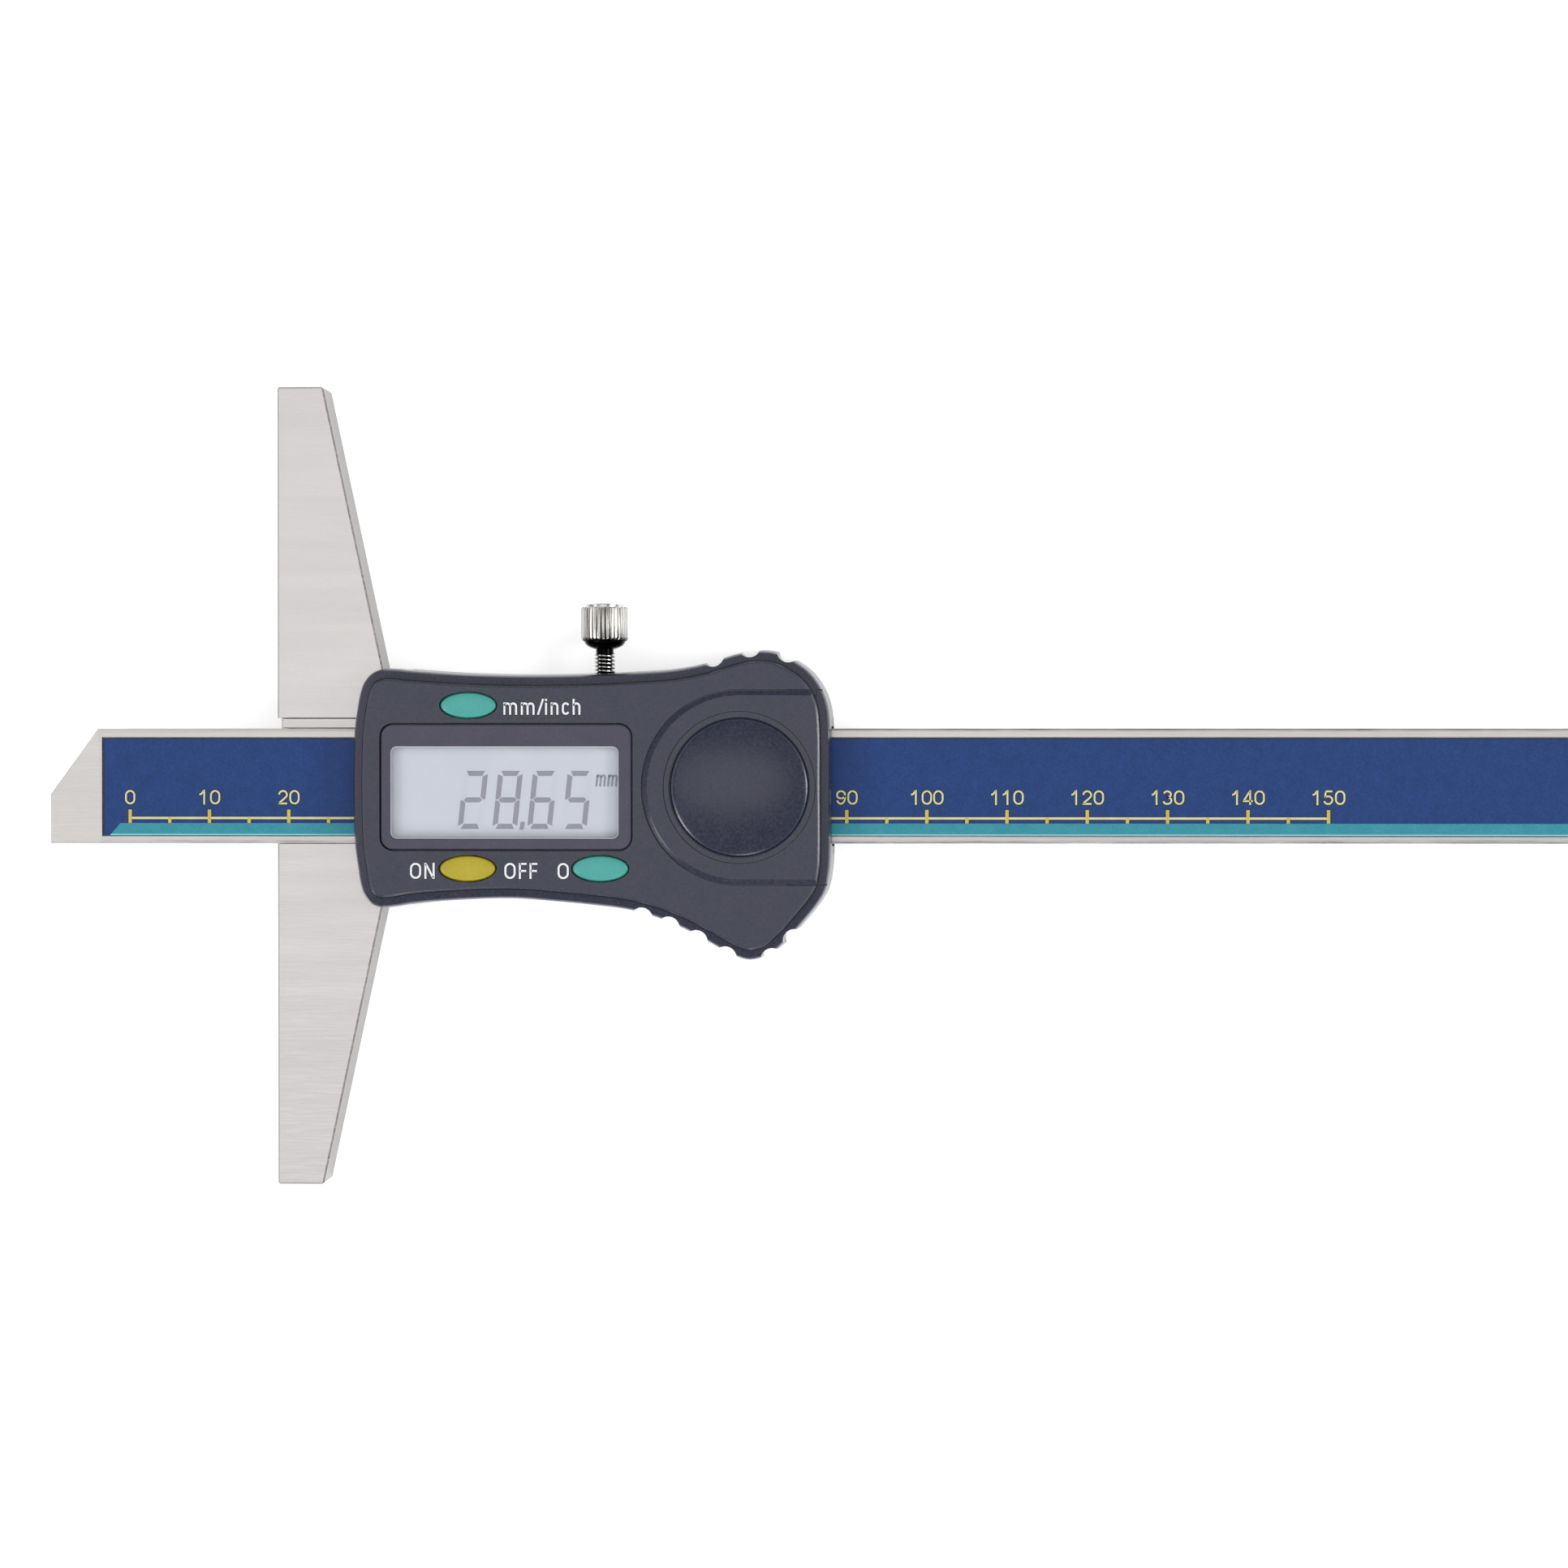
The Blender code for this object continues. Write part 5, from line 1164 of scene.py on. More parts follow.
@dataclass(frozen=True)
class Bar:
    """The measuring bar with its bevelled tip, its rails and the plate that stops it."""

    tip_length: float = 0.0060
    tip_face: float = 0.0061
    recess_start: float = 0.0065
    recess_depth: float = 0.00065
    rail_high: float = 0.00105
    rail_low: float = 0.00085
    rail_lead: float = 0.0002
    rail_chamfer: float = 0.00032
    edge_chamfer: float = 0.00012
    almost_flat: float = 0.5
    stop_start: float = 0.1876
    stop_length: float = 0.0060
    stop_width: float = 0.0090
    stop_thickness: float = 0.0015
    stop_round: float = 0.0003
    screw_spacing: float = 0.0045
    thread_radius: float = 0.00085
    thread_depth: float = 0.0019
    screw: Pairs = (
        (0.00035, 0.0006), (0.0010, 0.00052), (0.0013, 0.00036), (0.0014, 0.00018), (0.0014, 0.0),
        (0.0008, 0.0), (0.0008, -0.0031), (0.0006, -0.0033),
    )
    screw_steps: int = 40
    driver_half: float = 0.00018
    driver_floor: float = 0.00028

    def build(self) -> None:
        """Builds the bar, its stop plate and the stop's screws."""
        bar = self.build_bar()
        back = LEVELS.bar_back - HAIR
        seat = back - self.stop_thickness
        end = (self.stop_start + self.stop_length, self.stop_width / 2, back)
        stop = block("stop_plate", (self.stop_start, -self.stop_width / 2, seat), end)
        bevel_where(stop, every, self.stop_round, segments=2)
        x = self.stop_start + self.stop_length / 2
        top = LEVELS.bar_back + self.thread_depth
        for number, y in enumerate((self.screw_spacing / 2, -self.screw_spacing / 2), 1):
            for plate in (bar, stop):
                work(plate, post("thread_way", (x, y), back - 2 * PAST, top, self.thread_radius))
            self.build_screw(number, (x, y, seat - HAIR))
        complete(bar, BAR_STEEL, "measuring_bar", ["beam"])
        complete(stop, MILLED_STEEL, "measuring_bar", ["beam_stop"])

    def build_bar(self) -> Piece:
        """Builds the bar with the chamfers on its rails and the recess for the scale.

        Returns:
            The bar, without its holes.
        """
        half, tip = LEVELS.bar_half, LEVELS.tip
        outline = [
            (tip, -half), (LEVELS.bar_end, -half), (LEVELS.bar_end, half), (tip + self.tip_length, half),
            (tip, -half + self.tip_face),
        ]
        bar = raise_plate("bar", outline, LEVELS.bar_back, LEVELS.front - LEVELS.bar_back)
        start = tip + self.recess_start - self.rail_lead
        with editing(bar):
            bpy.ops.mesh.select_all(action="SELECT")
            bpy.ops.mesh.bisect(plane_co=(start, 0, 0), plane_no=(1, 0, 0))
        bevel_where(bar, lambda edge: self.is_rail_edge(edge, start), self.rail_chamfer)
        bevel_where(bar, lambda edge: self.is_tip_edge(edge, start), self.edge_chamfer)
        with editing(bar):
            bpy.ops.mesh.select_all(action="SELECT")
            bpy.ops.mesh.dissolve_limited(angle_limit=math.radians(self.almost_flat))
        low = (tip + self.recess_start, -half + self.rail_low, LEVELS.front - self.recess_depth)
        end = (LEVELS.bar_end + PAST, half - self.rail_high, LEVELS.front + PAST)
        work(bar, block("recess", low, end))
        return bar

    def is_rail_edge(self, edge: Edge, start: float) -> bool:
        """Whether an edge is one of the two long front edges beyond the tip."""
        outer = all(abs(abs(vert.co.y) - LEVELS.bar_half) < TOUCH for vert in edge.verts)
        return outer and past(2, LEVELS.front)(edge) and past(0, start)(edge)

    def is_tip_edge(self, edge: Edge, start: float) -> bool:
        """Whether an edge belongs to the tip's own outline."""
        outer = sum(abs(face.normal.z) > FLAT for face in edge.link_faces) == 1
        return outer and past(0, start, -1)(edge)

    def build_screw(self, number: int, seat: Place) -> None:
        """Builds one pan head screw of the stop.

        Args:
            number: which of the two it is.
            seat: where its head starts.
        """
        screw = turn_profile(f"stop_screw_{number}_head", self.screw, self.screw_steps)
        low = (-PAST, -self.driver_half, self.driver_floor)
        work(screw, block("driver_slot", low, (PAST, self.driver_half, PAST)))
        stand(screw, seat, (0, 0, -1))
        complete(screw, SCREW_STEEL, "measuring_bar", [f"stop_screw_{number}"])


@dataclass(frozen=True)
class ScaleFilm:
    """The printed film in the bar's recess: blue ground, teal stripe, ticks and numbers."""

    start: float = 0.0066
    low: float = -0.00625
    high: float = 0.00605
    back: float = 0.00375
    front: float = 0.0039
    chamfer: float = 0.00004
    layer: float = 0.000012
    border: Pair = (0.00004, 0.00018)
    zero: float = 0.01004
    last: int = 150
    short_step: int = 5
    long_step: int = 10
    tick_bottom: float = -0.00465
    long_top: float = -0.00297
    short_top: float = -0.00395
    tick_width: float = 0.00042
    line_low: float = -0.00417
    line_high: float = -0.00388
    number_low: float = -0.00234
    number_high: float = -0.00049
    number_stroke: float = 0.00022
    stripe_top: float = -0.00467
    stripe_bottom: float = -0.00618
    stripe_leads: Pair = (0.0009, 0.0022)
    glint_leads: Pair = (0.0009, 0.00104)
    glint_width: float = 0.00016
    halo: float = 0.00009

    def build(self) -> None:
        """Builds the film, everything printed on it and the painted glint along the stripe."""
        start = LEVELS.tip + self.start
        end = LEVELS.bar_end - PLAY
        film = block("scale_film", (start, self.low, self.back), (end, self.high, self.front))
        bevel_where(film, past(2, self.front), self.chamfer)
        complete(film, SCALE_BLUE, "measuring_bar", ["scale_label"])
        near, far = self.border
        border = [
            (start + near, self.low + near), (start + far, self.low + near), (start + far, self.high - far),
            (end, self.high - far), (end, self.high - near), (start + near, self.high - near),
        ]
        self.print_area("scale_border", border, 1, SCALE_SHADE)
        low = self.stripe_bottom
        for name, leads, high, level, finish in (
            ("scale_stripe", self.stripe_leads, self.stripe_top, 1, SCALE_TEAL),
            # The glint is a painted highlight along the stripe's lower edge.
            ("scale_glint", self.glint_leads, low + self.glint_width, 2, SCALE_GLINT),
        ):
            outline = [(start + leads[0], low), (end, low), (end, high), (start + leads[1], high)]
            self.print_area(name, outline, level, finish)
        self.build_marks()
        self.build_numbers()

    def print_area(self, name: str, outline: Outline, level: int, finish: Finish) -> None:
        """Prints one flat area on the film.

        Args:
            name: the piece's name.
            outline: its corners.
            level: how many layers of print lie under it, plus one.
            finish: its ink.
        """
        piece = raise_plate(name, outline, self.front - self.layer, (level + 1) * self.layer)
        complete(piece, finish, "measuring_bar", weighted=False)

    def place(self, reading: int) -> float:
        """Where a reading in millimetres stands along the bar."""
        return LEVELS.tip + self.zero + reading / 1000

    def build_marks(self) -> None:
        """Prints the line along the numbers and the ticks on it, with a dark edge round them."""
        line = (self.place(0), self.place(self.last), self.line_low, self.line_high)
        ticks = []
        for reading in range(0, self.last + 1, self.short_step):
            x = self.place(reading)
            top = self.short_top if reading % self.long_step else self.long_top
            ticks.append((x - self.tick_width / 2, x + self.tick_width / 2, self.tick_bottom, top))
        for name, boxes, grow, level, finish in (
            ("scale_mark_edges", [line, *ticks], self.halo, 2, SCALE_SHADE),
            ("scale_line", [line], 0.0, 3, SCALE_CREAM),
            ("scale_ticks", ticks, 0.0, 4, SCALE_GOLD),
        ):
            areas = []
            for left, right, low, high in boxes:
                start = (left - grow, low - min(grow, low - self.stripe_top), self.front - self.layer)
                areas.append(block(name, start, (right + grow, high + grow, self.front + level * self.layer)))
            complete(join(areas, name), finish, "measuring_bar", weighted=False)

    def build_numbers(self) -> None:
        """Prints a number over every long tick, each digit from one that is modelled once."""
        height = self.number_high - self.number_low
        low = self.front - self.layer
        for name, halo, level, finish in (
            ("scale_number_edges", self.halo, 2, SCALE_SHADE),
            ("scale_numbers", 0.0, 3, SCALE_CREAM),
        ):
            high = self.front + level * self.layer
            digits = {}
            for digit in "0123456789":
                line = Writing(digit, 0.0, self.number_low, height, self.number_stroke)
                digits[digit] = line.build(f"digit_{digit}", low, high, halo)
            placed = []
            for reading in range(0, self.last + 1, self.long_step):
                text = str(reading)
                pen = self.place(reading) - Writing(text, 0.0, 0.0, height, self.number_stroke).width() / 2
                for digit in text:
                    placed.append(twin(digits[digit], "placed", (pen, 0, 0)))
                    pen += GLYPHS[digit].advance * height
            for digit in digits.values():
                bpy.data.objects.remove(digit, do_unlink=True)
            complete(join(placed, name), finish, "measuring_bar", weighted=False)


@dataclass(frozen=True)
class HousingForm:
    """The outer form and the screws' places that the housing, its back and the battery cover share."""

    waist: float = 0.01406
    flare: float = 0.00774
    steps: int = 6
    shoulder: Pairs = (
        (0.0074, 0.00026), (0.0004, 0.00006), (0.0003, 0.00009), (0.0002, 0.00012), (0.0001, 0.00086),
        (-0.0004, 0.00003), (THIN, 0.00010), (0.00134, 0.00004), (0.00013, 0.00006), (0.00012, 0.00022),
    )
    shares: Pairs = (
        (0.000, 0.000), (0.003, 0.504), (0.009, 0.698), (0.015, 0.831), (0.024, 0.933), (0.040, 1.020),
        (0.063, 1.099), (0.092, 1.104), (0.127, 1.079), (0.263, 1.014), (0.433, 1.000), (0.603, 1.051),
        (0.672, 1.093), (0.733, 1.183), (0.805, 1.349), (0.853, 1.394), (0.887, 1.358), (0.922, 1.234),
        (0.950, 1.085), (0.969, 0.957), (0.985, 0.840), (0.995, 0.705), (0.999, 0.533), (1.000, 0.000),
        (1.000, -0.634), (0.998, -0.747), (0.990, -0.921), (0.975, -1.065), (0.944, -1.366), (0.914, -1.623),
        (0.884, -1.842), (0.854, -1.966), (0.822, -2.000), (0.775, -1.856), (0.712, -1.583), (0.648, -1.358),
        (0.579, -1.203), (0.502, -1.124), (0.433, -1.073), (0.332, -1.020), (0.195, -1.059), (0.127, -1.107),
        (0.090, -1.152), (0.062, -1.163), (0.040, -1.104), (0.025, -0.988), (0.016, -0.884), (0.010, -0.732),
        (0.003, -0.504),
    )
    notch_radius: float = 0.00142
    notch_steps: int = 36
    notches: Pairs = (
        (0.054759, 0.016282), (0.059347, 0.017454), (0.064186, 0.016818), (0.045917, -0.016445),
        (0.049273, -0.017571), (0.052742, -0.019251), (0.056347, -0.021269), (0.062181, -0.021474),
        (0.064942, -0.019113),
    )
    screws: Pairs = ((0.0184, 0.0104), (0.0184, -0.0104), (0.0630, 0.0104), (0.0630, -0.0104))

    @property
    def reach(self) -> float:
        """The most that the plan reaches from the middle line."""
        return self.waist + self.flare

    def outline(self) -> list[Vector]:
        """The plan at the back edge of the wall, clockwise.

        Returns:
            The plan's points.
        """
        length = LEVELS.housing_end - LEVELS.housing_start
        points = []
        for along, across in self.shares:
            reach = min(abs(across), 1) * self.waist + max(abs(across) - 1, 0) * self.flare
            points.append(Vector((LEVELS.housing_start + along * length, math.copysign(reach, across))))
        return smooth_closed(points, self.steps)

    def inside(self, wall: float) -> Outline:
        """The plan moved inwards by a wall."""
        return [(point.x, point.y) for point in move_inwards(self.outline(), wall)]

    def solid(self, name: str) -> Piece:
        """The full outer form, from the back edge of the wall up to the raised face."""
        return raise_plate(name, self.inside(0.0), LEVELS.wall_back, self.shoulder)

    def cut_notches(self, piece: Piece) -> None:
        """Cuts the grip notches into a piece's flanks.

        Args:
            piece: the shell to cut.
        """
        low, high = LEVELS.back - PAST, LEVELS.face + PAST
        for place in self.notches:
            work(piece, post("notch", place, low, high, self.notch_radius, self.notch_steps))


@dataclass(frozen=True)
class FrontHousing:
    """The moulded front shell with its display opening, battery pocket, buttons' holes and screw bosses."""

    form: HousingForm
    wall: float = 0.0019
    base_edge: float = 0.0168
    floor_lead: float = 0.0008
    floor_top: float = 0.0051
    battery: Pair = (0.0571, -0.0001)
    battery_steps: int = 96
    cup_radius: float = 0.0113
    pocket_radius: float = 0.0104
    pocket_floor: float = 0.0048
    boss_radius: float = 0.00155
    boss_steps: int = 32
    pilot_radius: float = 0.00105
    pilot_steps: int = 24
    pilot_top: float = 0.00715
    board_back: float = 0.00415
    bar_play: float = 0.0003
    lock_radius: float = 0.0016
    contact_low: Place = (0.010, -0.0016, 0.00485)
    contact_high: Place = (0.0116, 0.0016, 0.0055)
    contact_angles: Pair = (180, 150)

    def build(self, cover: "CellCover", display: "DisplayUnit", keys: "Keys") -> None:
        """Builds the shell with the openings that its neighbours need.

        Args:
            cover: the battery cover, which gives its seat.
            display: the display unit, which gives its opening.
            keys: the buttons, which give their holes.
        """
        shell = self.form.solid("front_housing")
        reach = self.form.reach
        low = LEVELS.wall_back - PAST
        high = LEVELS.face + PAST
        start = LEVELS.housing_start - PAST
        cavity = raise_plate("cavity", self.form.inside(self.wall), low, LEVELS.ceiling - low)
        floor_end = (self.base_edge + self.floor_lead, reach, self.floor_top)
        work(cavity, block("floor", (start, -reach, LEVELS.underside), floor_end))
        cup = post("cup", self.battery, LEVELS.underside, LEVELS.face, self.cup_radius, self.battery_steps)
        work(cavity, cup)
        for place in self.form.screws:
            boss = post("boss", place, self.board_back, LEVELS.face, self.boss_radius, self.boss_steps)
            work(cavity, boss)
        work(shell, cavity)
        work(shell, block("bridge_way", (start, -reach, low), (self.base_edge, reach, LEVELS.underside)))
        pocket = post("pocket", self.battery, self.pocket_floor, high, self.pocket_radius, self.battery_steps)
        work(shell, pocket)
        cover.cut_seat(shell)
        display.cut_opening(shell)
        keys.cut_holes(shell)
        end = (LEVELS.housing_end + PAST, LEVELS.bar_half + self.bar_play, LEVELS.underside)
        work(shell, block("bar_way", (LEVELS.frame_end, LEVELS.slot_low - self.bar_play, low), end))
        inner = (LEVELS.lock_x, LEVELS.frame_half - PAST, LEVELS.bar_middle)
        work(shell, rod("lock_way", inner, (LEVELS.lock_x, reach, LEVELS.bar_middle), self.lock_radius))
        for place in self.form.screws:
            work(shell, post("pilot", place, low, self.pilot_top, self.pilot_radius, self.pilot_steps))
        for angle in self.contact_angles:
            way = block("contact_way", self.contact_low, self.contact_high)
            turn = Matrix.Rotation(math.radians(angle), 4, "Z")
            way.data.transform(Matrix.Translation((*self.battery, 0)) @ turn)
            work(shell, way)
        self.form.cut_notches(shell)
        complete(shell, HOUSING_PLASTIC, "slider", ["housing_shell"], MOULDED_TURN)


@dataclass(frozen=True)
class CellCover:
    """The battery cover, which slides off to the right, with its domed disc for the thumb."""

    form: HousingForm
    centre: Pair = (0.05815, -0.0001)
    radius: float = 0.0122
    steps: int = 64
    gap: float = 0.00020
    back: float = 0.0085
    chamfer: float = 0.00050
    chamfer_rise: float = 0.00014
    lip: float = 0.00012
    lip_rise: float = 0.00005
    lip_overrun: float = 1.5
    tongue_start: float = 0.0500
    tongue_end: float = 0.0640
    tongue_width: float = 0.0006
    tongue_thickness: float = 0.0004
    hook_start: float = 0.0677
    hook_back: float = 0.00725
    hook_front: float = 0.0090
    disc_radius: float = 0.00875
    disc_steps: int = 128
    disc_rise: float = 0.0006
    disc_sink: float = 0.00040
    disc_share: float = 0.95
    disc_rings: int = 32
    disc_rim: Pairs = ((1.0, 0.00028), (0.985, 0.00014))
    groove_radius: float = 0.0095
    groove_depth: float = 0.00012
    slot_width: float = 0.00016
    slot_depth: float = 0.00070

    def plan(self, growth: float) -> Outline:
        """The cover's plan: a half circle on the left that runs on straight to the right.

        Args:
            growth: how far the plan grows on all sides.

        Returns:
            The plan's corners.
        """
        radius = self.radius + growth
        far = LEVELS.housing_end + PAST
        angles = (math.pi / 2 + math.pi * step / self.steps for step in range(self.steps + 1))
        curve = around(self.centre, (radius, radius), angles)
        return [(far, self.centre[1] + radius), *curve, (far, self.centre[1] - radius)]

    def hook(self, half: float, play: float, front: float) -> Piece:
        """The hook at the cover's end or, with play, its seat."""
        low = (self.hook_start - play, self.centre[1] - half, self.hook_back - play)
        return block("hook", low, (LEVELS.housing_end + PAST, self.centre[1] + half, front))

    def tongue(self, side: int, end: float, play: float = 0.0, gap: float = 0.0) -> Piece:
        """A tongue that guides the cover or, with room round it, its groove.

        Args:
            side: which side it is on, 1 or -1.
            end: the X that it reaches.
            play: the room before it and beside it.
            gap: the room over and under it.

        Returns:
            The tongue or the groove's cutter.
        """
        near = self.centre[1] + side * (self.radius - PAST)
        edge = self.centre[1] + side * (self.radius + self.tongue_width + play)
        low = (self.tongue_start - play, min(near, edge), self.back - gap)
        return block("tongue", low, (end, max(near, edge), self.back + self.tongue_thickness + gap))

    def cut_seat(self, shell: Piece) -> None:
        """Cuts the cover's seat into the housing, with the grooves for its tongues.

        Args:
            shell: the front housing.
        """
        low = self.back - PLAY
        high = LEVELS.face + PAST
        work(shell, raise_plate("seat", self.plan(0.0), low, high - low))
        work(shell, self.hook(self.radius, PLAY, high))
        for side in (1, -1):
            work(shell, self.tongue(side, LEVELS.housing_end + PAST, PLAY, HAIR))

    def build(self) -> None:
        """Builds the cover."""
        cover = self.form.solid("cell_cover")
        straight = LEVELS.face - self.chamfer_rise - self.lip_rise - self.back
        lip = (self.lip_rise * self.lip_overrun, self.lip * self.lip_overrun)
        steps = [(straight, 0.0), (self.chamfer_rise, self.chamfer), lip]
        keep = raise_plate("keep", self.plan(-self.gap), self.back, steps)
        work(keep, self.hook(self.radius - self.gap, 0.0, self.hook_front), Joining.ADD)
        work(cover, keep, Joining.KEEP)
        for side in (1, -1):
            work(cover, self.tongue(side, self.tongue_end), Joining.ADD)
        high = LEVELS.face + PAST
        well = LEVELS.face - self.groove_depth
        floor = LEVELS.face - self.slot_depth
        inner = self.groove_radius - self.slot_width
        outer = self.disc_radius + self.slot_width / 2
        work(cover, post("groove", self.centre, well, high, self.groove_radius, self.disc_steps))
        slot = post("slot", self.centre, floor, high, inner + self.slot_width, self.disc_steps)
        work(slot, post("core", self.centre, 0.0, high + PAST, inner, self.disc_steps))
        work(cover, slot)
        work(cover, post("dish", self.centre, floor, high, outer, self.disc_steps))
        work(cover, self.disc(), Joining.ADD)
        complete(cover, HOUSING_PLASTIC, "lid", ["battery_cover"], MOULDED_TURN)

    def disc(self) -> Piece:
        """The domed disc, which stands in the groove.

        Returns:
            The disc in its place.
        """
        radius = self.disc_radius - self.slot_width / 2
        profile = [(radius, -self.slot_depth - 2 * THIN)]
        crown = self.disc_rise + self.disc_sink
        edge = crown * (1 - self.disc_share**2) - self.disc_sink
        profile += [(radius * share, edge - drop) for share, drop in self.disc_rim]
        for step in range(self.disc_rings, 0, -1):
            share = self.disc_share * step / self.disc_rings
            profile.append((radius * share, crown * (1 - share * share) - self.disc_sink))
        disc = turn_profile("disc", profile, self.disc_steps)
        return stand(disc, (*self.centre, LEVELS.face), (0, 0, 1))


LIT_BARS = {"2": "abged", "8": "abcdefg", "6": "afgedc", "5": "afgcd"}  # The bars that show each digit.


@dataclass(frozen=True)
class DisplayUnit:
    """Bezel, window and the liquid crystal panel with its digits."""

    bezel_centre: Pair = (0.0292, -0.00005)
    bezel_size: Pair = (0.0311, 0.0155)
    bezel_corner: float = 0.0015
    bezel_rise: float = 0.00015
    bezel_inset: float = 0.00012
    opening_back: float = 0.006
    window_centre: Pair = (0.0290, -0.00075)
    window_size: Pair = (0.0284, 0.0115)
    window_corner: float = 0.0008
    window_chamfer: float = 0.00012
    corner_turn: float = 1.0
    pane_corner: float = 0.0009
    pane_chamfer: float = 0.00008
    ledge: float = 0.0005
    gap: float = 0.00020
    flange: float = 0.00015
    flange_rise: float = 0.0005
    sink: float = 0.00005
    liner: float = 0.00012
    liner_height: float = 0.0006
    glass_back: float = 0.0079
    glass_front: float = 0.0085
    panel_low: Place = (0.0142, -0.00745, 0.00635)
    panel_high: Place = (0.0438, 0.00735, 0.00785)
    panel_chamfer: float = 0.0001
    reading: str = "2865"
    digit_start: float = 0.02303
    digit_pitch: float = 0.00433
    digit_low: float = -0.00529
    digit_high: float = 0.00194
    digit_width: float = 0.00308
    digit_front: float = 0.00002
    stroke: float = 0.00064
    slant: float = 0.00077
    bar_gap: float = 0.00007
    point_place: float = 1.80
    point: Pairs = ((-0.00008, -0.0001), (0.00046, -0.0001), (0.00052, 0.0009), (-0.00002, 0.0009))
    unit: Writing = Writing("mm", 0.04023, 0.0, 0.00192, 0.00027, 0.69, 0.115)

    def bezel(self, growth: float) -> Outline:
        """The bezel's plan, grown on all sides."""
        return rounded_rectangle(self.bezel_centre, self.bezel_size, self.bezel_corner, growth)

    def window(self, growth: float = 0.0) -> Outline:
        """The window's plan, grown on all sides."""
        return rounded_rectangle(self.window_centre, self.window_size, self.window_corner, growth)

    def cut_opening(self, shell: Piece) -> None:
        """Cuts the bezel's opening into the housing."""
        work(shell, raise_plate("opening", self.bezel(self.gap), self.opening_back, 3 * PAST))

    def build(self) -> None:
        """Builds the unit's pieces."""
        self.build_bezel()
        thickness = self.glass_front - self.glass_back
        slack = self.ledge - self.gap
        pane = rounded_rectangle(self.window_centre, self.window_size, self.pane_corner, slack)
        window = raise_plate("window_pane", pane, self.glass_back, thickness)
        bevel_where(window, past(2, self.glass_front), self.pane_chamfer)
        complete(window, CLEAR_WINDOW, "slider", ["display_window"])
        panel = block("display_panel", self.panel_low, self.panel_high)
        bevel_where(panel, every, self.panel_chamfer)
        complete(panel, DISPLAY_GREY, "slider", ["lcd_panel"])
        # Painted light: a light-grey lining round the opening above the pane, lighter than the bezel it
        # lines.
        liner = raise_plate("window_liner", self.window(), self.glass_front + THIN, self.liner_height)
        work(liner, raise_plate("liner_way", self.window(-self.liner), self.glass_front - PAST, 3 * PAST))
        complete(liner, LINER_LIGHT_PAINT, "slider")
        self.build_digits()

    def build_bezel(self) -> None:
        """Builds the frame round the window, with its flange and the window's seat."""
        front = LEVELS.face - self.sink
        back = self.glass_back
        straight = front - back - self.flange_rise - self.bezel_rise
        steps = [
            (self.flange_rise, 0.0), (THIN, self.flange), (straight - THIN, 0.0),
            (self.bezel_rise, self.bezel_inset),
        ]
        bezel = raise_plate("bezel", self.bezel(self.flange), back, steps)
        low = back - PAST
        work(bezel, raise_plate("window_way", self.window(), low, 3 * PAST))
        work(bezel, raise_plate("window_seat", self.window(self.ledge), low, self.glass_front + HAIR - low))
        top = past(2, front)
        bevel_where(bezel, lambda edge: top(edge) and self.is_corner(edge), self.window_chamfer)
        complete(bezel, BEZEL_PLASTIC, "slider", ["display_bezel"])

    def is_corner(self, edge: Edge) -> bool:
        """Whether two faces meet sharply at an edge."""
        return edge.is_manifold and edge.calc_face_angle(0.0) > self.corner_turn

    def segment(self, name: str, origin: float, corners: Sequence[Pair]) -> Piece:
        """One bar of a digit, slanted.

        Args:
            name: the piece's name.
            origin: the X of the digit's lower left corner.
            corners: the bar's outline in the digit's own width and height.

        Returns:
            The bar as a thin plate.
        """
        height = self.digit_high - self.digit_low
        outline = [(origin + x + self.slant * y / height, self.digit_low + y) for x, y in corners]
        return raise_plate(name, outline, self.panel_high[2] - THIN, THIN + self.digit_front)

    def bars(self) -> dict[str, Outline]:
        """The seven bars of a digit, by their usual letters.

        Returns:
            Each bar's outline.
        """
        w, h, t, g = self.digit_width, self.digit_high - self.digit_low, self.stroke, self.bar_gap
        m, u = h / 2, t / 2
        return {
            "a": [(g + u, h), (w - g - u, h), (w - g - t, h - t), (g + t, h - t)],
            "b": [(w, h - g - u), (w, m + g), (w - u, m + g), (w - t, m + g + u), (w - t, h - g - t)],
            "c": [(w, m - g), (w, g + u), (w - t, g + t), (w - t, m - g - u), (w - u, m - g)],
            "d": [(g + u, 0), (g + t, t), (w - g - t, t), (w - g - u, 0)],
            "e": [(0, m - g), (u, m - g), (t, m - g - u), (t, g + t), (0, g + u)],
            "f": [(0, h - g - u), (t, h - g - t), (t, m + g + u), (u, m + g), (0, m + g)],
            "g": [
                (g + u, m), (g + t, m + u), (w - g - t, m + u), (w - g - u, m), (w - g - t, m - u),
                (g + t, m - u),
            ],
        }

    def build_digits(self) -> None:
        """Builds the digits, the point and the unit's letters on the panel."""
        bars = self.bars()
        shown = []
        ghosts = []
        for place, digit in enumerate(self.reading):
            origin = self.digit_start + place * self.digit_pitch
            for letter, corners in bars.items():
                target = shown if letter in LIT_BARS[digit] else ghosts
                target.append(self.segment(f"bar_{place}{letter}", origin, corners))
        origin = self.digit_start + self.point_place * self.digit_pitch
        shown.append(self.segment("point", origin, self.point))
        front = self.panel_high[2]
        shown.append(self.unit.build("unit_mm", front - THIN, front + self.digit_front))
        complete(join(shown, "display_digits"), DIGIT_GREY, "slider", weighted=False)
        complete(join(ghosts, "display_ghosts"), GHOST_GREY, "slider", weighted=False)


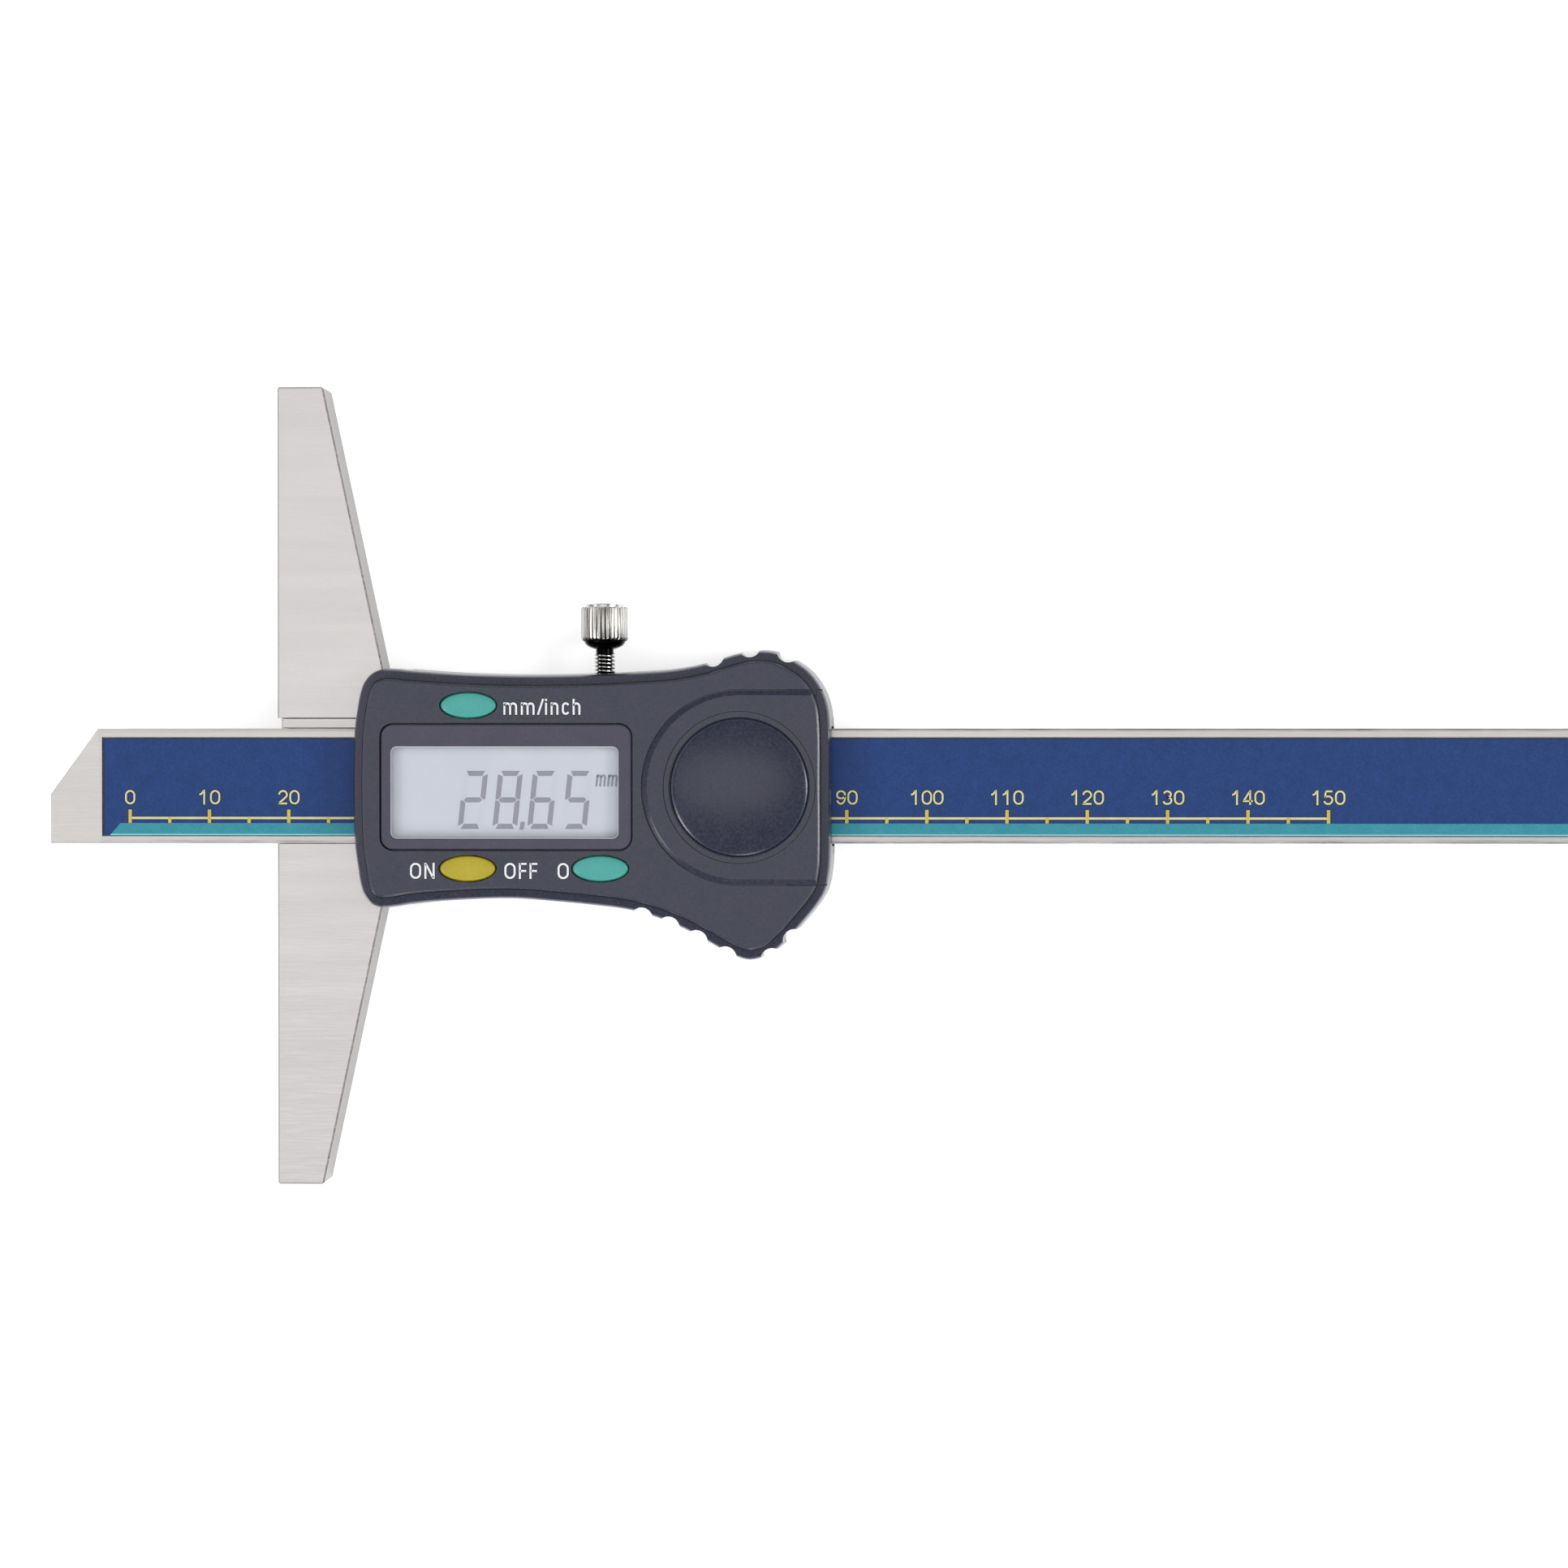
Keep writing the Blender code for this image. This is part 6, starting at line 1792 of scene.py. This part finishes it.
@dataclass(frozen=True)
class Keys:
    """The three oval buttons."""

    length: float = 0.00686
    width: float = 0.00309
    clearance: float = 0.00022
    lip: float = 0.00045
    lip_back: float = 0.0071
    lip_front: float = 0.0079
    crown: Pairs = (
        (0.00922, 0.0), (0.00936, 0.00004), (0.00945, 0.00012), (0.00951, 0.00026),
        (0.00957, 0.00055), (0.00962, 0.00095), (0.00965, 0.00140),
    )
    stem_radius: float = 0.0010
    stem_end: float = 0.00702
    sharp_turn: float = 35.0
    places: tuple[tuple[str, str, Pair], ...] = (
        ("units", "units_key", (0.024535, 0.010075)),
        ("power", "power_key", (0.024429, -0.010175)),
        ("zero", "zero_key", (0.040925, -0.010175)),
    )

    def half(self, growth: float) -> Pair:
        """Half a button's length and width, grown on all sides."""
        return self.length / 2 + growth, self.width / 2 + growth

    def cut_holes(self, shell: Piece) -> None:
        """Cuts the buttons' holes.

        Args:
            shell: the front housing.
        """
        for name, _, place in self.places:
            plan = oval(place, self.half(self.clearance))
            work(shell, raise_plate(f"{name}_hole", plan, LEVELS.ceiling - HAIR, 2 * PAST))

    def build(self) -> None:
        """Builds the buttons."""
        for name, body, place in self.places:
            button = raise_oval(f"key_{name}", place, self.half(0.0), self.lip_front, self.crown)
            steps = ((self.lip_front + THIN, 0.0),)
            lip = raise_oval("lip", place, self.half(self.lip), self.lip_back, steps)
            work(button, lip, Joining.ADD)
            stem = post("stem", place, self.stem_end, self.lip_back + BITE, self.stem_radius)
            work(button, stem, Joining.ADD)
            finish = YELLOW_BUTTON if name == "power" else TEAL_BUTTON
            complete(button, finish, body, [f"button_{name}"], self.sharp_turn)


@dataclass(frozen=True)
class Lettering:
    """The words on the housing's face."""

    thickness: float = 0.000016
    edge_share: float = 0.6
    sink: float = 0.000004
    halo: float = 0.00007
    lines: tuple[Writing, ...] = (
        Writing("mm/inch", 0.02890, 0.00891, 0.00197, 0.00025),
        Writing("ON", 0.01727, -0.01145, 0.00199, 0.00025),
        Writing("OFF", 0.02902, -0.01145, 0.00199, 0.00025),
        Writing("O", 0.03562, -0.01147, 0.00200, 0.00025),
    )

    def build(self) -> None:
        """Prints each line, with a dark edge round its letters."""
        low = LEVELS.face - self.sink
        for name, halo, share, finish in (
            ("housing_letter_edges", self.halo, self.edge_share, LETTER_SHADE),
            ("housing_letters", 0.0, 1.0, LETTER_WHITE),
        ):
            high = LEVELS.face + self.thickness * share
            words = [line.build(name, low, high, halo) for line in self.lines]
            complete(join(words, name), finish, "slider", weighted=False)


@dataclass(frozen=True)
class LockScrew:
    """The knurled lock screw, which stands on Y. Its heights are measured from the gauge's middle."""

    turned_steps: int = 72
    flutes: int = 32
    flute_steps: int = 12
    flute_depth: float = 0.00024
    flute_share: float = 0.42
    flute_bend: float = 0.7
    land_drop: float = 0.006
    radius: float = 0.0030
    top: float = 0.02295
    head_top: float = 0.02243
    head_end: float = 0.01816
    cone_end: float = 0.01716
    neck_end: float = 0.01666
    tip: float = 0.00975
    head_foot: Pairs = ((0.935, 0.00010), (0.975, 0.00026), (1.0, 0.00050))
    head_rim: Pairs = ((1.0, 0.00022), (0.985, 0.00010), (0.95, 0.0))
    cap_radius: float = 0.0024
    cap_rim: Pairs = (
        (0.0, 0.00024), (0.00008, 0.00014), (0.0003, 0.00008), (0.00096, 0.00003), (0.0020, 0.0),
    )
    cone: Pairs = (
        (0.0011, 0.0), (0.0013, 0.00003), (0.0018, 0.00020), (0.0022, 0.00042), (0.00245, 0.00068),
        (0.00256, 0.00092),
    )
    cone_top: float = 0.0026
    cone_core: float = 0.0010
    thread_radius: float = 0.00128
    thread_depth: float = 0.00040
    thread_steps: int = 48
    thread_rows: int = 12
    crest: float = 0.34
    slope: float = 0.46
    pitch: float = 0.00047
    rim: float = 0.0003
    land_play: float = 0.00004
    sharp_turn: float = 28.0
    # Painted shade: how dark the thread's root, the cone and the plain parts are painted, and its gain.
    thread_mark: float = 0.25
    cone_mark: float = 0.85
    plain_mark: float = 0.1
    mark_gain: float = 1.5

    def build(self) -> None:
        """Builds the screw with its head, cap, cone, neck and thread."""
        head = self.build_head()
        work(head, self.build_cap(), Joining.ADD)
        work(head, self.build_cone(), Joining.ADD)
        work(head, self.build_thread(), Joining.ADD)
        call(head, "lock_knob")
        self.mark_hollows(head)
        stand(head, (LEVELS.lock_x, 0, LEVELS.bar_middle), (0, 1, 0))
        complete(head, DARK_NICKEL, "lock_knob", ["lock_screw"], self.sharp_turn, weighted=False)

    def mark_hollows(self, screw: Piece) -> None:
        """Paints shade into the flutes, the cone and the thread's root, more where the flutes and the thread
        lie deeper.

        Args:
            screw: the screw, still on Z.
        """
        marks = screw.data.attributes.new(HOLLOW_SHADE_ATTRIBUTE, "FLOAT", "POINT")
        for vert, mark in zip(screw.data.vertices, marks.data):
            radius, height = vert.co.xy.length, vert.co.z
            if height < self.neck_end:
                depth = self.thread_mark + (self.thread_radius - radius) / self.thread_depth
            elif height < self.cone_end:
                depth = self.plain_mark
            elif height < self.head_end + BITE:
                depth = self.cone_mark
            elif height < self.head_top - self.rim:
                depth = (self.radius - self.land_play - radius) / self.flute_depth
            else:
                depth = self.plain_mark
            mark.value = min(1.0, max(0.0, depth * self.mark_gain))

    def flute(self, angle: float) -> float:
        """The head's radius at an angle, as a share: broad rounded lands between narrow flutes.

        Args:
            angle: where on the head, in radians.

        Returns:
            The share of the radius.
        """
        place = abs((angle / math.tau * self.flutes) % 1.0 - 0.5) * 2
        groove = max(0.0, 1 - place / self.flute_share) ** self.flute_bend
        land = self.land_drop
        if place > self.flute_share:
            land *= ((1 - place) / (1 - self.flute_share)) ** 2
        return 1 - land - groove * self.flute_depth / self.radius

    def build_head(self) -> Piece:
        """The fluted head, rounded at both ends.

        Returns:
            The head, on Z.
        """
        profile = [(self.cone_top, self.head_end - 2 * THIN)]
        profile += [(self.radius * share, self.head_end + rise) for share, rise in self.head_foot]
        profile += [(self.radius * share, self.head_top - drop) for share, drop in self.head_rim]
        return turn_profile("head", profile, self.flutes * self.flute_steps, self.flute)

    def build_cap(self) -> Piece:
        """The plain cap on the head.

        Returns:
            The cap, on Z.
        """
        profile = [(self.cap_radius, self.head_top - BITE)]
        profile += [(self.cap_radius - inset, self.top - drop) for inset, drop in self.cap_rim]
        return turn_profile("cap", profile, self.turned_steps)

    def build_cone(self) -> Piece:
        """The rounded cone between the head and the neck.

        Returns:
            The cone, on Z.
        """
        profile = [(self.cone[0][0], self.neck_end - BITE)]
        profile += [(radius, self.cone_end + rise) for radius, rise in self.cone]
        profile += [(self.cone_top - THIN, self.head_end + PLAY), (self.cone_core, self.head_end + BITE)]
        return turn_profile("cone", profile, self.turned_steps)

    def build_thread(self) -> Piece:
        """The helical thread, from its tip to the neck.

        Returns:
            The thread, on Z.
        """
        step = self.pitch / self.thread_rows
        count = int((self.neck_end - self.tip) / step)
        profile = [(self.thread_radius, self.tip + step * row) for row in range(count + 1)]
        thread = turn_profile("thread", profile, self.thread_steps)
        for vert in thread.data.vertices:
            turn = math.atan2(vert.co.y, vert.co.x) / math.tau
            phase = (vert.co.z / self.pitch + turn) % 1.0
            depth = self.thread_depth * min(1.0, max(0.0, (abs(2 * phase - 1) - self.crest) / self.slope))
            share = 1 - depth / self.thread_radius
            vert.co.x *= share
            vert.co.y *= share
        return thread


@dataclass(frozen=True)
class BackShell:
    """The back half of the housing with its four screws."""

    form: HousingForm
    left: float = 0.0168
    wall: float = 0.0013
    plate_front: float = -0.0030
    top: float = -0.0005
    edge_round: float = 0.0006
    neck_start: float = 0.0044
    neck_round: float = 0.0003
    notch_half: float = 0.0086
    seat: Pairs = ((0.0020, 0.002), (0.0020, 0.0), (0.0011, -0.0009), (0.0011, -0.004))
    screw: Pairs = (
        (0.0018, -0.00005), (0.0019, -0.00012), (0.0010, -0.00095), (0.0010, -0.0108), (0.0007, -0.0110)
    )
    screw_steps: int = 40
    recess_reach: float = 0.00095
    recess_half: float = 0.00022
    recess_floor: float = -0.0007

    def build(self) -> None:
        """Builds the shell and its screws."""
        form = self.form
        shell = raise_plate("back_shell", form.inside(0.0), LEVELS.back, self.top - LEVELS.back)
        bevel_where(shell, past(2, LEVELS.back, -1), self.edge_round, segments=2)
        side = form.reach + PAST
        work(shell, block("left_side", (0.0, -side, LEVELS.back - PAST), (self.left, side, PAST)))
        work(shell, raise_plate("inside", form.inside(self.wall), self.plate_front, 3 * PAST))
        half = LEVELS.frame_half
        end = (self.left + PAST, half, self.plate_front - HAIR)
        neck = block("neck", (self.neck_start, -half, LEVELS.back), end)
        bevel_where(neck, past(0, self.neck_start, -1), self.neck_round, segments=2)
        work(shell, neck, Joining.ADD)
        end = (LEVELS.housing_end + PAST, self.notch_half, LEVELS.front)
        work(shell, block("bar_notch", (LEVELS.frame_end, -self.notch_half, self.plate_front), end))
        form.cut_notches(shell)
        for place in form.screws:
            seat = turn_profile("seat", self.seat, self.screw_steps)
            work(shell, stand(seat, (*place, LEVELS.back), (0, 0, -1)))
        complete(shell, HOUSING_PLASTIC, "slider", ["back_cover"], MOULDED_TURN)
        self.build_screws()

    def build_screws(self) -> None:
        """Builds one countersunk screw with a cross recess, and copies it to the other places."""
        screw = turn_profile("case_screw", self.screw, self.screw_steps)
        for x, y in ((self.recess_reach, self.recess_half), (self.recess_half, self.recess_reach)):
            work(screw, block("recess", (-x, -y, self.recess_floor), (x, y, PAST)))
        first = self.form.screws[0]
        stand(screw, (*first, LEVELS.back), (0, 0, -1))
        for number, (x, y) in enumerate(self.form.screws, 1):
            copy = screw if number == 1 else twin(screw, "copy", (x - first[0], y - first[1], 0))
            call(copy, f"cover_screw_{number}")
            complete(copy, SCREW_STEEL, "slider", [f"case_screw_{number}"])


# The studio


@dataclass(frozen=True)
class Studio:
    """Camera, lamps, world and floor. Angles are in degrees, and levels go from an axis outwards."""

    camera_place: Place = (0.0803481, 0.0071088, 0.550)
    camera_target: Place = (0.0635443, 0.0002666, 0.004)
    lens: float = 100.35
    sensor: float = 36.0
    clip: Pair = (0.01, 20.0)
    floor_size: float = 6.0
    floor_tone: float = 0.86
    floor_roughness: float = 0.9
    floor_lift: float = 0.52
    overhead_axis: Place = (-0.113, 0.030, 0.993)
    overhead_stretch: float = 0.55
    overhead_angles: Pair = (9.0, 16.0)
    overhead_levels: Pair = (1.26, 0.24)
    soft_angles: Pair = (20.0, 54.0)
    soft_levels: Pair = (1.24, 0.17)
    low_band: float = 1.9
    low_band_middle: float = 0.35
    low_band_ends: Pair = (44.0, 64.0)
    low_band_start: Pair = (46.0, 52.0)
    low_band_end: Pair = (61.0, 69.0)
    lamp_size: float = 0.24
    lamp_target: Place = (0.05, 0, 0)
    lamps: tuple[tuple[str, Place, float], ...] = (
        ("right_lamp", (0.68, 0.02, 0.54), 1.8),
        ("left_lamp", (-0.50, -0.34, 0.54), 1.8),
        ("near_lamp", (0.10, -0.66, 0.54), 0.8),
    )

    def build(self) -> None:
        """Builds all of it."""
        self.build_camera()
        self.build_floor()
        self.build_world()
        self.build_lamps()
        bpy.context.scene.view_settings.view_transform = "Standard"

    def build_camera(self) -> None:
        """Aims the camera, with the photograph's up along +Y."""
        data = bpy.data.cameras.new("camera")
        data.lens = self.lens
        data.sensor_width = self.sensor
        data.clip_start, data.clip_end = self.clip
        camera = bpy.data.objects.new("camera", data)
        bpy.context.scene.collection.objects.link(camera)
        back = (Vector(self.camera_place) - Vector(self.camera_target)).normalized()
        right = Vector((0, 1, 0)).cross(back).normalized()
        up = back.cross(right)
        axes = Matrix((right, up, back)).transposed().to_4x4()
        camera.matrix_world = Matrix.Translation(self.camera_place) @ axes
        bpy.context.scene.camera = camera

    def build_floor(self) -> None:
        """A floor that shows as white, takes the shadow and can be seen through from below."""
        bpy.ops.object.select_all(action="DESELECT")
        place = (0, 0, LEVELS.back - 2 * THIN)
        bpy.ops.mesh.primitive_plane_add(size=self.floor_size, location=place)
        floor = bpy.context.object
        floor.name = "floor"
        made = bpy.data.materials.new("floor_white")
        made.use_nodes = True
        tree = made.node_tree
        seen = self.either(tree, "Camera", "Glossy", "Transmission")
        behind = add_node(tree, "ShaderNodeNewGeometry").outputs["Backfacing"]
        looks = {
            "Base Color": (self.floor_tone, self.floor_tone, self.floor_tone, 1.0),
            "Roughness": self.floor_roughness,
            "Specular IOR Level": 0.0,
            "Emission Color": WHITE,
            "Emission Strength": reckon(tree, "MULTIPLY", seen, self.floor_lift),
            "Alpha": reckon(tree, "SUBTRACT", 1.0, behind),
        }
        feed(tree.nodes["Principled BSDF"], looks)
        floor.data.materials.append(made)
        floor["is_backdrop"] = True

    def either(self, tree: Tree, *rays: str) -> Socket:
        """A socket that is 1 for each of several kinds of ray.

        Args:
            tree: the nodes to add to.
            rays: the kinds, by the Light Path node's words.

        Returns:
            The joined socket.
        """
        kinds = add_node(tree, "ShaderNodeLightPath").outputs
        seen = kinds[f"Is {rays[0]} Ray"]
        for ray in rays[1:]:
            seen = reckon(tree, "MAXIMUM", seen, kinds[f"Is {ray} Ray"])
        return seen

    def field(self, tree: Tree, nearness: Socket, angles: Pair, levels: Pair) -> Socket:
        """A level of light that changes smoothly between two angles from an axis.

        Args:
            tree: the nodes to add to.
            nearness: the cosine of the angle from the axis.
            angles: where the change starts and ends, in degrees.
            levels: the level inside the first angle and beyond the second.

        Returns:
            The level's socket.
        """
        near, far = (math.cos(math.radians(angle)) for angle in angles)
        feeds = {"Value": nearness, "From Min": far, "From Max": near}
        feeds |= {"To Min": levels[1], "To Max": levels[0]}
        return add_node(tree, "ShaderNodeMapRange", feeds, interpolation_type="SMOOTHSTEP").outputs[0]

    def build_world(self) -> None:
        """A dim surround with a bright field overhead and a low band, that the camera sees as white."""
        world = bpy.data.worlds.new("surround")
        world.use_nodes = True
        tree = world.node_tree
        facing = add_node(tree, "ShaderNodeTexCoord").outputs["Generated"]
        squeeze = Vector((self.overhead_stretch, 1, 1))
        feeds = {0: facing, 1: squeeze}
        drawn = add_node(tree, "ShaderNodeVectorMath", feeds, operation="MULTIPLY").outputs[0]
        unit = add_node(tree, "ShaderNodeVectorMath", {0: drawn}, operation="NORMALIZE").outputs[0]
        near = agreement(tree, unit, (Vector(self.overhead_axis) * squeeze).normalized())
        soft = self.field(tree, near, self.soft_angles, self.soft_levels)
        bright = self.field(tree, near, self.overhead_angles, self.overhead_levels)
        split = add_node(tree, "ShaderNodeSeparateXYZ", {0: facing}).outputs
        inner = self.field(tree, split["Z"], self.low_band_start, (0.0, 1.0))
        outer = self.field(tree, split["Z"], self.low_band_end, (self.low_band, 0.0))
        aside = reckon(tree, "ABSOLUTE", split["X"])
        ends = self.field(tree, aside, self.low_band_ends, (1.0, self.low_band_middle))
        ring = reckon(tree, "MULTIPLY", inner, outer)
        band = reckon(tree, "MULTIPLY_ADD", ring, ends, bright)
        light = {"Factor": self.either(tree, "Glossy"), "A": soft, "B": band}
        level = add_node(tree, "ShaderNodeMix", light).outputs["Result"]
        shown = {"Factor": self.either(tree, "Camera", "Transmission"), "A": level, "B": 1.0}
        strength = add_node(tree, "ShaderNodeMix", shown).outputs["Result"]
        feed(tree.nodes["Background"], {"Color": WHITE, "Strength": strength})
        bpy.context.scene.world = world

    def build_lamps(self) -> None:
        """Three soft lamps, low on the right, on the left and on the near side."""
        for name, place, power in self.lamps:
            data = bpy.data.lights.new(name, "AREA")
            data.shape = "DISK"
            data.size = self.lamp_size
            data.energy = power
            lamp = bpy.data.objects.new(name, data)
            bpy.context.scene.collection.objects.link(lamp)
            lamp.location = place
            lamp.rotation_mode = "QUATERNION"
            lamp.rotation_quaternion = (Vector(self.lamp_target) - Vector(place)).to_track_quat("-Z", "Y")


def dress_cad_nodes() -> None:
    """Gives the inner CAD nodes, which keep their own shape, a better material."""
    for name, finish in CAD_FINISHES.items():
        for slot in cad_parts[name].material_slots:
            slot.material = finish.material()


def corners(bounds: tuple[Vector, Vector]) -> list[list[float]]:
    """A box's two corners as plain lists."""
    return [[round(value, 6) for value in corner] for corner in bounds]


def main() -> None:
    """Builds the gauge and its studio."""
    logging.basicConfig(level=logging.INFO, format="%(message)s")
    form = HousingForm()
    cover = CellCover(form)
    display = DisplayUnit()
    keys = Keys()
    Studio().build()
    dress_cad_nodes()
    Bridge().build()
    Bar().build()
    ScaleFilm().build()
    FrontHousing(form).build(cover, display, keys)
    cover.build()
    display.build()
    keys.build()
    Lettering().build()
    LockScrew().build()
    BackShell(form).build()
    {"cad": corners(CAD_BOX), "visual": corners(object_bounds())}


if __name__ == "__main__":
    main()
